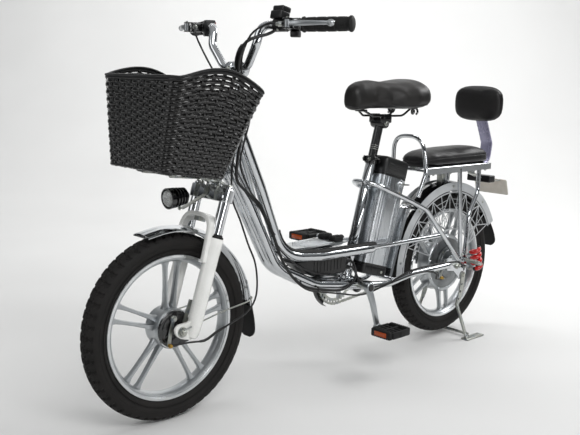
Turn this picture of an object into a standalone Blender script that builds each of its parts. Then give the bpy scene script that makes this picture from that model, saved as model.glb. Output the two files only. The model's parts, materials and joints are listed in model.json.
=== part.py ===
"""Electric bicycle with a low frame, an upright battery, a front basket and a passenger seat.

Metres, X forward, Y to the rider's left, Z up. The floor is z = 0, which the front tyre and the
feet of the stand touch, and the origin lies under the middle of the whole bicycle.
"""
import math

import bmesh
import bpy
from mathutils import Matrix, Vector

for old in list(bpy.data.objects):
    bpy.data.objects.remove(old)

# Fits
TOUCH = 0.0003          # between two faces that rest on each other
RUNNING = 0.0001        # round a shaft that turns or a post that slides

# Whole bicycle, along X measured forward of the rear axle
WHEELBASE = 1.130
REAR_REACH = 0.290      # rear axle to the rearmost edge, which is the number plate
REAR_LIFT = 0.013       # the stand holds the rear tyre this far off the floor
BAR_HALF_WIDTH = 0.312

# Wheels
TYRE_RADIUS = 0.240
TYRE_WIDTH = 0.062
TYRE_DEPTH = 0.048
RIM_RADIUS = 0.1865
RIM_WIDTH = 0.040
RIM_DEPTH = 0.019
RIM_WALL = 0.005
SPOKE_PAIRS = 5
SPOKE_WIDTH = 0.011
SPOKE_DEPTH = 0.014
SPOKE_SPREAD = 13.0     # degrees between the two spokes of a pair, at the rim
SPOKE_ROOT_SPREAD = 26.0
HUB_WIDTH = 0.054
FRONT_HUB_RADIUS = 0.052
MOTOR_RADIUS = 0.098
WHEEL_STEPS = 24
AXLE_RADIUS = 0.006
NUT_RADIUS = 0.0105
NUT_WIDTH = 0.009

# Steering axis, fork and head
HEAD_ANGLE = 73.0
FORK_OFFSET = 0.041
HEAD_LOW, HEAD_HIGH = 0.402, 0.572
HEAD_RADIUS = 0.021
STEERER_RADIUS = 0.0127
HEAD_WALL = 0.004
CROWN_LOW, CROWN_HIGH = 0.337, 0.372
CROWN_DEPTH = 0.036
LEG_Y = 0.058
LEG_RADIUS = 0.0195
LEG_SET = 0.005         # the legs stand this far ahead of the steering axis
LEG_LOW, LEG_HIGH = -0.012, 0.245
STANCHION_RADIUS = 0.014
STANCHION_LOW = 0.110
FORK_TRAVEL = 0.030
ARCH_WIDTH = 0.028
ARCH_THICK = 0.011
ARCH_FOOT, ARCH_TOP = 0.185, 0.295
EAR_THICK = 0.010

# Stem, bars and controls
STEM_REACH = 0.028
STEM_HEIGHT = 0.680     # along the steering axis, above the front axle
STEM_RADIUS = 0.0155
BAR_RADIUS = 0.0111
BAR_RISE = 0.105
BAR_CENTRE_HALF = 0.045
BAR_STRAIGHT = 0.207    # along Y, from a bend to the bar's end
BAR_BEND_RADIUS = 0.034
BAR_FORWARD = 0.012
BAR_SWEEP = 0.095       # the grips end this far behind the bends
GRIP_RADIUS = 0.0165
GRIP_LENGTH = 0.128
GRIP_FLANGE = 0.0195
LEVER_LENGTH = 0.120
LEVER_AHEAD = 0.053
LEVER_BOSS = 0.0100
DISPLAY_REACH = 0.041   # from the bar's bend to the middle of the display
BUTTON_RADIUS, BUTTON_TRAVEL = 0.0055, 0.0015
HOUSING_LENGTH = 0.030
HOUSING_RADIUS = 0.0165

# Basket
BASKET_FRONT_X = 1.248
BASKET_TOP_LENGTH = 0.276
BASKET_FLOOR_LENGTH = 0.186
BASKET_TOP_WIDTH = 0.336
BASKET_FLOOR_WIDTH = 0.248
BASKET_HEIGHT = 0.222
BASKET_TILT = 8.0
BASKET_DROP = 0.2394     # the floor's front edge lies this far below the bar's clamp
BASKET_WALL = 0.005
BASKET_CORNER = 0.042
BASKET_HUMP = 0.036

# Frame tubes
MAIN_RADIUS = 0.0150
STAY_RADIUS = 0.0080
CHAIN_STAY_RADIUS = 0.0100
UPPER_Z = 0.366         # upper pair beside the footboard
LOWER_Z = 0.266         # lower pair at the bottom bracket
TUBE_HEAD_Y = 0.026
LOWER_Y = 0.0175
TUBE_FOOT_Y = 0.052
TUBE_BATTERY_Y = 0.066
STAY_Y = 0.076
STRIP_THICK = 0.005
STRIP_WIDTH = 0.022

# Seat tube, bottom bracket and post
BB_X, BB_Z = 0.462, 0.252
BB_RADIUS, BB_HALF = 0.0215, 0.036
SPINDLE_RADIUS = 0.0085
SEAT_ANGLE = 74.5
SEAT_TUBE_AHEAD = 0.018
SEAT_TUBE_RADIUS = 0.0165
SEAT_TUBE_TOP_Z = 0.632
SEAT_TUBE_FOOT_Z = 0.285
POST_RADIUS = 0.0135
POST_LENGTH = 0.250
SADDLE_Z = 0.760
SADDLE_LENGTH = 0.285
SADDLE_WIDTH = 0.215

# Cranks
CRANK_LENGTH = 0.132
CRANK_ANGLE = 255.0     # the left arm's direction, from forward and turning upward
CRANK_HALF = 0.094
CRANK_THICK = 0.012
PEDAL_LENGTH = 0.096
PEDAL_WIDTH = 0.084
PEDAL_THICK = 0.026
CHAINRING_RADIUS = 0.072
CHAINRING_Y = -0.0515
SPROCKET_RADIUS = 0.032
CHAINRING_TEETH, SPROCKET_TEETH = 36, 16

# Battery
BATTERY_LENGTH = 0.288
BATTERY_DEPTH = 0.112
BATTERY_HALF = 0.042
BATTERY_CAP = 0.050
BATTERY_DOCK = 0.026
BATTERY_FOOT_Z = 0.292
BATTERY_GAP = 0.006     # between the case and the seat tube

# Rack, seat and backrest
RACK_Z = 0.580
RACK_HEIGHT = 0.022
RACK_HALF = 0.064
RACK_FRONT, RACK_REAR = 0.180, -0.165
RACK_FOOT_Z = 0.285
HOOP_RADIUS = 0.0070
HOOP_Z = 0.690          # the hoop's top
SEAT_THICK = 0.048
SEAT_HALF = 0.070
PAD_WIDTH, PAD_HEIGHT, PAD_THICK = 0.190, 0.116, 0.040
PAD_Z = 0.790
BACKREST_X = -0.222

# Guards, lamps and stand
GUARD_RADIUS = 0.279
GUARD_HALF = 0.0350
GUARD_SHEET = 0.0016
STAND_X, STAND_Z = -0.034, 0.214
STAND_HALF = 0.096
STAND_FOOT_X = -0.016
STAND_ROD = 0.0055

# Smaller fittings
COVER_WIDTH = 0.0098
ARM_LENGTH = 0.066
FRONT_GUARD_RADIUS = 0.2575
FRONT_GUARD_HALF = 0.0345
FLAP_THICK = 0.005
REAR_FLAP_LENGTH = 0.126
REAR_FLAP_TURN = 149.4   # where it hangs from the guard, round the rear axle
HOUSING_FROM_GRIP = 0.004
BASKET_LEAN = 0.022      # the front leans out by this much from floor to rim
DROPOUT_THICK = 0.006
STUD_RADIUS = 0.004
PEG_HALF = 0.0075
PEG_PIN = 0.003
BOARD_THICK = 0.003
BOX_HALF = 0.036
WEB_STRAND = 0.0032
SKIRT_THICK = 0.0022
BAR_THICK = 0.005
PAD_BACK = -0.188
RAIL_Z = 0.768
PEDAL_AXLE = 0.0045
REAR_COVER_WIDTH = 0.0200
BLADE_THICK = 0.004
FOOT_Y = 0.114
CROSS_X = -0.047
COIL_TURNS = 3.4
COIL_WIRE = 0.0070
COIL_RADIUS = 0.0140
HOOK_X = -0.038
LAMP_AHEAD, LAMP_UP = 0.108, 0.3215
LAMP_RADIUS, LAMP_LENGTH = 0.026, 0.062
PEG_X, PEG_Y, PEG_Z = -0.014, 0.0885, 0.2742
BOARD_FRONT, BOARD_REAR = 0.745, 0.520
BOX_FRONT, BOX_REAR = 0.712, 0.512
SEAT_FRONT, SEAT_REAR = 0.180, -0.160
WEB_INNER, WEB_OUTER, BAND_OUTER = 0.118, 0.243, 0.277
WEB_FIRST, WEB_LAST, WEB_CELLS = 20.0, 152.0, 6
BRIDGE_X, BRIDGE_Z = 0.306, 0.246
CABLE_RADIUS = 0.0025
CABLE_POINTS = 30

# Axes that several pieces share
REAR_AXLE_X = (REAR_REACH - WHEELBASE - TYRE_RADIUS) / 2
REAR_AXLE = Vector((REAR_AXLE_X, 0, TYRE_RADIUS + REAR_LIFT))
FRONT_AXLE = Vector((REAR_AXLE_X + WHEELBASE, 0, TYRE_RADIUS))
UP = Vector((-math.cos(math.radians(HEAD_ANGLE)), 0, math.sin(math.radians(HEAD_ANGLE))))
AHEAD = Vector((UP.z, 0, -UP.x))
LEFT = Vector((0, 1, 0))
HEAD_FOOT = FRONT_AXLE - AHEAD * FORK_OFFSET
POST_UP = Vector((-math.cos(math.radians(SEAT_ANGLE)), 0, math.sin(math.radians(SEAT_ANGLE))))
POST_BACK = Vector((-POST_UP.z, 0, POST_UP.x))


def at(x, y, z):
    """A point given forward of the rear axle."""
    return Vector((REAR_AXLE_X + x, y, z))


def fork_at(ahead, y, up):
    """A point given ahead of the steering axis and up along it."""
    return HEAD_FOOT + AHEAD * ahead + LEFT * y + UP * up


BB = at(BB_X, 0, BB_Z)
SEAT_FOOT = at(BB_X + SEAT_TUBE_AHEAD, 0, BB_Z)


def seat_at(back, y, up):
    """A point given behind the seat tube's axis and up along it."""
    return SEAT_FOOT + POST_BACK * back + LEFT * y + POST_UP * up


def seat_up(z):
    """How far up the seat tube's axis a height lies."""
    return (z - SEAT_FOOT.z) / POST_UP.z


# Materials
def material(name, colour, roughness, metallic=0.0):
    made = bpy.data.materials.new(name)
    made.use_nodes = True
    shader = made.node_tree.nodes["Principled BSDF"]
    shader.inputs["Base Color"].default_value = (*colour, 1)
    shader.inputs["Roughness"].default_value = roughness
    shader.inputs["Metallic"].default_value = metallic
    made.diffuse_color = (*colour, 1)
    return made


CHROME = material("chrome", (0.72, 0.72, 0.72), 0.12, 1.0)
ALLOY = material("cast_alloy", (0.62, 0.63, 0.63), 0.34, 1.0)
STEEL = material("zinc_steel", (0.55, 0.58, 0.60), 0.35, 1.0)
BLACK_METAL = material("black_enamel", (0.015, 0.015, 0.016), 0.30)
WHITE_ENAMEL = material("white_enamel", (0.80, 0.80, 0.79), 0.25)
RUBBER = material("black_rubber", (0.018, 0.018, 0.018), 0.75)
TYRE_RUBBER = material("tyre_rubber", (0.022, 0.021, 0.020), 0.80)
PLASTIC = material("black_plastic", (0.020, 0.020, 0.022), 0.40)
WICKER = material("woven_plastic", (0.014, 0.013, 0.012), 0.32)
VINYL = material("black_vinyl", (0.030, 0.028, 0.029), 0.45)
CASE_ALLOY = material("brushed_aluminium", (0.60, 0.61, 0.62), 0.30, 1.0)
LENS = material("clear_lens", (0.85, 0.85, 0.82), 0.08)
RED_LENS = material("red_lens", (0.60, 0.02, 0.01), 0.20)
GREY_PLASTIC = material("grey_plastic", (0.58, 0.58, 0.58), 0.35)
RED_ENAMEL = material("red_enamel", (0.75, 0.01, 0.01), 0.30)


# Mesh tools
def finish(bm, name):
    """Turns a bmesh into an object whose faces point out."""
    bmesh.ops.remove_doubles(bm, verts=bm.verts, dist=0.000001)
    bmesh.ops.recalc_face_normals(bm, faces=bm.faces)
    mesh = bpy.data.meshes.new(name)
    bm.to_mesh(mesh)
    bm.free()
    made = bpy.data.objects.new(name, mesh)
    bpy.context.scene.collection.objects.link(made)
    return made


def skin(rings, closed=False, name="piece"):
    """Joins rings of points into one body, with flat ends unless the rings come round again."""
    bm = bmesh.new()
    loops = [[bm.verts.new(point) for point in ring] for ring in rings]
    pairs = list(zip(loops, loops[1:])) + ([(loops[-1], loops[0])] if closed else [])
    for one, other in pairs:
        for i in range(len(one)):
            j = (i + 1) % len(one)
            bm.faces.new((one[i], one[j], other[j], other[i]))
    if not closed:
        bm.faces.new(list(reversed(loops[0])))
        bm.faces.new(loops[-1])
    return finish(bm, name)


def across(axis):
    """Two directions square to an axis and to each other."""
    axis = axis.normalized()
    side = LEFT if abs(axis.y) < 0.9 else Vector((0, 0, 1))
    first = side.cross(axis).normalized()
    return first, axis.cross(first)


def circle(centre, axis, radius, steps, turn=0.5):
    first, second = across(axis)
    turns = [2 * math.pi * (i + turn) / steps for i in range(steps)]
    return [centre + first * (radius * math.cos(t)) + second * (radius * math.sin(t)) for t in turns]


def turned(start, axis, profile, steps=16, closed=False, turn=0.5):
    """A piece turned round an axis, from its distances along the axis and radii."""
    axis = axis.normalized()
    return skin([circle(start + axis * along, axis, radius, steps, turn) for along, radius in profile],
                closed)


def rod(start, end, radius, steps=12):
    return turned(start, end - start, [(0, radius), ((end - start).length, radius)], steps)


def bore(radius, steps=20):
    """The corner radius of a faceted hole that clears a turning shaft."""
    return (radius + RUNNING) / math.cos(math.pi / steps)


def rounded(corners, bend, steps=4):
    """A path whose corners are arcs of one bend radius."""
    path = [corners[0]]
    for before, corner, after in zip(corners, corners[1:], corners[2:]):
        one, other = (before - corner), (after - corner)
        angle = one.angle(other)
        reach = min(bend / math.tan(angle / 2), one.length * 0.49, other.length * 0.49)
        start, end = corner + one.normalized() * reach, corner + other.normalized() * reach
        for i in range(steps + 1):
            t = i / steps
            path.append(start * (1 - t) ** 2 + corner * (2 * t * (1 - t)) + end * t ** 2)
    return path + [corners[-1]]


def smooth(points, count):
    """A smooth curve through hand-chosen points, as evenly spaced points."""
    ends = [points[0] * 2 - points[1]] + list(points) + [points[-1] * 2 - points[-2]]
    dense = []
    for a, b, c, d in zip(ends, ends[1:], ends[2:], ends[3:]):
        for i in range(20):
            t = i / 20
            dense.append((b * 2 + (c - a) * t + (a * 2 - b * 5 + c * 4 - d) * t ** 2
                          + (b * 3 - a - c * 3 + d) * t ** 3) / 2)
    dense.append(points[-1])
    reach = [0.0]
    for one, other in zip(dense, dense[1:]):
        reach.append(reach[-1] + (other - one).length)
    path, k = [], 0
    for i in range(count):
        want = reach[-1] * i / (count - 1)
        while k < len(dense) - 2 and reach[k + 1] < want:
            k += 1
        share = (want - reach[k]) / max(reach[k + 1] - reach[k], 1e-9)
        path.append(dense[k].lerp(dense[k + 1], min(share, 1.0)))
    return path


def frames(path):
    """The direction of a path at each point, with a side that never twists."""
    last = len(path) - 1
    ahead = [(path[min(i + 1, last)] - path[max(i - 1, 0)]).normalized() for i in range(last + 1)]
    side = across(ahead[0])[0]
    made = []
    for direction in ahead:
        side = (side - direction * side.dot(direction)).normalized()
        made.append((direction, side, direction.cross(side)))
    return made


def tube(path, radius, steps=12):
    """A round tube along a path; radius is one value or one for each point."""
    radii = radius if isinstance(radius, list) else [radius] * len(path)
    rings = []
    for point, size, (_, first, second) in zip(path, radii, frames(path)):
        turns = [2 * math.pi * (i + 0.5) / steps for i in range(steps)]
        rings.append([point + first * (size * math.cos(t)) + second * (size * math.sin(t)) for t in turns])
    return skin(rings)


def cable(path, radius):
    """A thin cable as a curve with filled caps."""
    curve = bpy.data.curves.new("cable", "CURVE")
    curve.dimensions = "3D"
    curve.bevel_depth = radius
    curve.bevel_resolution = 2
    curve.render_resolution_u = 0
    curve.use_fill_caps = True
    spline = curve.splines.new("POLY")
    spline.points.add(len(path) - 1)
    for spot, point in zip(spline.points, path):
        spot.co = (*point, 1)
    made = bpy.data.objects.new("cable", curve)
    bpy.context.scene.collection.objects.link(made)
    return made


def strap(path, side, width, thick):
    """A flat bar along a path, with its width along one fixed side."""
    side = side.normalized()
    last = len(path) - 1
    rings = []
    for i, point in enumerate(path):
        direction = (path[min(i + 1, last)] - path[max(i - 1, 0)]).normalized()
        flat = side.cross(direction).normalized() * (thick / 2)
        edge = side * (width / 2)
        rings.append([point + edge + flat, point + edge - flat, point - edge - flat, point - edge + flat])
    return skin(rings)


def slab(low, high, bevel=0.0):
    """A block between two corners, its edges rounded."""
    bm = bmesh.new()
    bmesh.ops.create_cube(bm, size=1)
    size, middle = high - low, (high + low) / 2
    bmesh.ops.scale(bm, verts=bm.verts, vec=size)
    bmesh.ops.translate(bm, verts=bm.verts, vec=middle)
    if bevel:
        bmesh.ops.bevel(bm, geom=bm.edges[:], offset=bevel, segments=1, profile=0.5, affect="EDGES")
    return finish(bm, "slab")


def plate(outline, origin, first, second, thick):
    """A flat plate: its outline lies on two directions and its thickness is square to them."""
    normal = first.cross(second).normalized() * (thick / 2)
    flat = [origin + first * a + second * b for a, b in outline]
    return skin([[p - normal for p in flat], [p + normal for p in flat]])


def corners_round(half_a, half_b, radius, steps=3):
    """The outline of a rectangle with round corners."""
    outline = []
    for quarter, (sa, sb) in enumerate([(1, 1), (-1, 1), (-1, -1), (1, -1)]):
        for i in range(steps + 1):
            turn = math.pi / 2 * (quarter + i / steps)
            outline.append((sa * (half_a - radius) + radius * math.cos(turn),
                            sb * (half_b - radius) + radius * math.sin(turn)))
    return outline


def combine(operation, base, others):
    """Adds pieces to a base, or cuts them out of it, and leaves one mesh."""
    for other in others:
        step = base.modifiers.new("combine", "BOOLEAN")
        step.operation = operation
        step.object = other
        evaluated = base.evaluated_get(bpy.context.evaluated_depsgraph_get())
        mesh = bpy.data.meshes.new_from_object(evaluated)
        base.modifiers.clear()
        base.data = mesh
        bpy.data.objects.remove(other)
    return base


def tidied(made):
    """Merges the flat faces that Booleans leave in slivers."""
    bm = bmesh.new()
    bm.from_mesh(made.data)
    bmesh.ops.dissolve_limit(bm, angle_limit=math.radians(0.4), verts=bm.verts, edges=bm.edges)
    bm.to_mesh(made.data)
    bm.free()
    return made


def join(*pieces):
    return combine("UNION", pieces[0], pieces[1:])


def cut(base, *cutters):
    return combine("DIFFERENCE", base, cutters)


def group(name, place, parent=None):
    """An empty on a joint's axis, which carries the pieces that move with it."""
    made = bpy.data.objects.new(name, None)
    bpy.context.scene.collection.objects.link(made)
    made.parent = parent
    made.location = place - (Vector(parent["place"]) if parent else Vector())
    made["place"] = place
    return made


def piece(name, made, finish_of, carrier):
    """Names a piece, gives it a material and hangs it on its empty."""
    place = Vector(carrier["place"])
    made.name = name
    made.data.name = name
    if made.type == "MESH":
        tidied(made)
        made.data.transform(Matrix.Translation(-place))
        made.data.shade_smooth()
        made.data.set_sharp_from_angle(angle=math.radians(35))
    else:
        for spline in made.data.splines:
            for point in spline.points:
                point.co = (*(point.co.xyz - place), 1)
    made.data.materials.clear()
    made.data.materials.append(finish_of)
    made.parent = carrier
    return made


# The empties, one for each body that moves
frame = group("frame", Vector())
battery = group("battery", seat_at(0, 0, 0), frame)
steering = group("steering", HEAD_FOOT, frame)
fork_slider = group("fork_slider", HEAD_FOOT, steering)
front_wheel = group("front_wheel", FRONT_AXLE, fork_slider)
rear_wheel = group("rear_wheel", REAR_AXLE, frame)
cranks = group("cranks", BB, frame)
saddle_post = group("saddle_post", SEAT_FOOT, frame)


# Wheels
def wheel(axle, hub_radius, hub_width, step):
    """A cast wheel: a rim with a dropped middle, pairs of spokes that taper, and a hub with a bore."""
    half = RIM_WIDTH / 2
    rim = turned(axle, LEFT, [
        (-half, RIM_RADIUS), (-half, RIM_RADIUS - RIM_DEPTH * 0.6), (0, RIM_RADIUS - RIM_DEPTH),
        (half, RIM_RADIUS - RIM_DEPTH * 0.6), (half, RIM_RADIUS),
        (half - RIM_WALL, RIM_RADIUS), (0, RIM_RADIUS - RIM_WALL * 2), (RIM_WALL - half, RIM_RADIUS),
    ], WHEEL_STEPS, closed=True, turn=0)
    hole = bore(AXLE_RADIUS, 12)
    hub = turned(axle, LEFT, [
        (-hub_width / 2, hub_radius * 0.96), (-hub_width / 2 + 0.004, hub_radius),
        (hub_width / 2 - 0.004, hub_radius), (hub_width / 2, hub_radius * 0.96),
        (hub_width / 2, hole), (-hub_width / 2, hole),
    ], 16, closed=True)
    spokes = []
    for pair in range(SPOKE_PAIRS):
        for side in (-1, 1):
            middle = math.radians(90 + step + 360 * pair / SPOKE_PAIRS)
            root = middle + side * math.radians(SPOKE_ROOT_SPREAD / 2)
            tip = middle + side * math.radians(SPOKE_SPREAD / 2)
            start = axle + Vector((math.cos(root), 0, math.sin(root))) * (hub_radius - 0.006)
            end = axle + Vector((math.cos(tip), 0, math.sin(tip))) * (RIM_RADIUS - RIM_DEPTH + 0.003)
            flat = (end - start).cross(LEFT).normalized()
            rings = []
            for point, wide, deep in ((start, 1.25, 1.3), (start.lerp(end, 0.5), 0.85, 1.0), (end, 1.5, 1.0)):
                w, d = flat * (SPOKE_WIDTH * wide / 2), LEFT * (SPOKE_DEPTH * deep / 2)
                rings.append([point + w + d, point - w + d, point - w - d, point + w - d])
            spokes.append(skin(rings))
    return join(rim, *spokes, hub)


def tyre(axle):
    """A tyre over the rim, with its beads just clear of the rim's edges."""
    half, bead = TYRE_WIDTH / 2, RIM_RADIUS + TOUCH
    middle = TYRE_RADIUS - TYRE_DEPTH / 2
    profile = [(-RIM_WIDTH * 0.46, bead)]
    for i in range(5):
        turn = math.radians(200 - i * 55)
        profile.append((half * math.cos(turn), middle + TYRE_DEPTH / 2 * math.sin(turn)))
    profile += [(RIM_WIDTH * 0.46, bead), (0, middle)]
    return turned(axle, LEFT, profile, WHEEL_STEPS, closed=True, turn=0)


piece("front_wheel_casting", wheel(FRONT_AXLE, FRONT_HUB_RADIUS, HUB_WIDTH, 4), ALLOY, front_wheel)
piece("front_tyre", tyre(FRONT_AXLE), TYRE_RUBBER, front_wheel)
piece("rear_wheel_casting", wheel(REAR_AXLE, MOTOR_RADIUS, HUB_WIDTH, 26), ALLOY, rear_wheel)
piece("rear_tyre", tyre(REAR_AXLE), TYRE_RUBBER, rear_wheel)


# Fork: steerer, crown and stanchions are one welded piece, and the white lowers slide on it
def fork_upper():
    crown_half = LEG_Y + STANCHION_RADIUS + 0.004
    crown = plate(corners_round(CROWN_DEPTH / 2, crown_half, 0.012),
                  fork_at(LEG_SET, 0, (CROWN_LOW + CROWN_HIGH) / 2),
                  AHEAD, LEFT, CROWN_HIGH - CROWN_LOW)
    steerer = rod(fork_at(0, 0, CROWN_HIGH - 0.01), fork_at(0, 0, HEAD_HIGH + 0.012), STEERER_RADIUS, 12)
    legs = [rod(fork_at(LEG_SET, side * LEG_Y, STANCHION_LOW),
                fork_at(LEG_SET, side * LEG_Y, CROWN_HIGH + 0.006),
                STANCHION_RADIUS, 10) for side in (-1, 1)]
    return join(crown, steerer, *legs)


def fork_lowers():
    pieces = []
    for side in (-1, 1):
        y = side * LEG_Y
        leg = turned(fork_at(LEG_SET, y, LEG_LOW), UP, [
            (0, LEG_RADIUS * 0.72), (0.012, LEG_RADIUS * 0.92), (0.05, LEG_RADIUS),
            (LEG_HIGH - LEG_LOW - 0.004, LEG_RADIUS), (LEG_HIGH - LEG_LOW, LEG_RADIUS * 0.92)], 10)
        ear = plate([(-0.004, 0.030), (-0.004, -0.016), (0.020, -0.018), (0.040, -0.016), (0.053, -0.008),
                     (0.057, 0.002), (0.051, 0.014), (0.034, 0.022)],
                    fork_at(LEG_SET, y, 0), AHEAD, UP, EAR_THICK)
        pieces += [leg, ear]
    foot = fork_at(LEG_SET + LEG_RADIUS * 0.55, LEG_Y, ARCH_FOOT)
    rise = [foot, fork_at(LEG_SET + LEG_RADIUS * 0.9, LEG_Y, ARCH_TOP)]
    path = rounded([rise[0], rise[1], rise[1] - LEFT * (2 * LEG_Y), rise[0] - LEFT * (2 * LEG_Y)], 0.040, 4)
    rings = []
    for point, (along, _, _) in zip(path, frames(path)):
        flat = AHEAD.cross(along).normalized() * (ARCH_THICK / 2)
        deep = AHEAD * (ARCH_WIDTH / 2)
        rings.append([point + flat + deep, point - flat + deep, point - flat - deep, point + flat - deep])
    made = join(*pieces, skin(rings))
    hole = bore(STANCHION_RADIUS, 10)
    bores = [rod(fork_at(LEG_SET, side * LEG_Y, STANCHION_LOW - FORK_TRAVEL - 0.004),
                 fork_at(LEG_SET, side * LEG_Y, LEG_HIGH + 0.2), hole, 10) for side in (-1, 1)]
    slots = [rod(FRONT_AXLE + LEFT * (side * LEG_Y - 0.02), FRONT_AXLE + LEFT * (side * LEG_Y + 0.02),
                 AXLE_RADIUS + TOUCH, 12) for side in (-1, 1)]
    return cut(made, *bores, *slots)


piece("fork_crown_and_stanchions", fork_upper(), CHROME, steering)
piece("fork_lowers", fork_lowers(), WHITE_ENAMEL, fork_slider)


def brake_plate(axle, radius, inner, width, out, half_span):
    """A drum brake's still cover with its axle and nuts: the hub turns between it and the far nut."""
    cover = turned(axle + LEFT * inner, LEFT, [
        (0, radius), (width * 0.6, radius), (width * 0.85, radius * 0.86), (width, radius * 0.45)], 14)
    axle_rod = rod(axle - LEFT * half_span, axle + LEFT * half_span, AXLE_RADIUS, 12)
    return join(cover, axle_rod, *out)


def nut(axle, face, side):
    """A nut whose inner face lies at a distance along the axle."""
    start = axle + LEFT * (side * (face + TOUCH))
    return turned(start, LEFT * side, [(0, NUT_RADIUS), (NUT_WIDTH, NUT_RADIUS)], 6)


COVER_INNER = HUB_WIDTH / 2 + 0.0005
ear_out = LEG_Y + EAR_THICK / 2
front_nuts = [nut(FRONT_AXLE, ear_out, side) for side in (-1, 1)]
front_cover = brake_plate(FRONT_AXLE, 0.047, COVER_INNER, COVER_WIDTH, front_nuts,
                          ear_out + NUT_WIDTH + 0.004)
piece("front_brake_plate", front_cover, BLACK_METAL, fork_slider)


# Brake arms, each on its own cam pin in front of the cover
def brake_arm(pin, down, length, y_face):
    """A bent steel arm from its cam pin to the cable's eye."""
    start = pin + LEFT * y_face
    path = [start, start + down * (length * 0.55), start + down * length + LEFT * 0.006]
    arm = strap([path[0] - down * 0.008] + path[1:], down.cross(LEFT), 0.011, 0.0035)
    boss = rod(start - LEFT * 0.0022, start + LEFT * 0.0055, 0.0068, 12)
    eye = rod(path[-1] - LEFT * 0.003, path[-1] + LEFT * 0.012, 0.0048, 10)
    return join(arm, boss, eye)


front_pin = FRONT_AXLE + AHEAD * 0.018 + UP * 0.026
front_arm = group("front_brake_cam", front_pin, fork_slider)
arm_face = COVER_INNER + COVER_WIDTH + 0.0028
arm_down = Vector((0.28, 0, -0.96)).normalized()
piece("front_brake_arm", brake_arm(front_pin, arm_down, ARM_LENGTH, arm_face), STEEL, front_arm)


# Front mudguard, held under the arch
def arc(axle, radius, first, last, steps):
    """Points round an axle, by their angles from forward in degrees."""
    turns = [math.radians(first + (last - first) * i / steps) for i in range(steps + 1)]
    return [axle + Vector((math.cos(turn), 0, math.sin(turn))) * radius for turn in turns]


def guard(path, half, sheet, drop):
    """A rolled sheet guard along a path round a wheel, with its edges turned in."""
    shape = [(-1.0, -drop), (-0.82, -drop * 0.35), (0, 0), (0.82, -drop * 0.35), (1.0, -drop)]
    made = []
    for centre, (along, _, _) in zip(path, frames(path)):
        out = LEFT.cross(along)
        outer = [centre + out * dr + LEFT * (half * share) for share, dr in shape]
        inner = [centre + out * (dr - sheet) + LEFT * ((half - sheet) * share) for share, dr in shape]
        made.append(outer + list(reversed(inner)))
    return skin(made)


front_guard = guard(arc(FRONT_AXLE, FRONT_GUARD_RADIUS, 72, 176, 11), FRONT_GUARD_HALF, GUARD_SHEET, 0.009)
arch_under = ARCH_TOP - ARCH_THICK / 2 - TOUCH
tab_at = LEG_SET + LEG_RADIUS * 0.9
guard_crest = math.sqrt(FRONT_GUARD_RADIUS ** 2 - (FORK_OFFSET - tab_at) ** 2) - 2 * GUARD_SHEET
tab = plate(corners_round(0.012, 0.012, 0.004), fork_at(tab_at, 0, (arch_under + guard_crest) / 2),
            AHEAD, LEFT, arch_under - guard_crest)
piece("front_mudguard", join(front_guard, tab), CHROME, fork_slider)


def flap(top, down, out, length, width, thick):
    """A rubber flap that widens to a round foot, hung from a guard's end."""
    outline = [(-0.30 * width, 0), (0.30 * width, 0), (0.42 * width, length * 0.45),
               (0.5 * width, length * 0.74),
               (0.42 * width, length * 0.93), (0.2 * width, length), (-0.2 * width, length),
               (-0.42 * width, length * 0.93), (-0.5 * width, length * 0.74), (-0.42 * width, length * 0.45)]
    return plate(outline, top + out * (thick / 2), LEFT, down, thick)


guard_end = math.radians(176)
guard_out = Vector((math.cos(guard_end), 0, math.sin(guard_end)))
flap_top = FRONT_AXLE + guard_out * (FRONT_GUARD_RADIUS - 0.0006) + Vector((0, 0, 0.022))
front_flap = flap(flap_top, Vector((-0.05, 0, -1)).normalized(), Vector((-1, 0, 0)), 0.118, 0.062, FLAP_THICK)
piece("front_mudflap", front_flap, RUBBER, fork_slider)


# Stem and handlebar
def stem():
    """A quill stem: a stub over the steerer, a neck and a clamp round the bar."""
    foot = HEAD_HIGH + 0.012 + TOUCH
    rise = STEM_HEIGHT - foot
    post = turned(fork_at(0, 0, foot), UP, [(0, 0.0150), (rise * 0.31, 0.0150), (rise * 0.35, BAR_RADIUS),
                                            (rise - 0.006, BAR_RADIUS), (rise - 0.002, STEM_RADIUS),
                                            (rise + 0.016, STEM_RADIUS), (rise + 0.020, 0.008)], 10)
    clamp_outer = BAR_RADIUS + 0.007
    clamp = rod(fork_at(STEM_REACH, -0.021, STEM_HEIGHT), fork_at(STEM_REACH, 0.021, STEM_HEIGHT), clamp_outer, 12)
    neck = slab(Vector((0, -0.013, -0.011)), Vector((STEM_REACH, 0.013, 0.011)), 0.003)
    neck.data.transform(Matrix.Translation(fork_at(0, 0, STEM_HEIGHT)) @ turn_to(AHEAD, UP))
    bolt = rod(fork_at(STEM_REACH + clamp_outer - 0.003, 0, STEM_HEIGHT - 0.001),
               fork_at(STEM_REACH + clamp_outer + 0.006, 0, STEM_HEIGHT - 0.001), 0.0062, 6)
    made = join(post, clamp, neck, bolt)
    hole = rod(fork_at(STEM_REACH, -0.05, STEM_HEIGHT), fork_at(STEM_REACH, 0.05, STEM_HEIGHT),
               bore(BAR_RADIUS, 12), 12)
    return cut(made, hole)


def turn_to(ahead, up):
    """The rotation that lays X and Z along two directions."""
    side = up.cross(ahead)
    return Matrix((ahead, side, up)).transposed().to_4x4()


BAR_CENTRE = fork_at(STEM_REACH, 0, STEM_HEIGHT)
BAR_BEND = BAR_CENTRE + Vector((BAR_FORWARD - 0.020, BAR_HALF_WIDTH - BAR_STRAIGHT, BAR_RISE))
BAR_END = Vector((BAR_BEND.x - BAR_SWEEP, BAR_HALF_WIDTH - 0.002, BAR_BEND.z + 0.004))
GRIP_ALONG = (BAR_END - BAR_BEND).normalized()


def mirrored(point):
    return Vector((point.x, -point.y, point.z))


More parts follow.
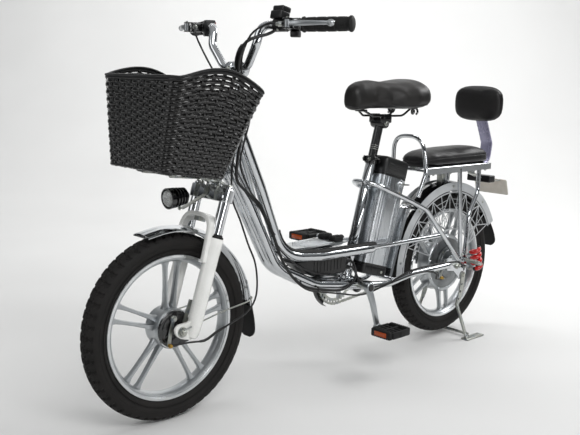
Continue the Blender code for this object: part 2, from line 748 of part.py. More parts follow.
def handlebar():
    low = BAR_CENTRE + LEFT * BAR_CENTRE_HALF
    bulge = low.lerp(BAR_BEND, 0.55) + Vector((BAR_FORWARD, 0.010, 0))
    half = [low, bulge, BAR_BEND - GRIP_ALONG * 0.012, BAR_END]
    corners = [mirrored(point) for point in reversed(half)] + half
    return tube(rounded(corners, BAR_BEND_RADIUS, 3), BAR_RADIUS, 8)


def along_grip(reach, side):
    """A point along the grip, measured back from its end."""
    point = BAR_END - GRIP_ALONG * reach
    return point if side > 0 else mirrored(point)


def grip_axis(side):
    """Out along the grip."""
    return GRIP_ALONG if side > 0 else mirrored(GRIP_ALONG)


def grip(side, length):
    """A rubber grip with flanges, over the end of the bar."""
    ribs = [(0, GRIP_FLANGE), (0.004, GRIP_FLANGE), (0.007, GRIP_RADIUS), (length * 0.5, GRIP_RADIUS + 0.001),
            (length - 0.012, GRIP_RADIUS), (length - 0.009, GRIP_FLANGE), (length - 0.003, GRIP_FLANGE),
            (length + 0.0015, GRIP_FLANGE * 0.8)]
    start = along_grip(length, side)
    made = turned(start, grip_axis(side), ribs, 10)
    hole = rod(start - grip_axis(side) * 0.01, along_grip(-TOUCH, side), bore(BAR_RADIUS, 12), 12)
    return cut(made, hole)


def housing(side, start):
    """A lever's clamp round the bar, with the ears that hold its pivot."""
    out = grip_axis(side)
    body = turned(start, out, [(0, HOUSING_RADIUS * 0.9), (0.003, HOUSING_RADIUS), (HOUSING_LENGTH - 0.003,
                  HOUSING_RADIUS), (HOUSING_LENGTH, HOUSING_RADIUS * 0.9)], 12)
    ahead = out.cross(Vector((0, 0, 1))) * -side
    ahead = Vector((abs(ahead.x), ahead.y if ahead.x > 0 else -ahead.y, 0)).normalized()
    middle = start + out * (HOUSING_LENGTH / 2)
    wide, tall = HOUSING_LENGTH * 0.42, LEVER_BOSS + TOUCH
    block = slab(Vector((0, -wide, -tall - 0.003)), Vector((LEVER_AHEAD + 0.009, wide, tall + 0.003)), 0.002)
    slot = slab(Vector((LEVER_AHEAD - 0.0095, -0.05, -tall)), Vector((LEVER_AHEAD + 0.02, 0.05, tall)))
    block = cut(block, slot)
    block.data.transform(Matrix.Translation(middle) @ turn_to(ahead, Vector((0, 0, 1))))
    barrel = rod(middle + ahead * (LEVER_AHEAD - 0.020) - out * 0.010,
                 middle + ahead * (LEVER_AHEAD - 0.014) - out * 0.036,
                 0.006, 12)
    made = join(body, block, barrel)
    hole = rod(start - out * 0.02, start + out * (HOUSING_LENGTH + 0.02), bore(BAR_RADIUS, 12), 12)
    return cut(made, hole), middle, ahead, out


def lever(middle, ahead, out, length):
    """A cast lever blade: a boss at its pivot and a round ball at its tip."""
    pivot = middle + ahead * (LEVER_AHEAD + 0.001)
    path = [pivot, pivot + out * 0.030 + ahead * 0.006, pivot + out * 0.075 + ahead * 0.002,
            pivot + out * (length - 0.012) - ahead * 0.006]
    rings = []
    for point, high, thick in zip(smooth(path, 8),
                                  (0.016, 0.014, 0.0125, 0.0115, 0.011, 0.0105, 0.010, 0.009),
                                  (0.009, 0.008, 0.0075, 0.0075, 0.007, 0.007, 0.007, 0.006)):
        up = Vector((0, 0, high / 2))
        deep = ahead * (thick / 2)
        rings.append([point + up * high_share + deep * deep_share for high_share, deep_share in (
            (1, 0.5), (0.5, 1), (-0.5, 1), (-1, 0.5), (-1, -0.5), (-0.5, -1), (0.5, -1), (1, -0.5))])
    tip = path[-1]
    ball = turned(tip - out * 0.009, out, [(0, 0.003), (0.003, 0.0068), (0.009, 0.0082), (0.015, 0.0068),
                                           (0.018, 0.003)], 8)
    boss = rod(pivot - Vector((0, 0, LEVER_BOSS)), pivot + Vector((0, 0, LEVER_BOSS)), 0.0075, 12)
    return join(skin(rings), ball, boss), pivot


piece("stem", stem(), CHROME, steering)
piece("handlebar", handlebar(), CHROME, steering)
piece("left_grip", grip(1, GRIP_LENGTH), RUBBER, steering)
throttle = group("throttle", along_grip(0, -1), steering)
piece("throttle_grip", grip(-1, GRIP_LENGTH), RUBBER, throttle)
levers = {}
for side, hand in ((1, "left"), (-1, "right")):
    start = along_grip(GRIP_LENGTH + HOUSING_FROM_GRIP + HOUSING_LENGTH, side)
    body, middle, ahead, out = housing(side, start)
    blade, pivot = lever(middle, ahead, out, LEVER_LENGTH)
    piece(f"{hand}_lever_housing", body, BLACK_METAL, steering)
    levers[hand] = (group(f"{hand}_lever_pivot", pivot, steering), middle, ahead, out)
    piece(f"{hand}_brake_lever", blade, ALLOY, levers[hand][0])


# The front brake's cable: from the left lever's barrel, between the stem and the basket, behind the
# crown and the left leg, and under the leg's foot to the brake arm
def front_cable():
    _, middle, ahead, out = levers["left"]
    begin = middle + ahead * (LEVER_AHEAD - 0.014) - out * 0.036
    away = (ahead * 0.006 - out * 0.026).normalized()
    bar = BAR_CENTRE
    eye = front_pin + arm_down * ARM_LENGTH + LEFT * (arm_face + 0.0119)
    route = [begin + away * (3 * TOUCH), begin + away * 0.022,
             Vector((bar.x + 0.040, 0.108, bar.z + 0.082)), Vector((bar.x + 0.042, 0.078, bar.z + 0.036)),
             Vector((bar.x + 0.027, 0.055, bar.z - 0.006)), Vector((bar.x + 0.010, 0.043, bar.z - 0.062)),
             fork_at(0.006, 0.040, HEAD_HIGH), fork_at(0.000, 0.040, 0.500), fork_at(-0.008, 0.037, 0.440),
             fork_at(-0.020, 0.036, 0.392), fork_at(-0.033, 0.041, CROWN_LOW + 0.012),
             fork_at(-0.066, 0.050, 0.305), fork_at(-0.104, 0.060, 0.249), fork_at(-0.138, 0.066, 0.206),
             fork_at(-0.158, 0.071, 0.155), fork_at(-0.160, 0.076, 0.113), fork_at(-0.141, 0.079, 0.078),
             fork_at(-0.100, 0.081, 0.047), fork_at(-0.052, 0.081, 0.014), fork_at(-0.022, 0.0805, -0.010),
             eye + Vector((-0.052, 0.014, 0.0032)), eye + Vector((-0.030, 0.004, 0.0008)),
             eye - Vector((0.0048 + TOUCH, 0, 0))]
    return cable(smooth(route, CABLE_POINTS), CABLE_RADIUS)


piece("front_brake_cable", front_cable(), RUBBER, steering)


# The display pod stands on the left of the bar with its button, and the switch pod hangs under it
def display():
    middle = BAR_BEND + GRIP_ALONG * DISPLAY_REACH
    base = middle + Vector((0, 0, BAR_RADIUS + TOUCH))
    pod = slab(Vector((-0.017, -0.027, 0)), Vector((0.017, 0.013, 0.036)), 0.005)
    pod.data.transform(Matrix.Translation(base) @ Matrix.Rotation(math.radians(-12), 4, "Y"))
    foot = rod(middle - GRIP_ALONG * 0.018, middle + GRIP_ALONG * 0.018, BAR_RADIUS + 0.0055, 12)
    made = join(pod, foot)
    hole = rod(middle - GRIP_ALONG * 0.08, middle + GRIP_ALONG * 0.08, bore(BAR_RADIUS, 12), 12)
    return cut(made, hole), base


pod, pod_base = display()
# The horn button sits in a pocket of the pod and is pressed in
button_face = pod_base + Matrix.Rotation(math.radians(-12), 3, "Y") @ Vector((-0.017, -0.006, 0.012))
button_out = Matrix.Rotation(math.radians(-12), 3, "Y") @ Vector((-1, 0, 0))
pocket = rod(button_face - button_out * (BUTTON_TRAVEL + 0.0012), button_face + button_out * 0.01,
             (BUTTON_RADIUS + TOUCH) / math.cos(math.pi / 12), 12)
piece("display_pod", cut(pod, pocket), PLASTIC, steering)
horn = group("horn_button_slide", button_face, steering)
button = rod(button_face - button_out * 0.0008, button_face + button_out * 0.0040, BUTTON_RADIUS, 12)
piece("horn_button", button, RED_LENS, horn)


# Headlight on a bracket from the crown
LAMP_DIP = math.radians(4)
lamp_out = Vector((math.cos(LAMP_DIP), 0, -math.sin(LAMP_DIP)))
lamp_back = fork_at(LAMP_AHEAD, 0, LAMP_UP) - lamp_out * (LAMP_LENGTH / 2)


def headlight():
    """A finned shell, its front drawn in to take the lens."""
    profile = [(0, LAMP_RADIUS * 0.42), (0.004, LAMP_RADIUS * 0.62), (0.010, LAMP_RADIUS * 0.72)]
    for fin in range(2):
        reach = 0.016 + fin * 0.016
        size = LAMP_RADIUS * (0.88 + 0.08 * fin)
        profile += [(reach, size * 0.86), (reach + 0.001, size), (reach + 0.0045, size),
                    (reach + 0.0055, size * 0.86)]
    profile += [(LAMP_LENGTH - 0.012, LAMP_RADIUS), (LAMP_LENGTH, LAMP_RADIUS * 1.02),
                (LAMP_LENGTH, LAMP_RADIUS * 0.86),
                (LAMP_LENGTH - 0.008, LAMP_RADIUS * 0.84)]
    shell = turned(lamp_back, lamp_out, profile, 12)
    arm = strap(rounded([lamp_back + lamp_out * 0.030 - Vector((0, 0, LAMP_RADIUS * 0.7)),
                         lamp_back + lamp_out * 0.020 - Vector((0, 0, LAMP_RADIUS + 0.006)),
                         fork_at(LEG_SET + CROWN_DEPTH / 2 + 0.0021, 0, CROWN_LOW + 0.010),
                         fork_at(LEG_SET + CROWN_DEPTH / 2 + 0.0021, 0, CROWN_HIGH - 0.004)], 0.008, 3),
                LEFT, 0.016, 0.0035)
    return join(shell, arm)


piece("headlight", headlight(), BLACK_METAL, steering)
lens = turned(lamp_back + lamp_out * (LAMP_LENGTH - 0.008 + TOUCH), lamp_out,
              [(0, LAMP_RADIUS * 0.79), (0.007, LAMP_RADIUS * 0.80), (0.011, LAMP_RADIUS * 0.62),
               (0.0135, LAMP_RADIUS * 0.25)], 12)
piece("headlight_lens", lens, LENS, steering)


# Basket: a tapered bin of woven plastic whose sides rise in humps, tilted with its front up
tilt = math.radians(BASKET_TILT)
basket_along = Vector((math.cos(tilt), 0, math.sin(tilt)))
basket_up = Vector((-math.sin(tilt), 0, math.cos(tilt)))
basket_front = at(BASKET_FRONT_X, 0, BAR_CENTRE.z - BASKET_DROP) - basket_along * BASKET_LEAN


def basket_ring(share, inset):
    """The basket's outline at a height, from 0 at the floor to 1 at the rim."""
    length = BASKET_FLOOR_LENGTH + (BASKET_TOP_LENGTH - BASKET_FLOOR_LENGTH) * share
    width = BASKET_FLOOR_WIDTH + (BASKET_TOP_WIDTH - BASKET_FLOOR_WIDTH) * share
    lean = BASKET_LEAN * share
    ring = []
    radius = BASKET_CORNER * (0.7 + 0.3 * share)
    for a, b in corners_round(length / 2 - inset, width / 2 - inset, radius - inset, 3):
        ring.append(basket_front + basket_along * (a - length / 2 + lean) + LEFT * b
                    + basket_up * (BASKET_HEIGHT * share))
    return ring


def side_points(ring, count=3):
    """Adds points along the two long sides of an outline, so that the humps can rise there."""
    longer = []
    for i, point in enumerate(ring):
        after = ring[(i + 1) % len(ring)]
        longer.append(point)
        if (after - point).length > BASKET_FLOOR_LENGTH * 0.35:
            longer += [point.lerp(after, k / (count + 1)) for k in range(1, count + 1)]
    return longer


def basket():
    def lifted(share, inset):
        """The outline with its side humps lifted by a smooth rule."""
        length = BASKET_FLOOR_LENGTH + (BASKET_TOP_LENGTH - BASKET_FLOOR_LENGTH) * share
        ring = []
        for point in side_points(basket_ring(share, inset)):
            back = ((basket_front + basket_along * (BASKET_LEAN * share)) - point).dot(basket_along) / length
            widening = (BASKET_TOP_WIDTH - BASKET_FLOOR_WIDTH) / 2
            side = abs(point.y) / (BASKET_FLOOR_WIDTH / 2 + widening * share)
            lift = max(0.0, math.sin(math.pi * min(max((back - 0.05) / 0.90, 0), 1))) if side > 0.88 else 0.0
            ring.append(point + basket_up * (BASKET_HUMP * lift * max(0.0, share - 0.4) / 0.6))
        return ring
    outer = [lifted(share, 0) for share in (0, 0.4, 0.7, 0.94)]
    band = [lifted(0.94, -0.003), lifted(1.0, -0.003), lifted(1.0, BASKET_WALL)]
    inner = [lifted(share, BASKET_WALL) for share in (0.7, 0.4, 0.03)]
    return skin(outer + band + inner)


piece("basket", basket(), WICKER, steering)


def wire_path(*points):
    return rounded(list(points), 0.012, 2)


def basket_bracket():
    """Flat bars under the basket's floor, joined to the crown's top and to a rod on each side."""
    floor = basket_front - basket_up * (0.0022 + TOUCH)
    spine = strap([floor - basket_along * (BASKET_FLOOR_LENGTH * 0.10),
                   floor - basket_along * (BASKET_FLOOR_LENGTH + 0.035)],
                  LEFT, 0.026, 0.004)
    crossing = floor - basket_along * (BASKET_FLOOR_LENGTH * 0.35) - basket_up * 0.0015
    bar = strap([crossing - LEFT * 0.075, crossing + LEFT * 0.075], basket_along, 0.020, 0.004)
    crown_top = fork_at(LEG_SET, 0, CROWN_HIGH + TOUCH)
    rear = floor - basket_along * (BASKET_FLOOR_LENGTH + 0.030)
    pieces = [spine, bar]
    for side in (-1, 1):
        foot = fork_at(LEG_SET - 0.006, side * 0.032, CROWN_HIGH + TOUCH)
        top = rear + LEFT * (side * 0.010) + basket_along * 0.006
        pieces.append(tube(wire_path(foot, foot + UP * 0.012, top - basket_up * 0.004), 0.0040, 6))
        knee = crossing + LEFT * (side * 0.060) - basket_up * 0.003
        hook = fork_at(LEG_SET + CROWN_DEPTH / 2 - 0.006, side * 0.034, CROWN_HIGH + TOUCH)
        pieces.append(tube(wire_path(hook, hook + UP * 0.020, knee), 0.0026, 6))
        pieces.append(rod(foot, foot + UP * 0.004, 0.0085, 6))
        pieces.append(rod(hook, hook + UP * 0.003, 0.0062, 6))
    return join(*pieces)


piece("basket_bracket", basket_bracket(), STEEL, steering)


# Frame. The head tube and the upper pair of tubes are welded into one piece
def upper_path(side):
    """From the head tube down beside the footboard and as far as the battery."""
    return rounded([
        fork_at(-0.010, side * 0.0158, HEAD_HIGH - 0.030),
        at(0.850, side * TUBE_HEAD_Y, 0.575),
        at(0.775, side * (TUBE_HEAD_Y + 0.008), UPPER_Z + 0.012),
        at(0.640, side * TUBE_FOOT_Y, UPPER_Z),
        at(0.440, side * TUBE_BATTERY_Y, UPPER_Z)], 0.120, 3)


def upper_tube(side):
    """An upper tube that narrows behind the footboard to the tail that runs on to the seat stay."""
    path = upper_path(side)
    start = path[-1]
    tail = [start - Vector((0.022, 0, -0.0005)), at(0.112, side * (TUBE_BATTERY_Y + 0.004), UPPER_Z + 0.001)]
    return tube(path + tail, [MAIN_RADIUS] * len(path) + [STAY_RADIUS] * 2, 8)


def head_tube():
    low, high = fork_at(0, 0, HEAD_LOW), fork_at(0, 0, HEAD_HIGH)
    shell = turned(low, UP, [(0, HEAD_RADIUS + 0.002), (0.012, HEAD_RADIUS + 0.002), (0.014, HEAD_RADIUS),
                             (HEAD_HIGH - HEAD_LOW - 0.014, HEAD_RADIUS),
                             (HEAD_HIGH - HEAD_LOW - 0.012, HEAD_RADIUS + 0.002),
                             (HEAD_HIGH - HEAD_LOW, HEAD_RADIUS + 0.002)], 12)
    return shell, rod(low - UP * 0.02, high + UP * 0.02, bore(STEERER_RADIUS, 12), 12)


def upper_frame():
    shell, hole = head_tube()
    tubes = [upper_tube(side) for side in (-1, 1)]
    crossings = [rod(at(x, -y, z), at(x, y, z), 0.0075, 9) for x, y, z in
                 ((0.8325, TUBE_HEAD_Y, 0.521), (0.658, TUBE_FOOT_Y - 0.004, UPPER_Z + 0.0023))]
    return cut(join(shell, *tubes, *crossings), hole)


def lower_path(side):
    """From the head tube under the footboard to the bottom bracket, and on as a chain stay."""
    return rounded([
        fork_at(-0.012, side * LOWER_Y, HEAD_LOW + 0.036),
        at(0.905, side * LOWER_Y, 0.572),
        at(0.778, side * LOWER_Y, 0.345),
        at(0.640, side * (LOWER_Y + 0.014), LOWER_Z + 0.012),
        at(0.410, side * 0.030, 0.240)], 0.130, 3)


def stay_path(side):
    """A chain stay, from the lower tube's end to the dropout."""
    return rounded([lower_path(side)[-1] - Vector((0.022, -side * 0.002, 0.001)),
                    at(0.330, side * 0.050, 0.236),
                    at(0.255, side * 0.066, 0.256), at(0.062, side * STAY_Y, 0.262)], 0.060, 2)


def lower_frame():
    pieces = []
    for side in (-1, 1):
        path, stay = lower_path(side), stay_path(side)
        pieces.append(tube(path + stay, [MAIN_RADIUS] * len(path) + [CHAIN_STAY_RADIUS] * len(stay), 8))
    shell = rod(BB - LEFT * BB_HALF, BB + LEFT * BB_HALF, BB_RADIUS, 12)
    seat_post_tube = rod(SEAT_FOOT + POST_UP * 0.004, seat_at(0, 0, seat_up(SEAT_TUBE_TOP_Z)),
                         SEAT_TUBE_RADIUS, 12)
    collar = rod(seat_at(0, 0, seat_up(SEAT_TUBE_TOP_Z) - 0.022), seat_at(0, 0, seat_up(SEAT_TUBE_TOP_Z)),
                 SEAT_TUBE_RADIUS + 0.0035, 12)
    bolt = rod(seat_at(-SEAT_TUBE_RADIUS - 0.007, -0.016, seat_up(SEAT_TUBE_TOP_Z) - 0.011),
               seat_at(-SEAT_TUBE_RADIUS - 0.007, 0.020, seat_up(SEAT_TUBE_TOP_Z) - 0.011), 0.005, 8)
    ears = rod(seat_at(-SEAT_TUBE_RADIUS - 0.002, -0.009, seat_up(SEAT_TUBE_TOP_Z) - 0.011),
               seat_at(-SEAT_TUBE_RADIUS - 0.002, 0.009, seat_up(SEAT_TUBE_TOP_Z) - 0.011), 0.009, 8)
    bridges = [rod(at(x, -0.036, z), at(x, 0.036, z), 0.009, 8) for x, z in ((0.640, LOWER_Z + 0.014),)]
    bridges.append(rod(at(BRIDGE_X, -0.058, BRIDGE_Z), at(BRIDGE_X, 0.058, BRIDGE_Z), 0.006, 8))
    made = join(shell, *pieces, seat_post_tube, collar, ears, bolt, *bridges)
    spindle_hole = rod(BB - LEFT * 0.1, BB + LEFT * 0.1, bore(SPINDLE_RADIUS, 12), 12)
    post_hole = rod(seat_at(0, 0, seat_up(SEAT_TUBE_FOOT_Z) + 0.06),
                    seat_at(0, 0, seat_up(SEAT_TUBE_TOP_Z) + 0.05),
                    bore(POST_RADIUS, 12), 12)
    head = rod(fork_at(0, 0, HEAD_LOW - 0.03), fork_at(0, 0, HEAD_HIGH), HEAD_RADIUS + TOUCH, 12)
    collar_clear = rod(fork_at(0, 0, HEAD_LOW - 0.03), fork_at(0, 0, HEAD_LOW + 0.0145),
                       HEAD_RADIUS + 0.0026, 12)
    return cut(made, head, collar_clear, spindle_hole, post_hole)


piece("upper_frame", upper_frame(), CHROME, frame)
piece("lower_frame", lower_frame(), CHROME, frame)


# Seat stays: a loop round the front of the seat tube, down both sides to the dropout plates
DROPOUT_OUT = STAY_Y - CHAIN_STAY_RADIUS + 0.004
STAY_WRAP = SEAT_TUBE_RADIUS + STAY_RADIUS + TOUCH


def seat_stays():
    start = seat_up(0.548)
    loop = rounded([
        at(0.006, STAY_Y, 0.276), at(0.180, 0.066, 0.459), at(0.250, 0.062, 0.490),
        seat_at(0.010, 0.053, start), seat_at(-STAY_WRAP, 0.030, start + 0.004),
        seat_at(-STAY_WRAP, -0.030, start + 0.004), seat_at(0.010, -0.053, start),
        at(0.250, -0.062, 0.490), at(0.180, -0.066, 0.459), at(0.006, -STAY_Y, 0.276)], 0.050, 2)
    made = tube(loop, STAY_RADIUS, 6)
    outline = [(0.052, 0.030), (0.020, 0.040), (-0.034, 0.042), (-0.052, 0.026), (-0.054, -0.036),
               (-0.040, -0.052),
               (-0.016, -0.050), (0.018, -0.018), (0.052, -0.012)]
    pieces = []
    for side in (-1, 1):
        where = REAR_AXLE + LEFT * (side * (STAY_Y - CHAIN_STAY_RADIUS - DROPOUT_THICK / 2 + 0.004))
        pieces.append(plate(outline, where, Vector((1, 0, 0)), Vector((0, 0, 1)), DROPOUT_THICK))
        inner, outer = side * (DROPOUT_OUT - 0.002), side * (DROPOUT_OUT + 0.0075)
        pieces.append(rod(at(STAND_X, inner, STAND_Z), at(STAND_X, outer, STAND_Z), STUD_RADIUS, 8))
        pin_at = at(PEG_X, side * PEG_Y, PEG_Z)
        pieces.append(rod(pin_at - Vector((0.012, 0, 0)), pin_at + Vector((0.012, 0, 0)), PEG_PIN, 8))
        low, high = min(inner, side * (PEG_Y + 0.006)), max(inner, side * (PEG_Y + 0.006))
        for way in (-1, 1):
            ear = sorted((way * (PEG_HALF + 0.0012), way * (PEG_HALF + 0.0045)))
            pieces.append(slab(at(PEG_X + ear[0], low, PEG_Z - 0.008),
                               at(PEG_X + ear[1], high, PEG_Z + 0.008)))
    made = join(made, *pieces)
    slot = rod(REAR_AXLE - LEFT * 0.12, REAR_AXLE + LEFT * 0.12, AXLE_RADIUS + TOUCH, 12)
    return cut(made, slot)


piece("seat_stays_and_dropouts", seat_stays(), CHROME, frame)


# Rack: two flat rails with crossbars, four stays and the grab hoop over its front end
def rack():
    rails = []
    front = min(point.x for point in hoop()) - HOOP_RADIUS - TOUCH
    for side in (-1, 1):
        y = side * RACK_HALF
        nose = Vector((front, y, RACK_Z))
        rails.append(strap([nose, at(RACK_REAR, y, RACK_Z)], Vector((0, 0, 1)), RACK_HEIGHT, 0.012))
        rails.append(tube([at(0.008, y, RACK_Z), at(-0.004, side * (STAY_Y + 0.002), RACK_FOOT_Z)], 0.0075,
                          6))
        rails.append(tube(rounded([at(-0.104, y, RACK_Z), at(-0.103, y, 0.494),
                                   at(-0.044, side * 0.074, 0.424),
                                   at(-0.028, side * (STAY_Y + 0.002), RACK_FOOT_Z)], 0.050, 3), 0.0075, 6))
    bars = [slab(at(x - 0.010, -RACK_HALF, RACK_Z - 0.004), at(x + 0.010, RACK_HALF, RACK_Z + 0.002))
            for x in (RACK_FRONT - 0.014, 0.020, RACK_REAR + 0.014)]
    return join(rails[0], *bars, *rails[1:])


def hoop():
    knee = RACK_FRONT + HOOP_RADIUS + 0.004
    return rounded([at(0.226, 0.066, 0.502), at(knee, 0.068, RACK_Z), at(0.204, 0.058, HOOP_Z),
                    at(0.204, -0.058, HOOP_Z), at(knee, -0.068, RACK_Z), at(0.226, -0.066, 0.502)], 0.056, 3)


piece("rear_rack", rack(), CHROME, frame)
piece("grab_hoop", tube(hoop(), HOOP_RADIUS, 8), CHROME, frame)


# Rubber strips along the tops of the upper tubes
def strip(side):
    path = upper_path(side)
    keep = [point for point in path if point.z < 0.462 and point.x < at(0.800, 0, 0).x]
    top = at(0.802, side * (TUBE_HEAD_Y + 0.006), 0.448)
    rings = []
    line = [top] + keep
    for point, (along, _, _) in zip(line, frames(line)):
        up = (LEFT.cross(along) * -1).normalized()
        if up.z < 0:
            up = -up
        rise = MAIN_RADIUS + TOUCH
        wide = STRIP_WIDTH / 2
        rings.append([point + up * rise, point + up * rise + LEFT * (wide * 0.5),
                      point + up * (rise + STRIP_THICK * 0.7) + LEFT * (wide * 0.6),
                      point + up * (rise + STRIP_THICK),
                      point + up * (rise + STRIP_THICK * 0.7) - LEFT * (wide * 0.6),
                      point + up * rise - LEFT * (wide * 0.5)])
    return skin(rings)


# Footboard between the upper tubes, with the rubber blocks at its rear, and the controller under it
BOARD_TOP = UPPER_Z + MAIN_RADIUS + 0.0135


def footboard():
    outline = []
    front, rear = BOARD_FRONT, BOARD_REAR
    wide = TUBE_FOOT_Y + 0.004
    sheet = plate([(front, 0.016), (front - 0.020, 0.030), (0.640, wide * 0.80), (rear + 0.010, wide * 0.86),
                   (rear, wide * 0.70), (rear, -wide * 0.70), (rear + 0.010, -wide * 0.86),
                   (0.640, -wide * 0.80),
                   (front - 0.020, -0.030), (front, -0.016)],
                  at(0, 0, BOARD_TOP - BOARD_THICK / 2), Vector((1, 0, 0)), LEFT, BOARD_THICK)
    ribs = [slab(at(rear + 0.03, y - 0.002, BOARD_TOP - 0.001),
                 at(front - 0.05, y + 0.002, BOARD_TOP + 0.0015))
            for y in (-0.024, -0.008, 0.008, 0.024)]
    posts = [rod(at(x, 0, UPPER_Z + 0.0101), at(x, 0, BOARD_TOP - 0.001), 0.006, 10) for x in (0.660,)]
    blocks = [slab(at(0.528, side * 0.022 - 0.014, BOARD_TOP - 0.001),
                   at(0.566, side * 0.022 + 0.014, BOARD_TOP + 0.016),
                   0.004) for side in (-1, 1)]
    return join(sheet, *ribs, *posts, *blocks)


piece("left_tube_strip", strip(1), RUBBER, frame)
piece("right_tube_strip", strip(-1), RUBBER, frame)
piece("footboard", footboard(), ALLOY, frame)
BOX_HIGH = UPPER_Z - 0.010


def controller():
    """The controller's box hangs from the footboard's post, above the lower tubes."""
    box = slab(at(BOX_REAR, -BOX_HALF, 0.298), at(BOX_FRONT, BOX_HALF, BOX_HIGH), 0.004)
    wedge = plate([(BOX_FRONT + 0.02, 0.290), (BOX_FRONT + 0.02, 0.346), (BOX_FRONT - 0.064, 0.290)],
                  at(0, 0, 0),
                  Vector((1, 0, 0)), Vector((0, 0, 1)), 0.2)
    clear = [tube(lower_path(side), MAIN_RADIUS + TOUCH + 0.0006, 12) for side in (-1, 1)]
    return cut(box, wedge, *clear)


piece("controller_box", controller(), PLASTIC, frame)


# Rear mudguard: a column behind the battery that runs on over the wheel, hung from the rack's middle bar
column_foot = at(BRIDGE_X + 0.0015, 0, BRIDGE_Z + 0.0072)
rear_path = smooth([column_foot, at(0.238, 0, 0.452)] + arc(REAR_AXLE, GUARD_RADIUS, 50, 150, 6), 15)
rear_guard = guard(rear_path, GUARD_HALF, GUARD_SHEET, 0.010)
rack_under = RACK_Z - 0.004 - TOUCH
rear_crest = REAR_AXLE.z + GUARD_RADIUS - 0.003
rear_tab = slab(at(0.010, -0.011, rear_crest), at(0.030, 0.011, rack_under))
piece("rear_mudguard", join(rear_guard, rear_tab), BLACK_METAL, frame)

flap_angle = math.radians(REAR_FLAP_TURN)
flap_out = Vector((math.cos(flap_angle), 0, math.sin(flap_angle)))
rear_flap_top = REAR_AXLE + flap_out * (GUARD_RADIUS + TOUCH + 0.0007)
flap_down = Vector((-0.33, 0, -0.944)).normalized()
rear_flap = flap(rear_flap_top, flap_down, flap_down.cross(LEFT) * -1, REAR_FLAP_LENGTH, 0.066, FLAP_THICK)
piece("rear_mudflap", rear_flap, RUBBER, frame)

# Skirt guards: a band beside the mudguard's edge and a web of thin strands inside it
SKIRT_Y = GUARD_HALF + TOUCH + SKIRT_THICK / 2 + 0.0006


def polar(radius, degrees):
    turn = math.radians(degrees)
    return (radius * math.cos(turn), radius * math.sin(turn))


def inset(outline, by):
    """A convex outline with every side moved in by the same amount."""
    middle = Vector((sum(a for a, _ in outline), sum(b for _, b in outline))) / len(outline)
    made = []
    count = len(outline)
    for i in range(count):
        before, here, after = (Vector(outline[(i + k) % count]) for k in (-1, 0, 1))
        one, other = (here - before).normalized(), (after - here).normalized()
        normals = []
        for direction in (one, other):
            normal = Vector((-direction.y, direction.x))
            if normal.dot(middle - here) < 0:
                normal = -normal
            normals.append(normal)
        total = normals[0] + normals[1]
        made.append(here + total * (by / (1 + normals[0].dot(normals[1]))))
    return made


def skirt(side):
    first, second = Vector((1, 0, 0)), Vector((0, 0, 1))
    centre = REAR_AXLE + LEFT * (side * SKIRT_Y)
    outline = [polar(BAND_OUTER, -4 + 158 * i / 14) for i in range(15)]
    outline += [polar(WEB_INNER, WEB_LAST - (WEB_LAST - 26) * i / 7) for i in range(8)]
    outline += [polar(WEB_OUTER - 0.010, 17.5), polar(WEB_OUTER, 15), polar(WEB_OUTER, 6),
                polar(WEB_OUTER, -4)]
    sheet = plate(outline, centre, first, second, SKIRT_THICK)
    step = (WEB_LAST - WEB_FIRST) / WEB_CELLS
    low, high = WEB_INNER + 0.004, WEB_OUTER
    middle = (low + high) / 2 + 0.004
    cells = []
    for i in range(WEB_CELLS):
        here = WEB_FIRST + i * step
        cells.append([polar(high, here + 1), polar(high, here + step / 2), polar(high, here + step - 1),
                      polar(middle, here + step / 2)])
        cells.append([polar(low, here + 3), polar(low, here + step - 3), polar(middle, here + step / 2)])
        if i:
            cells.append([polar(high, here), polar(middle, here + step / 2), polar(low, here),
                          polar(middle, here - step / 2)])
    cutters = [plate(inset(cell, WEB_STRAND / 2), centre, first, second, 0.02) for cell in cells]
    return cut(sheet, *cutters)


piece("left_skirt_guard", skirt(1), GREY_PLASTIC, frame)
piece("right_skirt_guard", skirt(-1), GREY_PLASTIC, frame)


# Lamps: one under the rack's end, which also carries the blank number plate, and one on the mudguard
def rear_lamp():
    """A bracket below the rack's last bar with a lamp case across it."""
    top = RACK_Z - RACK_HEIGHT / 2 - TOUCH
    bracket = strap(rounded([at(RACK_REAR + 0.014, 0, rack_under - 0.001), at(RACK_REAR + 0.014, 0, 0.548),
                             at(-0.200, 0, 0.530)], 0.010, 3), LEFT, 0.030, 0.003)
    foot = slab(at(RACK_REAR + 0.004, -0.022, rack_under - 0.003), at(RACK_REAR + 0.024, 0.022, rack_under))
    case = slab(at(-0.232, -0.048, 0.516), at(-0.196, 0.048, 0.540), 0.004)
    return join(bracket, foot, case)


def number_plate():
    """A blank plate whose lower edge is the rearmost edge of the bicycle."""
    down = Vector((-0.30, 0, -0.954)).normalized()
    low = Vector((at(-REAR_REACH, 0, 0).x, 0, 0.468))
    thick = 0.0016
    flat = down.cross(LEFT)
    height = 0.058
    start = low - down * height
    sheet = strap([start, low], LEFT, 0.136, thick)
    shift = at(-REAR_REACH, 0, 0).x - min(v.co.x for v in sheet.data.vertices)
    sheet.data.transform(Matrix.Translation((shift, 0, 0)))
    return sheet


def plate_arms():
    return [slab(at(-0.2745, side * 0.040 - 0.004, 0.5185), at(-0.222, side * 0.040 + 0.004, 0.5215))
            for side in (-1, 1)]


piece("rear_lamp", join(rear_lamp(), number_plate(), *plate_arms()), PLASTIC, frame)


# Passenger seat on the rack's rails, and the backrest on a bent bar from the rack's last crossbar
seat_floor = RACK_Z + RACK_HEIGHT / 2 + TOUCH


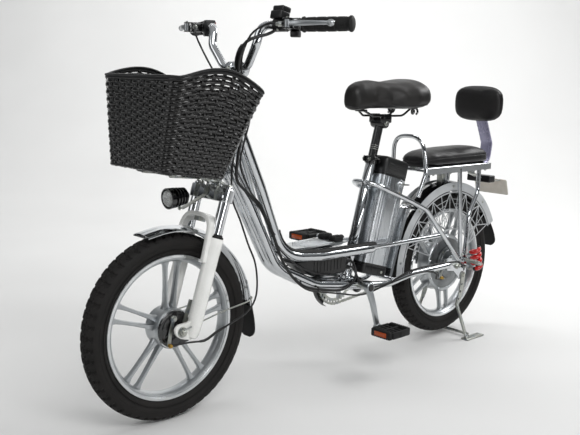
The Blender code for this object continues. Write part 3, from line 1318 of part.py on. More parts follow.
def cushion(stations, base):
    """A crowned cushion lengthwise: each station has its place, half width, height and drawn-in edge."""
    rings = []
    for x, half, top, edge in stations:
        side = [(half * edge, base), (half, base + top * 0.42), (half * 0.985, base + top * 0.70),
                (half * 0.86, base + top * 0.90), (half * 0.45, base + top * 0.985)]
        ring = side + [(0, base + top)] + [(-y, z) for y, z in reversed(side)]
        rings.append([at(x, y, z) for y, z in ring])
    return skin(rings)


passenger = cushion([
    (SEAT_REAR, 0.050, 0.036, 0.90), (SEAT_REAR + 0.006, 0.060, 0.048, 0.90),
    (SEAT_REAR + 0.022, 0.069, 0.055, 0.90),
    (SEAT_REAR + 0.070, 0.071, 0.056, 0.90), (0, 0.071, 0.056, 0.90), (0.080, 0.070, 0.054, 0.90),
    (SEAT_FRONT - 0.036, 0.066, 0.050, 0.90), (SEAT_FRONT - 0.012, 0.056, 0.043, 0.90),
    (SEAT_FRONT, 0.042, 0.030, 0.90),
], seat_floor)
piece("passenger_seat", passenger, VINYL, frame)

bar_z = RACK_Z + 0.002 + TOUCH + BAR_THICK / 2
bar_x = PAD_BACK - TOUCH - BAR_THICK / 2
bar_path = rounded([at(-0.110, 0, bar_z), at(-0.226, 0, bar_z), at(-0.236, 0, 0.650), at(bar_x, 0, 0.742),
                    at(bar_x, 0, 0.826)], 0.030, 3)
piece("backrest_bracket", strap(bar_path, LEFT, 0.046, BAR_THICK), STEEL, frame)


def pad():
    """A crowned pad: its back flat, its front domed and its corners round."""
    rings = []
    for reach, grow in ((0, 0.93), (0.005, 0.985), (PAD_THICK * 0.45, 1.0), (PAD_THICK * 0.75, 0.95),
                        (PAD_THICK * 0.93, 0.80), (PAD_THICK, 0.45)):
        loss = (1 - grow) * 0.05
        outline = corners_round(PAD_WIDTH / 2 - loss, PAD_HEIGHT / 2 - loss, 0.030 * grow, 3)
        rings.append([at(PAD_BACK + reach, a, PAD_Z + b) for a, b in outline])
    return skin(rings)


piece("backrest_pad", pad(), VINYL, frame)


# Battery behind the seat tube: it stands in a dock and slides up along the tube
battery_front = SEAT_TUBE_RADIUS + BATTERY_GAP
dock_low = seat_up(BATTERY_FOOT_Z)
case_low = dock_low + BATTERY_DOCK + TOUCH
case_high = case_low + BATTERY_LENGTH
cap_high = case_high + TOUCH + BATTERY_CAP
middle_back = battery_front + BATTERY_DEPTH / 2


def prism(outline, low, high, shrink=0.0):
    """A block along the seat tube, from an outline across it; its top can be drawn in."""
    small = 1 - shrink
    one = [seat_at(middle_back + a, b, low) for a, b in outline]
    other = [seat_at(middle_back + a * small, b * small, high) for a, b in outline]
    return skin([one, other])


def ribbed(half_a, half_b, radius, grooves, depth):
    """An extruded outline with shallow grooves down both long sides."""
    outline = corners_round(half_a, half_b, radius, 3)
    split = len(outline) // 2
    pitch = (half_a - radius) * 2 / grooves
    side = []
    for i in range(grooves):
        a = half_a - radius - pitch * (i + 0.5)
        side += [(a + pitch * 0.30, half_b), (a + pitch * 0.22, half_b - depth),
                 (a - pitch * 0.22, half_b - depth), (a - pitch * 0.30, half_b)]
    quarter = len(outline) // 4
    return (outline[:quarter] + side + outline[quarter:split + quarter]
            + [(-a, -b) for a, b in side] + outline[split + quarter:])


case = prism(ribbed(BATTERY_DEPTH / 2, BATTERY_HALF, 0.010, 4, 0.0016), case_low, case_high)
cap_outline = corners_round(BATTERY_DEPTH / 2 + 0.001, BATTERY_HALF + 0.001, 0.011, 3)
cap = skin([[seat_at(middle_back + a * s, b * s, z) for a, b in cap_outline] for s, z in (
    (1, case_high + TOUCH), (1, cap_high - 0.014), (0.95, cap_high - 0.005), (0.86, cap_high))])
grip_slot = prism(corners_round(0.036, 0.016, 0.010, 2), cap_high - 0.018, cap_high + 0.01)
dock = prism(corners_round(BATTERY_DEPTH / 2 + 0.002, BATTERY_HALF + 0.001, 0.010, 3), dock_low,
             case_low - TOUCH)

LOCK = Vector((0.034, -0.020))      # behind the case's middle, and down from the cap's foot
lock_at = seat_at(middle_back + LOCK.x, BATTERY_HALF, case_high + LOCK.y)
lock = rod(lock_at - LEFT * 0.006, lock_at + LEFT * 0.008, 0.0095, 12)
key_group = group("key_turn", lock_at, battery)
bow_at = lock_at + LEFT * 0.0083
shank = rod(bow_at, bow_at + LEFT * 0.008, 0.0022, 8)
bow = slab(bow_at + Vector((-0.010, 0.0065, -0.0013)), bow_at + Vector((0.010, 0.0215, 0.0013)), 0.0008)
piece("battery_case", join(case, lock), CASE_ALLOY, battery)
piece("battery_cap", cut(cap, grip_slot), PLASTIC, battery)
piece("ignition_key", join(bow, shank), STEEL, key_group)


# The dock is bolted to the seat tube, whose bottom bracket and mudguard column it stands between
def dock_piece():
    tube_clear = rod(seat_at(0, 0, dock_low - 0.05), seat_at(0, 0, case_low + 0.05),
                     SEAT_TUBE_RADIUS + TOUCH, 12)
    bracket = slab(Vector((-0.004, -0.012, 0)), Vector((0.010, 0.012, BATTERY_DOCK * 0.6)))
    bracket.data.transform(Matrix.Translation(seat_at(battery_front - 0.003, 0, dock_low + 0.004)))
    return cut(join(dock, bracket), tube_clear)


piece("battery_dock", dock_piece(), PLASTIC, frame)


# Seat post with the saddle's clamp and rails, and the saddle on them
def saddle_post_piece():
    top = seat_up(0.738)
    post = rod(seat_at(0, 0, top - POST_LENGTH), seat_at(0, 0, top), POST_RADIUS, 12)
    clamp = rod(seat_at(0, -0.026, top), seat_at(0, 0.026, top), 0.0165, 10)
    rails = [tube(rounded([at(0.236, side * 0.036, RAIL_Z + 0.0112), at(0.268, side * 0.024, RAIL_Z - 0.012),
                           at(0.400, side * 0.022, RAIL_Z - 0.012), at(0.436, side * 0.010, RAIL_Z + 0.0040)],
                          0.030, 2), 0.0038, 6) for side in (-1, 1)]
    holders = [slab(at(0.326, side * 0.023 - 0.008, 0.735), at(0.362, side * 0.023 + 0.008, RAIL_Z - 0.006))
               for side in (-1, 1)]
    return join(post, clamp, *holders, *rails)


saddle_base = RAIL_Z + 0.004 + 0.0038
piece("seatpost", saddle_post_piece(), BLACK_METAL, saddle_post)


def saddle():
    """A broad saddle: a round tail, a dip where one sits and a nose, with its skirt drawn in below."""
    rings = []
    for x, half, top, low in (
            (0.204, 0.052, 0.842, 0.806), (0.212, 0.078, 0.858, 0.795), (0.240, 0.102, 0.869, 0.782),
            (0.280, 0.106, 0.864, 0.776), (0.325, 0.090, 0.858, 0.773), (0.370, 0.060, 0.860, 0.772),
            (0.412, 0.040, 0.864, 0.774), (0.450, 0.034, 0.860, 0.778), (0.476, 0.028, 0.846, 0.788),
            (0.488, 0.018, 0.830, 0.798)):
        high = top - low
        side = [(half * 0.80, low), (half, low + high * 0.30), (half * 0.98, low + high * 0.55),
                (half * 0.84, low + high * 0.82), (half * 0.48, low + high * 0.97)]
        ring = side + [(0, top)] + [(-y, z) for y, z in reversed(side)] + [(0, low)]
        rings.append([at(x, y, z) for y, z in ring])
    return skin(rings)


piece("saddle", saddle(), VINYL, saddle_post)


# Cranks: spindle, arms and chainring turn as one piece in the bottom bracket
CRANK_TURN = math.radians(CRANK_ANGLE)
crank_out = Vector((math.cos(CRANK_TURN), 0, math.sin(CRANK_TURN)))


def crank_arm(side):
    """A tapered arm with a boss at each end."""
    out = crank_out * side
    flat = out.cross(LEFT)
    rings = []
    for reach, wide, y in ((0.010, 0.022, CRANK_HALF - 0.010), (0.050, 0.020, CRANK_HALF - 0.004),
                           (CRANK_LENGTH - 0.004, 0.017, CRANK_HALF)):
        centre = BB + out * reach + LEFT * (side * y)
        w, t = flat * (wide / 2), LEFT * (CRANK_THICK / 2)
        rings.append([centre + w + t, centre - w + t, centre - w - t, centre + w - t])
    root = rod(BB + LEFT * (side * (CRANK_HALF - 0.018)), BB + LEFT * (side * (CRANK_HALF - 0.001)), 0.0155,
               12)
    eye_at = BB + out * CRANK_LENGTH
    eye = rod(eye_at + LEFT * (side * (CRANK_HALF - 0.007)), eye_at + LEFT * (side * (CRANK_HALF + 0.007)),
              0.0125, 12)
    return root, skin(rings), eye


def gear(centre, radius, teeth, thick):
    """A toothed disc."""
    outline = []
    for i in range(teeth):
        for part, reach in ((-0.34, -0.0035), (0.08, 0.003)):
            turn = 2 * math.pi * (i + part) / teeth
            outline.append(((radius + reach) * math.cos(turn), (radius + reach) * math.sin(turn)))
    return plate(outline, centre, Vector((1, 0, 0)), Vector((0, 0, 1)), thick)


def crankset():
    spindle = rod(BB - LEFT * (CRANK_HALF - 0.008), BB + LEFT * (CRANK_HALF - 0.008), SPINDLE_RADIUS, 12)
    ring = gear(BB + LEFT * CHAINRING_Y, CHAINRING_RADIUS, CHAINRING_TEETH, 0.003)
    windows = []
    for i in range(5):
        turn = CRANK_TURN + math.radians(36 + 72 * i)
        middle = BB + LEFT * CHAINRING_Y + Vector((math.cos(turn), 0, math.sin(turn))) * 0.042
        windows.append(rod(middle - LEFT * 0.01, middle + LEFT * 0.01, 0.0155, 6))
    ring = cut(ring, *windows)
    spider = rod(BB + LEFT * (CHAINRING_Y - 0.004), BB + LEFT * (CHAINRING_Y + 0.006), 0.022, 12)
    holes = [rod(BB + crank_out * (side * CRANK_LENGTH) + LEFT * (side * (CRANK_HALF - 0.03)),
                 BB + crank_out * (side * CRANK_LENGTH) + LEFT * (side * (CRANK_HALF + 0.03)),
                 bore(PEDAL_AXLE, 12), 12) for side in (-1, 1)]
    return cut(join(spindle, spider, ring, *crank_arm(1), *crank_arm(-1)), *holes)


def pedal(side):
    """A platform pedal: two ribbed rubber blocks in a frame round the axle."""
    eye = BB + crank_out * (side * CRANK_LENGTH)
    inner = CRANK_HALF + 0.007 + 0.003
    axle = rod(eye + LEFT * (side * (CRANK_HALF - 0.007)), eye + LEFT * (side * (inner + PEDAL_WIDTH * 0.5)),
               PEDAL_AXLE, 8)
    core = rod(eye + LEFT * (side * inner), eye + LEFT * (side * (inner + PEDAL_WIDTH)), 0.0095, 8)
    pieces = [core]
    far, near = side * (inner + PEDAL_WIDTH - 0.002), side * (inner + 0.002)
    low_y, high_y = min(far, near), max(far, near)
    for way in (-1, 1):
        block_in, block_out = way * PEDAL_LENGTH * 0.17, way * PEDAL_LENGTH * 0.5
        a, b = min(block_in, block_out), max(block_in, block_out)
        pieces.append(slab(eye + Vector((a, low_y, -PEDAL_THICK / 2)),
                           eye + Vector((b, high_y, PEDAL_THICK / 2)), 0.003))
    for y in (low_y + 0.006, high_y - 0.006):
        pieces.append(slab(eye + Vector((-PEDAL_LENGTH * 0.3, y - 0.004, -0.007)),
                           eye + Vector((PEDAL_LENGTH * 0.3, y + 0.004, 0.007))))
    return join(*pieces, axle)


piece("crankset", crankset(), ALLOY, cranks)
for side, hand in ((1, "left"), (-1, "right")):
    hub = group(f"{hand}_pedal_spin", BB + crank_out * (side * CRANK_LENGTH), cranks)
    piece(f"{hand}_pedal", pedal(side), RUBBER, hub)


# Freewheel sprocket beside the motor, and the chain round it and the chainring
SPROCKET_INNER = HUB_WIDTH / 2 + 0.0012
freewheel = group("freewheel_spin", REAR_AXLE, frame)
sprocket = join(gear(REAR_AXLE + LEFT * CHAINRING_Y, SPROCKET_RADIUS, SPROCKET_TEETH, 0.003),
                rod(REAR_AXLE + LEFT * (CHAINRING_Y - 0.003), REAR_AXLE - LEFT * SPROCKET_INNER, 0.021, 12))
axle_hole = rod(REAR_AXLE - LEFT * 0.1, REAR_AXLE + LEFT * 0.1, bore(AXLE_RADIUS, 12), 12)
piece("freewheel", cut(sprocket, axle_hole), STEEL, freewheel)


def chain():
    """A band for the chain, clear of the teeth: its inner face runs outside both sprockets."""
    gap, thick, wide = 0.0042, 0.0050, 0.0070
    front, rear = BB + LEFT * CHAINRING_Y, REAR_AXLE + LEFT * CHAINRING_Y
    line = front - rear
    tilt_of_line = math.atan2(line.z, line.x)
    lean = math.acos((CHAINRING_RADIUS - SPROCKET_RADIUS) / line.length)
    rings = []
    for centre, radius, first, sweep, steps in (
            (front, CHAINRING_RADIUS, lean - math.pi, 2 * (math.pi - lean), 12),
            (rear, SPROCKET_RADIUS, math.pi - lean, 2 * lean, 6)):
        for i in range(steps + 1):
            turn = tilt_of_line + first + sweep * i / steps
            out = Vector((math.cos(turn), 0, math.sin(turn)))
            close = centre + out * (radius + gap)
            wide_out = centre + out * (radius + gap + thick)
            side = LEFT * (wide / 2)
            rings.append([close + side, wide_out + side, wide_out - side, close - side])
    return skin(rings, closed=True)


piece("chain", chain(), STEEL, frame)


# Chain guard: a bent sheet over the chain's front, held by a tab from the bottom bracket
def chain_guard():
    """A curved strip outside the chain with its rim turned in over it."""
    rings = []
    centre = BB + LEFT * CHAINRING_Y
    reach = CHAINRING_RADIUS + 0.018
    for i in range(9):
        turn = math.radians(-62 + 150 * i / 8)
        out = Vector((math.cos(turn), 0, math.sin(turn)))
        rim = centre + out * reach
        rings.append([rim - LEFT * 0.014, rim + out * 0.0016 - LEFT * 0.0156,
                      rim + out * 0.0016 + LEFT * 0.002,
                      rim + LEFT * 0.002, rim - LEFT * 0.0128, rim - out * 0.030 - LEFT * 0.0128,
                      rim - out * 0.030 - LEFT * 0.014])
    sheet = skin(rings)
    turn = math.radians(-12)
    rim = centre + Vector((math.cos(turn), 0, math.sin(turn))) * reach
    tab = strap([rim - LEFT * 0.004, rim + LEFT * 0.012, rim + Vector((-0.005, 0.0206, 0.0128))],
                Vector((1, 0, 0)), 0.014, 0.0025)
    return join(sheet, tab)


piece("chain_guard", chain_guard(), PLASTIC, frame)


# Rear brake: a still cover on the left with the axle and nuts, and its arm
rear_nuts = [nut(REAR_AXLE, DROPOUT_OUT, side) for side in (-1, 1)]
rear_cover = brake_plate(REAR_AXLE, 0.058, COVER_INNER, REAR_COVER_WIDTH, rear_nuts,
                         DROPOUT_OUT + NUT_WIDTH + 0.006)
piece("rear_brake_cover", rear_cover, ALLOY, frame)
rear_pin = REAR_AXLE + Vector((0.034, 0, 0.012))
rear_arm = group("rear_brake_cam", rear_pin, frame)
rear_arm_down = Vector((0.62, 0, -0.78)).normalized()
piece("rear_brake_arm", brake_arm(rear_pin, rear_arm_down, 0.060, COVER_INNER + REAR_COVER_WIDTH + 0.0021),
      STEEL,
      rear_arm)

# Centre stand: a plate and a bent rod on each side, joined by a crossbar, hinged on the dropouts' studs
STAND_HINGE = at(STAND_X, 0, STAND_Z)
stand = group("stand_hinge", STAND_HINGE, frame)


def centre_stand():
    pieces = []
    for side in (-1, 1):
        y = side * (DROPOUT_OUT + TOUCH + BLADE_THICK / 2)
        outline = [(-0.011, 0.006), (-0.004, 0.012), (0.006, 0.011), (0.011, 0), (0.013, -0.034),
                   (0.034, -0.098),
                   (0.020, -0.108), (0.002, -0.070), (-0.012, -0.010)]
        blade = plate(outline, STAND_HINGE + LEFT * y, Vector((1, 0, 0)), Vector((0, 0, 1)), BLADE_THICK)
        hole = rod(STAND_HINGE + LEFT * (y - 0.02), STAND_HINGE + LEFT * (y + 0.02), bore(STUD_RADIUS, 12),
                   12)
        leg = tube([at(-0.011, y, 0.132), at(-0.009, y + side * 0.002, 0.112),
                    at(STAND_FOOT_X, side * FOOT_Y, STAND_ROD)], STAND_ROD, 6)
        low = min(side * (FOOT_Y - 0.014), side * (FOOT_Y + 0.014))
        foot = slab(at(-0.100, low, 0), at(-0.004, low + 0.028, 0.006), 0.002)
        pieces.append(join(cut(blade, hole), leg, foot))
    cross = rod(at(CROSS_X, -FOOT_Y, STAND_ROD), at(CROSS_X, FOOT_Y, STAND_ROD), STAND_ROD, 6)
    return join(pieces[0], cross, pieces[1])


piece("centre_stand", centre_stand(), STEEL, stand)


# Footpegs: each folds up on a pin between the ears on its dropout
for side, hand in ((1, "left"), (-1, "right")):
    pin_at = at(PEG_X, side * PEG_Y, PEG_Z)
    eye = rod(pin_at - Vector((PEG_HALF, 0, 0)), pin_at + Vector((PEG_HALF, 0, 0)), 0.0068, 12)
    rings = []
    for reach, half, thick, drop in ((0.002, PEG_HALF, 0.0100, 0), (0.012, PEG_HALF, 0.0090, 0),
                                     (0.030, 0.0125, 0.0090, -0.001), (0.058, 0.0120, 0.0090, -0.004),
                                     (0.068, 0.0070, 0.0070, -0.005)):
        y = side * reach
        rings.append([pin_at + Vector((a, y, b + drop)) for a, b in
                      ((-half, -thick / 2), (half, -thick / 2), (half, thick / 2), (-half, thick / 2))])
    peg = join(skin(rings), eye)
    hole = rod(pin_at - Vector((0.03, 0, 0)), pin_at + Vector((0.03, 0, 0)), bore(PEG_PIN, 12), 12)
    piece(f"{hand}_footpeg", cut(peg, hole), STEEL, group(f"{hand}_footpeg_hinge", pin_at, frame))


# The red coil spring behind the left dropout: one unbroken wire
def coil():
    low, high = at(-0.086, COIL_Y, 0.238), at(-0.066, COIL_Y, 0.306)
    along = (high - low).normalized()
    first, second = across(along)
    count = int(COIL_TURNS * 8) + 1
    path = []
    for i in range(count):
        turn = 2 * math.pi * i / 8
        path.append(low.lerp(high, i / (count - 1)) + first * (COIL_RADIUS * math.cos(turn))
                    + second * (COIL_RADIUS * math.sin(turn)))
    spare = min((path[i] - path[j]).length for i in range(count) for j in range(i + 6, count)) - 2 * COIL_WIRE
    print(f"coil: least gap between its own turns {spare * 1000:.2f} mm")
    against = DROPOUT_OUT + TOUCH + COIL_WIRE
    hook = [at(HOOK_X, against, 0.246), at(HOOK_X - 0.008, against, 0.240),
            at(HOOK_X - 0.016, against + 0.004, 0.2345)]
    return tube(hook + path, COIL_WIRE, 6)


COIL_Y = DROPOUT_OUT + TOUCH + COIL_WIRE + 0.0145
piece("red_coil_spring", coil(), RED_ENAMEL, frame)
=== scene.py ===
import json
import math
import random

import bmesh
import bpy
from mathutils import Matrix, Vector
from mathutils.bvhtree import BVHTree

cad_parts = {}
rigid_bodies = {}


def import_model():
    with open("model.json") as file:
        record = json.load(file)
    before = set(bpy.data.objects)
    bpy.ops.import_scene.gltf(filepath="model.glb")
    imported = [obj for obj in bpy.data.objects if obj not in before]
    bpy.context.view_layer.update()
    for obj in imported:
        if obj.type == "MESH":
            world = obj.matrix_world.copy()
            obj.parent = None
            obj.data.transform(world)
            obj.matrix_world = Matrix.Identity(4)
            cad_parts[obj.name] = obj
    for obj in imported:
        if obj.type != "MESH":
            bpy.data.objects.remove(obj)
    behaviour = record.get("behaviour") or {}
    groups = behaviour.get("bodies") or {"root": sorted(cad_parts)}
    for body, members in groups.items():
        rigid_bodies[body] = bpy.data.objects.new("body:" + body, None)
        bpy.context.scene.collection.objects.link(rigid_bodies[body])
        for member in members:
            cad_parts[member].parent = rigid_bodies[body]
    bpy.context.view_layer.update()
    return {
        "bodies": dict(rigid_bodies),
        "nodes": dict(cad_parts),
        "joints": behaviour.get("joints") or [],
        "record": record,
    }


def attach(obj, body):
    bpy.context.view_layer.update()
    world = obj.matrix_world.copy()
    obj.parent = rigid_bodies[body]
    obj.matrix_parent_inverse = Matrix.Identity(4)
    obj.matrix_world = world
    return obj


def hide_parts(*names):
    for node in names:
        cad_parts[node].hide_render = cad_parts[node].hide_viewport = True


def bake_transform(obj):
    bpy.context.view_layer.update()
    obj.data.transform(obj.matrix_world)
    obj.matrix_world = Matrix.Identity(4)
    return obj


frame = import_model()

# Where things are, in metres: x forward, y to the rider's left, z up, the same as the solids
rearAxle = Vector((-0.540, 0, 0.253))
frontAxle = Vector((0.590, 0, 0.240))
headTurn, seatTurn = math.radians(73), math.radians(74.5)
headUp = Vector((-math.cos(headTurn), 0, math.sin(headTurn)))
headAhead = Vector((headUp.z, 0, -headUp.x))
forward, left, top = Vector((1, 0, 0)), Vector((0, 1, 0)), Vector((0, 0, 1))
headFoot = frontAxle - headAhead * 0.041
seatUp = Vector((-math.cos(seatTurn), 0, math.sin(seatTurn)))
seatBack = Vector((-seatUp.z, 0, seatUp.x))
crankAxle = Vector((-0.078, 0, 0.252))
seatFoot = Vector((-0.060, 0, 0.252))


def bike(x, y, z):  # x is measured forward of the rear axle
    return Vector((rearAxle.x + x, y, z))


def forkAt(ahead, y, up):
    return headFoot + headAhead * ahead + left * y + headUp * up


def seatAt(back, y, up):
    return seatFoot + seatBack * back + left * y + seatUp * up


def seatReach(z):  # how far up the seat tube a height lies
    return (z - seatFoot.z) / seatUp.z


def flipped(point):  # the same point on the other side of the bicycle
    return Vector((point.x, -point.y, point.z))


# Mesh helpers
def squarer(value, power):  # of a cosine or sine: fills a round outline towards a square one
    return math.copysign(abs(value) ** power, value)


def turnsOf(count):  # a full turn in equal steps
    return [2 * math.pi * i / count for i in range(count)]


def across(axis):
    axis = axis.normalized()
    side = left if abs(axis.y) < 0.9 else top
    first = side.cross(axis).normalized()
    return first, axis.cross(first)


def addSkin(bm, rings, closed=False, caps=True, loop=True, mat=0):
    rows = [[bm.verts.new(point) for point in ring] for ring in rings]
    for one, other in list(zip(rows, rows[1:])) + ([(rows[-1], rows[0])] if closed else []):
        for i in range(len(one) if loop else len(one) - 1):
            j = (i + 1) % len(one)
            bm.faces.new((one[i], one[j], other[j], other[i])).material_index = mat
    if caps and loop and not closed:
        bm.faces.new(list(reversed(rows[0]))).material_index = mat
        bm.faces.new(rows[-1]).material_index = mat


def circle(centre, axis, radius, steps):
    first, second = across(axis)
    turns = turnsOf(steps)
    return [centre + first * (radius * math.cos(t)) + second * (radius * math.sin(t)) for t in turns]


def addTurned(bm, start, axis, profile, steps=40, closed=False, mat=0):
    axis = axis.normalized()
    addSkin(bm, [circle(start + axis * along, axis, max(radius, 0.0001), steps) for along, radius in profile],
            closed, mat=mat)


def addRod(bm, start, end, radius, steps=24, edge=0.0006, mat=0):
    length = (end - start).length
    edge = min(edge, length * 0.3, radius * 0.3)
    addTurned(bm, start, end - start, [(0, radius - edge), (edge, radius), (length - edge, radius),
                                       (length, radius - edge)], steps, mat=mat)


def addBolt(bm, place, axis, size=0.005, head=0.004, mat=0):  # a hexagon head on a washer
    axis = axis.normalized()
    addTurned(bm, place, axis, [(0, size * 1.5), (0.0010, size * 1.5), (0.0010, size)], 20, mat=mat)
    addTurned(bm, place + axis * 0.0010, axis, [(0, size), (head * 0.8, size), (head, size * 0.82)], 6,
              mat=mat)


def bent(corners, bend, steps=8):  # a path whose corners are arcs
    path = [corners[0]]
    for before, corner, after in zip(corners, corners[1:], corners[2:]):
        one, other = before - corner, after - corner
        reach = min(bend / math.tan(one.angle(other) / 2), one.length * 0.49, other.length * 0.49)
        start, end = corner + one.normalized() * reach, corner + other.normalized() * reach
        for i in range(steps + 1):
            t = i / steps
            path.append(start * (1 - t) ** 2 + corner * (2 * t * (1 - t)) + end * t ** 2)
    return path + [corners[-1]]


def flowing(points, count):  # a smooth curve through points, as evenly spaced points
    ends = [points[0] * 2 - points[1]] + list(points) + [points[-1] * 2 - points[-2]]
    dense = []
    for a, b, c, d in zip(ends, ends[1:], ends[2:], ends[3:]):
        for i in range(16):
            t = i / 16
            dense.append((b * 2 + (c - a) * t + (a * 2 - b * 5 + c * 4 - d) * t ** 2
                          + (b * 3 - a - c * 3 + d) * t ** 3) / 2)
    dense.append(points[-1])
    reach = [0.0]
    for one, other in zip(dense, dense[1:]):
        reach.append(reach[-1] + (other - one).length)
    path, k = [], 0
    for i in range(count):
        want = reach[-1] * i / (count - 1)
        while k < len(dense) - 2 and reach[k + 1] < want:
            k += 1
        share = (want - reach[k]) / max(reach[k + 1] - reach[k], 1e-9)
        path.append(dense[k].lerp(dense[k + 1], min(share, 1.0)))
    return path


def directions(path):  # along, side and up at each point, without twist
    last = len(path) - 1
    ahead = [(path[min(i + 1, last)] - path[max(i - 1, 0)]).normalized() for i in range(last + 1)]
    side, made = across(ahead[0])[0], []
    for along in ahead:
        side = (side - along * side.dot(along)).normalized()
        made.append((along, side, along.cross(side)))
    return made


def addTube(bm, path, radius, sides=20, closed=False, mat=0):
    radii = radius if isinstance(radius, list) else [radius] * len(path)
    rings = []
    for point, size, (_, first, second) in zip(path, radii, directions(path)):
        turns = turnsOf(sides)
        rings.append([point + first * (size * math.cos(t)) + second * (size * math.sin(t)) for t in turns])
    addSkin(bm, rings, closed, mat=mat)


def addStrap(bm, path, side, width, thick, mat=0):  # a flat bar with softened edges
    side, last, rings = side.normalized(), len(path) - 1, []
    edge = min(thick * 0.3, 0.0012)
    for i, point in enumerate(path):
        along = (path[min(i + 1, last)] - path[max(i - 1, 0)]).normalized()
        flat = side.cross(along).normalized()
        w, t = width / 2, thick / 2
        rings.append([point + side * a + flat * b for a, b in (
            (w, t - edge), (w - edge, t), (edge - w, t), (-w, t - edge), (-w, edge - t), (edge - w, -t),
            (w - edge, -t), (w, edge - t))])
    addSkin(bm, rings, mat=mat)


def addSlab(bm, low, high, bevel=0.001, place=None, segments=3, mat=0):
    part = bmesh.new()
    bmesh.ops.create_cube(part, size=1)
    bmesh.ops.scale(part, verts=part.verts, vec=high - low)
    bmesh.ops.translate(part, verts=part.verts, vec=(high + low) / 2)
    bmesh.ops.bevel(part, geom=part.edges[:], offset=bevel, segments=segments, profile=0.5, affect="EDGES")
    if place:
        bmesh.ops.transform(part, matrix=place, verts=part.verts)
    for face in part.faces:
        face.material_index = mat
    merge(bm, part)


def merge(bm, part):
    mesh = bpy.data.meshes.new("part")
    part.to_mesh(mesh)
    part.free()
    bm.from_mesh(mesh)
    bpy.data.meshes.remove(mesh)


def addPlate(bm, outline, origin, first, second, thick, edge=0.0005, mat=0):
    normal = first.cross(second).normalized()
    middle = Vector((sum(a for a, _ in outline), sum(b for _, b in outline))) / len(outline)
    rings = []
    for lift, inset in ((-thick / 2, edge), (edge - thick / 2, 0), (thick / 2 - edge, 0), (thick / 2, edge)):
        ring = []
        for a, b in outline:
            spot = Vector((a, b))
            spot -= (spot - middle).normalized() * inset
            ring.append(origin + first * spot.x + second * spot.y + normal * lift)
        rings.append(ring)
    addSkin(bm, rings, mat=mat)


def roundBox(halfA, halfB, radius, steps=6):  # a rectangle's outline with round corners
    outline = []
    for quarter, (sa, sb) in enumerate([(1, 1), (-1, 1), (-1, -1), (1, -1)]):
        for i in range(steps + 1):
            turn = math.pi / 2 * (quarter + i / steps)
            outline.append((sa * (halfA - radius) + radius * math.cos(turn),
                            sb * (halfB - radius) + radius * math.sin(turn)))
    return outline


def facing(ahead, up):  # the turn that lays x and z along two directions
    return Matrix((ahead, up.cross(ahead), up)).transposed().to_4x4()


def makePiece(name, bm, materials, body, replaces=(), angle=35):
    bmesh.ops.recalc_face_normals(bm, faces=bm.faces)
    mesh = bpy.data.meshes.new(name)
    bm.to_mesh(mesh)
    bm.free()
    piece = bpy.data.objects.new(name, mesh)
    bpy.context.scene.collection.objects.link(piece)
    for material in materials if isinstance(materials, (list, tuple)) else [materials]:
        mesh.materials.append(material)
    mesh.shade_smooth()
    mesh.set_sharp_from_angle(angle=math.radians(angle))
    if body:
        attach(piece, body)
    if replaces:
        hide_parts(*replaces)
    return piece


# Material helpers
def colour(code):  # from the hexadecimal code on a screen to Blender's linear values
    parts = [int(code[i:i + 2], 16) / 255 for i in (1, 3, 5)]
    return tuple(c / 12.92 if c <= 0.04045 else ((c + 0.055) / 1.055) ** 2.4 for c in parts) + (1.0,)


def addNode(tree, kind, inputs=None, **settings):
    node = tree.nodes.new("ShaderNode" + kind)
    for setting, value in settings.items():
        setattr(node, setting, value)
    for socket, value in (inputs or {}).items():
        if isinstance(value, bpy.types.NodeSocket):
            tree.links.new(value, node.inputs[socket])
        else:
            node.inputs[socket].default_value = value
    return node


def newMaterial(name, metallic=0.0, **shader):
    material = bpy.data.materials.new(name)
    material.use_nodes = True
    surface = material.node_tree.nodes["Principled BSDF"]
    surface.inputs["Metallic"].default_value = metallic
    for socket, value in shader.items():
        surface.inputs[socket.replace("_", " ")].default_value = value
    return material, material.node_tree, surface


def placeOn(tree, scale=(1, 1, 1)):  # real metres, since every piece stands at the origin
    where = addNode(tree, "TexCoord")
    return addNode(tree, "Mapping", {"Vector": where.outputs["Object"], "Scale": scale}).outputs[0]


def mottled(tree, size, detail=2.0, stretch=(1, 1, 1), rough=0.5):  # size is one patch's, in metres
    return addNode(tree, "TexNoise", {"Vector": placeOn(tree, stretch), "Scale": 1 / size, "Detail": detail,
                                      "Roughness": rough}).outputs["Fac"]


def blended(tree, share, *stops):
    ramp = addNode(tree, "ValToRGB", {"Fac": share})
    for i, (place, code) in enumerate(stops):
        stop = ramp.color_ramp.elements[i] if i < 2 else ramp.color_ramp.elements.new(place)
        stop.position, stop.color = place, colour(code)
    return ramp.outputs["Color"]


def spread(tree, share, low, high):
    return addNode(tree, "MapRange", {"Value": share, "To Min": low, "To Max": high, "From Min": 0.3,
                                      "From Max": 0.7}).outputs["Result"]


def raised(tree, surface, height, depth, strength=1.0, under=None):
    bump = addNode(tree, "Bump", {"Height": height, "Strength": strength, "Distance": depth})
    if under:
        tree.links.new(under, bump.inputs["Normal"])
    tree.links.new(bump.outputs["Normal"], surface.inputs["Normal"])
    return bump.outputs["Normal"]


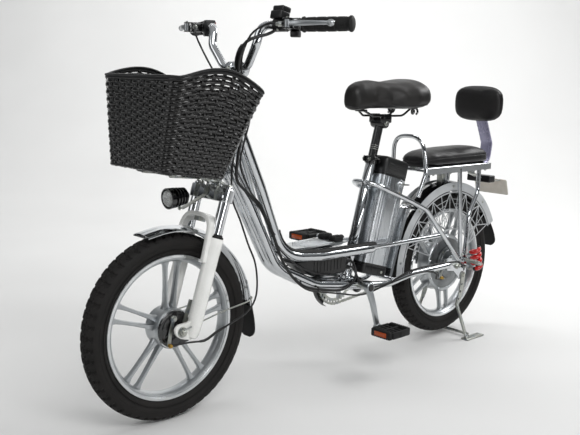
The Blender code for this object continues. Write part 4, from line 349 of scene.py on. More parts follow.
def finish(name, codes, rough, grain, depth, patch=0.06, metallic=0.0, stretch=(1, 1, 1), **shader):
    # two or three colours in soft patches, roughness that follows finer ones, and a fine raised grain
    material, tree, surface = newMaterial(name, metallic, **shader)
    large, fine = mottled(tree, patch, 3, stretch), mottled(tree, grain, 2, stretch)
    stops = [(0.3 + 0.4 * i / (len(codes) - 1), code) for i, code in enumerate(codes)]
    tree.links.new(blended(tree, large, *stops), surface.inputs["Base Color"])
    mixed = addNode(tree, "Math", {0: large, 1: fine}, operation="ADD").outputs[0]
    tree.links.new(addNode(tree, "MapRange", {"Value": mixed, "From Min": 0.7, "From Max": 1.3,
            "To Min": rough[0], "To Max": rough[1]}).outputs["Result"], surface.inputs["Roughness"])
    raised(tree, surface, fine, depth)
    return material


# bright plating over polished steel: nearly a mirror, a little soft where hands and dust have dulled it
chromePlate = finish("chrome plate", ["#D6D8DA", "#C6C9CC"], (0.05, 0.16), 0.012, 0.00004, 0.09, 1.0)
# die-cast alloy under silver lacquer: the grain of the mould shows as a soft sparkle
castAlloy = finish("cast alloy", ["#B4B7B9", "#A5A9AC"], (0.26, 0.40), 0.0012, 0.00006, 0.05, 1.0,
                   Coat_Weight=0.3, Coat_Roughness=0.12)
# the same alloy where a lathe has cut it bright: finer, and lighter than the lacquer beside it
machinedAlloy = finish("machined alloy", ["#DADCDD", "#CBCED0"], (0.14, 0.24), 0.0009, 0.00003, 0.03, 1.0)
# motor covers: the casting again, darker with heat and brake dust
darkAlloy = finish("motor alloy", ["#8E9192", "#7B7E80"], (0.34, 0.48), 0.0015, 0.00008, 0.04, 1.0)
# zinc on pressed steel: cloudy, with the faint blue and straw of the passivation bath
zincPlate = finish("zinc plate", ["#A3A8AA", "#B2B3AB", "#939AA0"], (0.24, 0.46), 0.004, 0.00004, 0.018, 1.0)
# sprayed gloss enamel: deep black whose slight orange peel breaks up the highlights
blackEnamel = finish("black enamel", ["#060607", "#0B0B0C"], (0.16, 0.28), 0.003, 0.00003, 0.05, 0.0,
                     Coat_Weight=0.6, Coat_Roughness=0.06)
# the same in white, a trace of grey road dust lying in it
whiteEnamel = finish("white enamel", ["#F1F1EE", "#E4E4E0"], (0.18, 0.32), 0.003, 0.00003, 0.06, 0.0,
                     Coat_Weight=0.5, Coat_Roughness=0.08)
# moulded rubber of grips, strips, flaps and pedals: no gloss, a bloom of grey
blackRubber = finish("black rubber", ["#0E0E0E", "#161616"], (0.50, 0.66), 0.0010, 0.00008, 0.03,
                     Specular_IOR_Level=0.3)
# tyre rubber: warmer and duller, dust rubbed into it
tyreRubber = finish("tyre rubber", ["#161514", "#211F1E"], (0.62, 0.80), 0.0014, 0.00010, 0.035,
                    Specular_IOR_Level=0.25)
# injection-moulded casings: a spark-eroded mould leaves a fine even grain
mouldedPlastic = finish("moulded plastic", ["#080809", "#0E0E0F"], (0.30, 0.44), 0.0009, 0.00006, 0.05)
# grey polypropylene of the skirt guard
greyPlastic = finish("grey plastic", ["#BDBFC1", "#AEB1B3"], (0.30, 0.42), 0.0012, 0.00004, 0.05)
# the coil's red enamel, baked on thick
redEnamel = finish("red enamel", ["#C3130E", "#AD0E0B"], (0.16, 0.26), 0.004, 0.00003, 0.02, 0.0,
                   Coat_Weight=0.6, Coat_Roughness=0.08)
# the backrest's bar, still in its thin violet film: soft lengthwise creases
filmBar = finish("film-covered bar", ["#A9A7BF", "#8F8DA8"], (0.18, 0.34), 0.006, 0.00025, 0.03, 0.35,
                 (1, 1, 0.3))
# brass of the cables' nipples and the battery's socket, browned by the weather
brass = finish("brass", ["#B9974F", "#A4833E"], (0.25, 0.40), 0.0015, 0.00004, 0.02, 1.0)
# soft vinyl sheath over the cables' steel liner
cableSheath = finish("cable sheath", ["#080809", "#0F0F10"], (0.34, 0.46), 0.002, 0.00003, 0.03)
# acid-dull blank plate, a little dirty
palePlate = finish("pale plate", ["#DDDAD0", "#CFCBBF"], (0.36, 0.50), 0.002, 0.00004, 0.03)
# cane made of flat polypropylene strip, drawn smooth: it shines, with a faint cloudiness
wovenCane = finish("woven plastic cane", ["#0B0908", "#070606", "#0F0D0B"], (0.16, 0.34), 0.0030, 0.00010,
                   0.02, Coat_Weight=0.25, Coat_Roughness=0.10)


# pebbled grain, drawn coarser than the real 1 mm so it shows, and creases
def vinylFinish(name, codes, grain=0.0024):
    material, tree, surface = newMaterial(name, Coat_Weight=0.06, Coat_Roughness=0.30,
                                          Specular_IOR_Level=0.35)
    cells = addNode(tree, "TexVoronoi", {"Vector": placeOn(tree), "Scale": 1 / grain},
                    feature="F1").outputs["Distance"]
    large, crease = mottled(tree, 0.05, 3), mottled(tree, 0.030, 4, (1, 0.5, 1), 0.6)
    tree.links.new(blended(tree, large, (0.3, codes[0]), (0.7, codes[1])), surface.inputs["Base Color"])
    tree.links.new(spread(tree, large, 0.42, 0.52), surface.inputs["Roughness"])
    under = raised(tree, surface, crease, 0.0006, 0.30)
    raised(tree, surface, cells, 0.00030, 0.55, under)
    return material


# seat covers: grained vinyl stretched over foam, satin where it is pulled tight
seatVinyl = vinylFinish("grained vinyl", ["#0D0C0C", "#141213"])
saddleVinyl = vinylFinish("saddle vinyl", ["#100E0D", "#181513"], 0.0016)


def brushedFinish():  # extruded case: the brush leaves long fine lines up the battery
    material, tree, surface = newMaterial("brushed aluminium", 1.0)
    lines = mottled(tree, 0.0012, 2, (1, 1, 0.03))
    large = mottled(tree, 0.08, 2)
    tree.links.new(blended(tree, large, (0.3, "#C4C7CA"), (0.7, "#B3B7BA")), surface.inputs["Base Color"])
    tree.links.new(spread(tree, lines, 0.22, 0.40), surface.inputs["Roughness"])
    raised(tree, surface, lines, 0.00005)
    return material


brushedAluminium = brushedFinish()


# clear or tinted plastic with moulded prisms behind the face
def lensFinish(name, code, clear, rough, pitch):
    material, tree, surface = newMaterial(name, 0.0, Transmission_Weight=clear, IOR=1.49)
    dust = mottled(tree, 0.02, 3)
    tree.links.new(blended(tree, dust, (0.3, code), (0.75, code)), surface.inputs["Base Color"])
    tree.links.new(spread(tree, dust, rough, rough + 0.05), surface.inputs["Roughness"])
    prisms = addNode(tree, "TexWave", {"Vector": placeOn(tree), "Scale": 0.31 / pitch},
                     bands_direction="Y").outputs["Fac"]
    raised(tree, surface, prisms, 0.0004, 0.5)
    return material


clearLens = lensFinish("clear lens", "#F2F4F2", 0.85, 0.03, 0.004)
redLens = lensFinish("red lens", "#A5100B", 0.25, 0.10, 0.003)
amberLens = lensFinish("amber reflector", "#B4490F", 0.20, 0.12, 0.003)
slotFinish = {"chrome": chromePlate, "cast_alloy": castAlloy, "zinc_steel": zincPlate,
              "black_enamel": blackEnamel, "white_enamel": whiteEnamel, "black_rubber": blackRubber,
              "tyre_rubber": tyreRubber, "black_plastic": mouldedPlastic, "woven_plastic": wovenCane,
              "black_vinyl": seatVinyl, "brushed_aluminium": brushedAluminium, "clear_lens": clearLens,
              "red_lens": redLens, "grey_plastic": greyPlastic, "red_enamel": redEnamel}
for part in frame["record"]["subparts"]:
    if part["node"] in frame["nodes"]:
        solid = frame["nodes"][part["node"]]
        for spot in solid.material_slots:
            spot.material = slotFinish[part["material_slot"]]
print("finishes made:", len(slotFinish))

# Stage, lights and camera
studio = {"floor": "#DCDCDB", "keyPower": 60, "fillPower": 14, "rimPower": 42, "wallPower": 120,
          "stripPower": 14, "sky": 0.42}


def makeStudio():
    bm = bmesh.new()
    toward = Vector((-0.72, -0.69, 0)).normalized()  # away from the camera
    side = Vector((-toward.y, toward.x, 0))
    rows = []
    for reach, high in [(-6, 0), (0, 0), (2.2, 0)] + [(2.2 + 1.6 * math.sin(math.radians(a)),
            1.6 - 1.6 * math.cos(math.radians(a))) for a in range(10, 91, 10)] + [(3.8, 4.5)]:
        rows.append([toward * reach + side * w + top * high for w in (-9, -3, 0, 3, 9)])
    addSkin(bm, rows, caps=False, loop=False)
    bmesh.ops.recalc_face_normals(bm, faces=bm.faces)
    mesh = bpy.data.meshes.new("studioFloor")
    bm.to_mesh(mesh)
    bm.free()
    floor = bpy.data.objects.new("studioFloor", mesh)
    bpy.context.scene.collection.objects.link(floor)
    mesh.shade_smooth()
    material, tree, surface = newMaterial("studio floor")
    cloud = mottled(tree, 0.6, 2)
    tree.links.new(blended(tree, cloud, (0.3, studio["floor"]), (0.7, "#E0E0DF")),
                   surface.inputs["Base Color"])
    tree.links.new(spread(tree, cloud, 0.6, 0.75), surface.inputs["Roughness"])
    mesh.materials.append(material)
    for name, place, aim, size, power in (
            ("keyLight", (1.2, 2.6, 2.8), (0, 0, 0.5), (2.2, 1.4), studio["keyPower"]),
            ("fillLight", (3.4, -0.6, 1.6), (0, 0, 0.5), (2.0, 1.6), studio["fillPower"]),
            ("rimLight", (-2.6, 0.6, 2.4), (0, 0, 0.5), (1.6, 0.8), studio["rimPower"]),
            ("wallLight", (-0.9, -0.9, 3.6), (-3.4, -3.2, 1.2), (4.0, 1.2), studio["wallPower"]),
            ("stripLight", (0.2, 3.2, 0.7), (0, 0, 0.45), (2.6, 0.25), studio["stripPower"])):
        lamp = bpy.data.lights.new(name, "AREA")
        lamp.shape, lamp.size, lamp.size_y, lamp.energy = "RECTANGLE", size[0], size[1], power
        holder = bpy.data.objects.new(name, lamp)
        bpy.context.scene.collection.objects.link(holder)
        holder.location = place
        holder.rotation_euler = (Vector(place) - Vector(aim)).to_track_quat("Z", "Y").to_euler()
    # a pale sky with a darker band low down, which gives the chrome something to mirror
    world = bpy.data.worlds.new("studio")
    bpy.context.scene.world = world
    world.use_nodes = True
    tree = world.node_tree
    where = addNode(tree, "TexCoord")
    height = addNode(tree, "SeparateXYZ", {"Vector": where.outputs["Generated"]}).outputs["Z"]
    shade = addNode(tree, "MapRange", {"Value": height, "From Min": -0.4, "From Max": 1.0}).outputs["Result"]
    sky = blended(tree, shade, (0.0, "#3A3B3D"), (0.26, "#141516"), (0.38, "#5A5D60"), (0.60, "#D4D8DB"),
                  (1.0, "#FFFFFF"))
    tree.links.new(sky, tree.nodes["Background"].inputs["Color"])
    tree.nodes["Background"].inputs["Strength"].default_value = studio["sky"]
    bpy.context.scene.view_settings.view_transform = "Standard"


# the camera solved from the photo: place in metres, turns in degrees, reach and width in pixels
view = {"place": (1.773, 1.691, 0.875), "yaw": -133.4, "pitch": -9.7, "roll": -1.40, "reach": 840,
        "width": 580, "sensor": 36}


def makeCamera():
    yaw, pitch, roll = (math.radians(view[turn]) for turn in ("yaw", "pitch", "roll"))
    out = Vector((math.cos(pitch) * math.cos(yaw), math.cos(pitch) * math.sin(yaw), math.sin(pitch)))
    right = out.cross(top).normalized()
    down = out.cross(right)
    sideways = right * math.cos(roll) + down * math.sin(roll)
    below = down * math.cos(roll) - right * math.sin(roll)
    lens = bpy.data.cameras.new("camera")
    lens.sensor_width, lens.lens = view["sensor"], view["sensor"] * view["reach"] / view["width"]
    camera = bpy.data.objects.new("camera", lens)
    bpy.context.scene.collection.objects.link(camera)
    camera.matrix_world = Matrix.Translation(Vector(view["place"])) @ Matrix(
        (sideways, -below, -out)).transposed().to_4x4()
    bpy.context.scene.camera = camera


makeStudio()
makeCamera()
print("studio ready")

# Wheels: cast alloy, five pairs of spokes
wheelSizes = {"rim": 0.1865, "rimHalf": 0.020, "rimDepth": 0.019, "tyre": 0.240, "tyreHalf": 0.031,
              "tyreDepth": 0.048, "pitches": 54, "groove": 0.0042, "spoke": 0.011, "spokeDepth": 0.014}


def polar(turn, radius, y=0.0):
    return Vector((math.cos(turn) * radius, y, math.sin(turn) * radius))


def makeWheel(side, axle, hub, phase, body):
    s = wheelSizes
    bm = bmesh.new()
    r, h, d = s["rim"], s["rimHalf"], s["rimDepth"]
    half = [(h, r), (h + 0.0006, r - 0.002), (h + 0.0006, r - 0.0075), (h - 0.0006, r - 0.0085),
            (h - 0.0012, r - 0.012), (h - 0.006, r - 0.0155), (h - 0.013, r - 0.0185)]
    profile = [(-a, b) for a, b in half] + [(0, r - d)] + list(reversed(half)) + [(h - 0.005, r),
            (0, r - 0.010), (0.005 - h, r)]
    addTurned(bm, axle, left, profile, 120, closed=True)
    for way in (-1, 1):  # the bright edge that the lathe leaves
        addTurned(bm, axle + left * way * (h + 0.0002), left * way, [(0, r - 0.0074), (0.0009, r - 0.0072),
                (0.0009, r - 0.0004), (0, r - 0.0002)], 120, closed=True, mat=1)
    for pair in range(5):
        for way in (-1, 1):
            middle = math.radians(90 + phase + 72 * pair)
            root = middle + way * math.radians(13)
            tip = middle + way * math.radians(6.5)
            start, end = axle + polar(root, hub - 0.006), axle + polar(tip, r - d + 0.004)
            flat = (end - start).cross(left).normalized()
            rings = []
            for share, wide, deep in ((0, 2.0, 1.75), (0.06, 1.5, 1.5), (0.16, 1.1, 1.25),
                                      (0.45, 0.86, 1.05), (0.72, 0.90, 1.0), (0.88, 1.15, 1.0),
                                      (0.96, 1.7, 1.15), (1.0, 2.3, 1.4)):
                point = start.lerp(end, share)
                w, t = s["spoke"] * wide / 2, s["spokeDepth"] * deep / 2
                ring = []
                for a, b in ((1, 0.5), (0.72, 0.92), (0.30, 0.86), (-0.30, 0.86), (-0.72, 0.92), (-1, 0.5)):
                    ring.append(point + flat * (w * a) + left * (t * b))
                for a, b in ((-1, -0.5), (-0.72, -0.92), (-0.30, -0.86), (0.30, -0.86), (0.72, -0.92),
                             (1, -0.5)):
                    ring.append(point + flat * (w * a) + left * (t * b))
                rings.append(ring)
            addSkin(bm, rings)
    w = 0.027
    if side == "front":
        addTurned(bm, axle, left, [(-w, 0.008), (-w, 0.019), (-w + 0.002, 0.021), (-w + 0.003, 0.040),
                                   (-w, 0.043), (-w, 0.047), (-w + 0.0025, 0.0505), (-0.018, 0.052),
                                   (-0.012, 0.0505), (0.012, 0.0505), (0.018, 0.052), (w - 0.0025, 0.0515),
                                   (w, 0.0495), (w, 0.0440), (w - 0.001, 0.0075)], 96)
        addTurned(bm, axle + left * w, left, [(0, 0.0445), (0.0007, 0.0448), (0.0007, 0.0490), (0, 0.0494)],
                  96, True, mat=1)
        for turn in turnsOf(10):
            addBolt(bm, axle + polar(turn, 0.031, 0.0025 - w), -left, 0.0026, 0.0018, mat=1)
    else:
        for way in (-1, 1):
            addTurned(bm, axle, left * way, [(0, 0.0965), (0.010, 0.0965), (0.013, 0.098), (0.021, 0.098),
                    (0.0245, 0.0945), (0.0245, 0.0865), (0.0225, 0.0855)], 120)
            addTurned(bm, axle + left * way * 0.0225, left * way, [(0, 0.0862), (0.0008, 0.0850),
                    (0.0012, 0.070), (0.0030, 0.066), (0.0030, 0.046), (0.0045, 0.042), (0.0045, 0.012)], 96,
                      mat=2)
            for i in range(9):
                addBolt(bm, axle + polar(2 * math.pi * i / 9 + 0.2, 0.0905, way * 0.0240), left * way,
                        0.0027, 0.0022, mat=1)
            for i in range(18):  # cooling ribs on the cover
                turn = 2 * math.pi * i / 18
                addStrap(bm, [axle + polar(turn, 0.050, way * 0.0256),
                              axle + polar(turn, 0.064, way * 0.0254)], polar(turn + math.pi / 2, 1), 0.0022,
                         0.0012, mat=2)
    makePiece(side + "WheelCasting", bm, [castAlloy, machinedAlloy, darkAlloy], body,
              [side + "_wheel_casting"], 32)


# how deep the groove is, from 0 to 1, at u pitches round the tyre and a place s across it, from -1 to 1
def treadDepth(u, s):
    zig = abs((u * 2) % 2 - 1)
    if abs(abs(s) - (0.20 + 0.07 * zig)) < 0.035:
        return 1.0
    if abs(s) > 0.30:
        phase = (u + 0.16 * (abs((abs(s) * 5.0) % 2 - 1)) + (0.5 if s > 0 else 0)) % 1
        return 1.0 if phase < 0.32 else 0.0
    return 1.0 if (u + 0.25) % 1 < 0.10 and abs(s) < 0.16 else 0.0


def makeTyre(side, axle, body):
    s = wheelSizes
    steps, middle = s["pitches"] * 14, s["tyre"] - s["tyreDepth"] / 2
    shape = [(-0.0184, s["rim"] + 0.0004, None), (-0.0205, s["rim"] + 0.003, None),
             (-0.0265, s["rim"] + 0.012, None)]
    for i in range(47):
        turn = math.radians(200 - 220 * i / 46)
        lateral = (math.cos(turn)) / math.cos(math.radians(32))
        y = s["tyreHalf"] * math.cos(turn)
        r = middle + s["tyreDepth"] / 2 * math.sin(turn)
        if math.sin(turn) > 0:  # a little squarer than an ellipse at the shoulders
            r = middle + s["tyreDepth"] / 2 * math.sin(turn) ** 0.92
        shape.append((y, r, lateral if abs(lateral) <= 1 and math.sin(turn) > 0 else None))
    shape += [(0.0265, s["rim"] + 0.012, None), (0.0205, s["rim"] + 0.003, None),
              (0.0184, s["rim"] + 0.0004, None)]
    bm = bmesh.new()
    rows = []
    for k in range(steps):
        turn = 2 * math.pi * k / steps
        ring = []
        for y, r, lateral in shape:
            cut = s["groove"] * treadDepth(k / 14, lateral) if lateral is not None else 0.0
            ring.append(axle + polar(turn, r - cut, y))
        rows.append(ring)
    addSkin(bm, rows, closed=True, caps=False, loop=False)
    for way in (-1, 1):  # fine raised lines round the sidewall
        for r, y in ((0.1995, 0.0287), (0.2015, 0.0292), (0.213, 0.0312)):
            addTurned(bm, axle + left * way * (y - 0.0008), left * way, [(0, r - 0.0006),
                    (0.0009, r - 0.0003), (0.0009, r + 0.0003), (0, r + 0.0006)], 120, True)
    makePiece(side + "Tyre", bm, tyreRubber, body, [side + "_tyre"], 28)


makeWheel("front", frontAxle, 0.052, 4, "front_wheel")
makeWheel("rear", rearAxle, 0.098, 26, "rear_wheel")
makeTyre("front", frontAxle, "front_wheel")
makeTyre("rear", rearAxle, "rear_wheel")
print("wheels done")

# Fork: chrome crown and stanchions, white lowers with a flat arch
forkSizes = {"legY": 0.058, "legRadius": 0.0195, "set": 0.005, "low": -0.012, "high": 0.245,
             "stanchion": 0.014, "crownLow": 0.337, "crownHigh": 0.372, "arch": 0.295, "archFoot": 0.185}


def makeFork():
    s = forkSizes
    bm = bmesh.new()
    half = s["legY"] + s["stanchion"] + 0.004
    middle = (s["crownLow"] + s["crownHigh"]) / 2
    addPlate(bm, roundBox(0.018, half, 0.0135, 8), forkAt(s["set"], 0, middle), headAhead, left, 0.035,
             0.0025)
    addTurned(bm, forkAt(0, 0, s["crownHigh"] - 0.002), headUp, [(0, 0.0215), (0.006, 0.0205),
            (0.010, 0.0150), (0.026, 0.0127), (0.212, 0.0127)], 40)
    for side in (-1, 1):
        y = side * s["legY"]
        addRod(bm, forkAt(s["set"], y, 0.110), forkAt(s["set"], y, s["crownHigh"] + 0.006), s["stanchion"],
               40, 0.0012)
        addTurned(bm, forkAt(s["set"], y, s["crownHigh"] + 0.0055), headUp,
                  [(0, 0.0118), (0.0030, 0.0118), (0.0042, 0.0105)], 6, mat=1)
        addTurned(bm, forkAt(s["set"], y, s["crownHigh"] + 0.0085), headUp, [(0, 0.006), (0.0012, 0.006)],
                  24, mat=1)
        for up in (0.346, 0.362):  # the clamp's pinch bolts
            addBolt(bm, forkAt(s["set"] - 0.0178, side * (s["legY"] - 0.020), up), -headAhead, 0.0032,
                    0.0032, mat=1)
        addSlab(bm, Vector((-0.0035, -0.0010, -0.0175)), Vector((0.0235, 0.0010, 0.0175)), 0.0004,
                Matrix.Translation(forkAt(s["set"] + 0.0008, side * (s["legY"] - 0.0165),
                                          middle)) @ facing(headAhead, headUp), 1, mat=1)
    makePiece("forkCrown", bm, [chromePlate, zincPlate], "steering", ["fork_crown_and_stanchions"])

    bm = bmesh.new()
    for side in (-1, 1):
        y, r = side * s["legY"], s["legRadius"]
        addTurned(bm, forkAt(s["set"], y, s["low"]), headUp, [(0, r * 0.55), (0.002, r * 0.70),
                (0.012, r * 0.88), (0.035, r * 0.97), (0.06, r), (0.205, r), (0.215, r * 1.0),
                (0.2165, r * 1.035), (0.2525, r * 1.035), (0.2555, r * 0.99), (0.257, r * 0.90)], 48)
        drop = [(-0.004, 0.030), (-0.004, -0.010), (0.004, -0.0165), (0.020, -0.018), (0.034, -0.0175),
                (0.045, -0.0135), (0.053, -0.007), (0.057, 0.001), (0.0555, 0.009), (0.050, 0.0150),
                (0.040, 0.0195), (0.026, 0.0245), (0.016, 0.031)]
        addPlate(bm, drop, forkAt(s["set"], y, 0), headAhead, headUp, 0.010, 0.0018)
        addTurned(bm, frontAxle + left * (y - side * 0.0049), left * side,
                  [(0, 0.0135), (0.0098, 0.0135), (0.0108, 0.0122)], 36)
    foot = forkAt(s["set"] + s["legRadius"] * 0.50, s["legY"], s["archFoot"] - 0.006)
    high = forkAt(s["set"] + s["legRadius"] * 0.9, s["legY"], s["arch"])
    path = bent([foot, high, flipped(high), flipped(foot)], 0.046, 14)
    rings = []
    for i, (point, (along, _, _)) in enumerate(zip(path, directions(path))):
        share = abs(2 * i / (len(path) - 1) - 1)
        flat = headAhead.cross(along).normalized() * (0.0055 + 0.0015 * share ** 3)
        deep = headAhead * (0.0145 + 0.0030 * share ** 4)
        rings.append([point + flat * b + deep * a for a, b in ((1, 0.6), (0.92, 1), (0.4, 0.92),
                (-0.4, 0.92), (-0.92, 1), (-1, 0.6), (-1, -0.6), (-0.92, -1), (0.92, -1), (1, -0.6))])
    addSkin(bm, rings)
    hole = forkAt(s["set"] + s["legRadius"] * 0.9 + 0.0040, 0, s["arch"] + 0.0053)
    # the stay's hole in the arch's crown: a dark disc painted there as the shade inside the hole
    addTurned(bm, hole, headUp, [(0, 0.0045), (0.0004, 0.0042)], 24, mat=1)
    makePiece("forkLowers", bm, [whiteEnamel, blackEnamel], "fork_slider", ["fork_lowers"],
              30)

    bm = bmesh.new()
    for side in (-1, 1):
        place = forkAt(s["set"], side * s["legY"], s["high"])
        addTurned(bm, place, headUp, [(-0.0005, 0.0190), (0.0025, 0.0192), (0.0045, 0.0180), (0.0052, 0.0160),
                                      (0.0085, 0.0155), (0.0095, 0.0143)], 40)
    makePiece("dustSeals", bm, blackRubber, "fork_slider")


def makeFrontBrake():
    bm = bmesh.new()
    addTurned(bm, frontAxle + left * 0.0275, left, [(0, 0.0470), (0.0035, 0.0470), (0.0045, 0.0455),
            (0.0052, 0.0400), (0.0075, 0.0385), (0.0088, 0.0300), (0.0092, 0.0175), (0.0135, 0.0160),
            (0.0150, 0.0125), (0.0235, 0.0118), (0.0250, 0.0095)], 80)
    for i in range(8):  # ribs pressed into the plate
        turn = 2 * math.pi * i / 8 + 0.3
        addStrap(bm, [frontAxle + polar(turn, 0.018, 0.0368), frontAxle + polar(turn, 0.037, 0.0352)],
                 polar(turn + math.pi / 2, 1), 0.0030, 0.0016)
    pin = frontAxle + headAhead * 0.018 + headUp * 0.026
    addTurned(bm, pin + left * 0.0335, left, [(0, 0.0110), (0.0042, 0.0105), (0.0046, 0.0080)], 30)
    # the cable's stop and the arm that holds the plate still
    lug = frontAxle + Vector((-0.030, 0.0335, -0.030))
    addPlate(bm, [(-0.010, -0.007), (0.016, -0.010), (0.018, 0.010), (-0.004, 0.008)], lug, forward, top,
             0.0055)
    addPlate(bm, [(-0.006, 0.0), (0.006, 0.0), (0.0045, 0.060), (-0.0045, 0.060)],
             frontAxle + Vector((-0.024, 0.0375, 0.014)), Vector((0.94, 0, 0.34)).normalized(),
             Vector((-0.34, 0, 0.94)).normalized(), 0.0035, mat=1)
    addRod(bm, frontAxle - left * 0.0760, frontAxle + left * 0.0760, 0.006, 24, 0.001, 1)
    for side in (-1, 1):
        start = frontAxle + left * side * 0.0633
        addTurned(bm, start, left * side,
                  [(0, 0.0135), (0.0016, 0.0135), (0.0016, 0.0105), (0.0020, 0.0105)], 32, mat=1)
        addTurned(bm, start + left * side * 0.0016, left * side,
                  [(0, 0.0106), (0.0064, 0.0106), (0.0076, 0.0094)], 6, mat=1)
    makePiece("frontBrakePlate", bm, [blackEnamel, zincPlate], "fork_slider", ["front_brake_plate"],
              32)


def makeBrakeArm(name, pin, down, length, face, body, node):
    bm = bmesh.new()
    start = pin + left * face
    path = flowing([start - down * 0.008, start + down * (length * 0.3),
                    start + down * (length * 0.6) + left * 0.001, start + down * length + left * 0.006,
                    start + down * (length + 0.004) + left * 0.0062], 18)
    addStrap(bm, path, down.cross(left), 0.011, 0.0034)
    addTurned(bm, start - left * 0.0022, left, [(0, 0.0084), (0.0048, 0.0084), (0.0056, 0.0076)], 30)
    addTurned(bm, start + left * 0.0030, left, [(0, 0.0064), (0.0030, 0.0064), (0.0040, 0.0054)], 6)
    end = path[-2]
    addRod(bm, end - left * 0.003, end + left * 0.012, 0.0044, 24, 0.0008, 1)
    addTurned(bm, end + left * 0.0040, left, [(0, 0.0058), (0.0040, 0.0058), (0.0048, 0.0050)], 6, mat=1)
    makePiece(name, bm, [zincPlate, brass], body, [node])


makeFork()
makeFrontBrake()
frontPin = frontAxle + headAhead * 0.018 + headUp * 0.026
frontDown = Vector((0.28, 0, -0.96)).normalized()
makeBrakeArm("frontBrakeArm", frontPin, frontDown, 0.066, 0.0401, "front_brake_arm", "front_brake_arm")
print("fork done")

# Mudguards: rolled sheet with a rib along the crown and edges turned in
guardSizes = {"frontRadius": 0.2575, "frontHalf": 0.0345, "rearRadius": 0.279, "rearHalf": 0.0350,
              "sheet": 0.0012}


def arc(axle, radius, first, last, steps):
    return [axle + polar(math.radians(first + (last - first) * i / steps), radius) for i in range(steps + 1)]


def addGuard(bm, path, half, sheet, drop, mat=0, flare=0.0):
    shape = []
    for i in range(25):
        a = -1 + 2 * i / 24
        rise = -drop * (abs(a) ** 2.6) + 0.0014 * math.exp(-(a / 0.13) ** 2)
        shape.append((a, rise))
    shape = [(-0.955, -drop * 1.10), (-0.985, -drop * 1.14)] + shape + [(0.985, -drop * 1.14),
            (0.955, -drop * 1.10)]
    rings = []
    for i, (centre, (along, _, _)) in enumerate(zip(path, directions(path))):
        out = left.cross(along)
        lift = flare * max(0.0, 1 - i / 6) ** 2
        outer = [centre + out * (dr + lift) + left * (half * a) for a, dr in shape]
        inner = [centre + out * (dr + lift - sheet) + left * ((half - sheet) * a) for a, dr in shape]
        rings.append(outer + list(reversed(inner)))
    addSkin(bm, rings, mat=mat)


def makeFrontGuard():
    g = guardSizes
    bm = bmesh.new()
    addGuard(bm, arc(frontAxle, g["frontRadius"], 72, 176, 72), g["frontHalf"], g["sheet"], 0.0085, 0, 0.0022)
    under = forkAt(0.0226, 0, 0.284)
    addSlab(bm, Vector((-0.011, -0.011, -0.0065)), Vector((0.011, 0.011, 0.0055)), 0.0012,
            Matrix.Translation(under) @ facing(headAhead, headUp), mat=1)
    for side in (-1, 1):  # the thin stay from the rear end down to the axle
        end = frontAxle + polar(math.radians(171), g["frontRadius"] - 0.006, side * (g["frontHalf"] - 0.001))
        path = flowing([end, end + Vector((0.020, side * 0.010, -0.004)),
                        frontAxle + Vector((-0.13, side * 0.054, 0.026)),
                        frontAxle + Vector((-0.034, side * 0.066, 0.012)),
                        frontAxle + Vector((-0.010, side * 0.0665, 0.004))], 26)
        addTube(bm, path, 0.0021, 12, mat=1)
        addBolt(bm, end - left * side * 0.001, left * side, 0.0030, 0.0026, mat=1)
    makePiece("frontMudguard", bm, [chromePlate, zincPlate], "fork_slider", ["front_mudguard"], 40)


def makeFlap(name, topPoint, down, out, length, width, body, node):
    bm = bmesh.new()
    rings = []
    side = left
    for i in range(25):
        t = i / 24
        wide = width * (0.30 + 0.20 * (0.5 - 0.5 * math.cos(math.pi * min(t / 0.74, 1))))
        if t > 0.78:
            wide *= math.sqrt(max(1 - ((t - 0.78) / 0.225) ** 2 * 0.90, 0.05))
        point = topPoint + down * (length * t) + out * (0.0025 + 0.0010 * math.sin(3 * t))
        dish = 0.0016 * (1 - 0.5 * t)
        ring = []
        for j in range(13):
            a = -1 + 2 * j / 12
            ring.append(point + side * (wide * a) + out
                        * (0.0022 - dish * a * a * 0.6 + (0.0009 if abs(a) > 0.9 else 0)))
        for j in range(12, -1, -1):
            a = -1 + 2 * j / 12
            ring.append(point + side * (wide * a) - out * (0.0014 + dish * a * a * 0.3))
        rings.append(ring)
    addSkin(bm, rings)
    for a in (-0.4, 0, 0.4):
        addStrap(bm, [topPoint + down * (length * 0.52) + side * (width * a * 0.8) + out * 0.0052,
                      topPoint + down * (length * 0.90) + side * (width * a * 0.8) + out * 0.0052], side,
                 0.0022, 0.0012)
    for way in (-1, 1):
        addBolt(bm, topPoint + down * 0.010 + side * (way * 0.009) + out * 0.0042, out, 0.0026, 0.0022, mat=1)
    makePiece(name, bm, [blackRubber, zincPlate], body, [node], 40)


makeFrontGuard()
endTurn = math.radians(176)
flapTop = frontAxle + polar(endTurn, 0.2569) + top * 0.022
makeFlap("frontMudflap", flapTop, Vector((-0.05, 0, -1)).normalized(), Vector((-1, 0, 0)), 0.118, 0.062,
         "fork_slider", "front_mudflap")

# Stem, handlebar and what is clamped to it
barSizes = {"radius": 0.0111, "gripRadius": 0.0165, "grip": 0.128, "flange": 0.0195, "lever": 0.120,
            "leverAhead": 0.053, "stemFoot": 0.5843, "stemTop": 0.680, "stemReach": 0.028}
barCentre = forkAt(barSizes["stemReach"], 0, barSizes["stemTop"])
barBend = barCentre + Vector((-0.008, 0.105, 0.105))
barEnd = Vector((barBend.x - 0.095, 0.310, barBend.z + 0.004))
gripAlong = (barEnd - barBend).normalized()


def alongGrip(reach, side):
    point = barEnd - gripAlong * reach
    return point if side > 0 else flipped(point)


def gripAxis(side):
    return gripAlong if side > 0 else flipped(gripAlong)


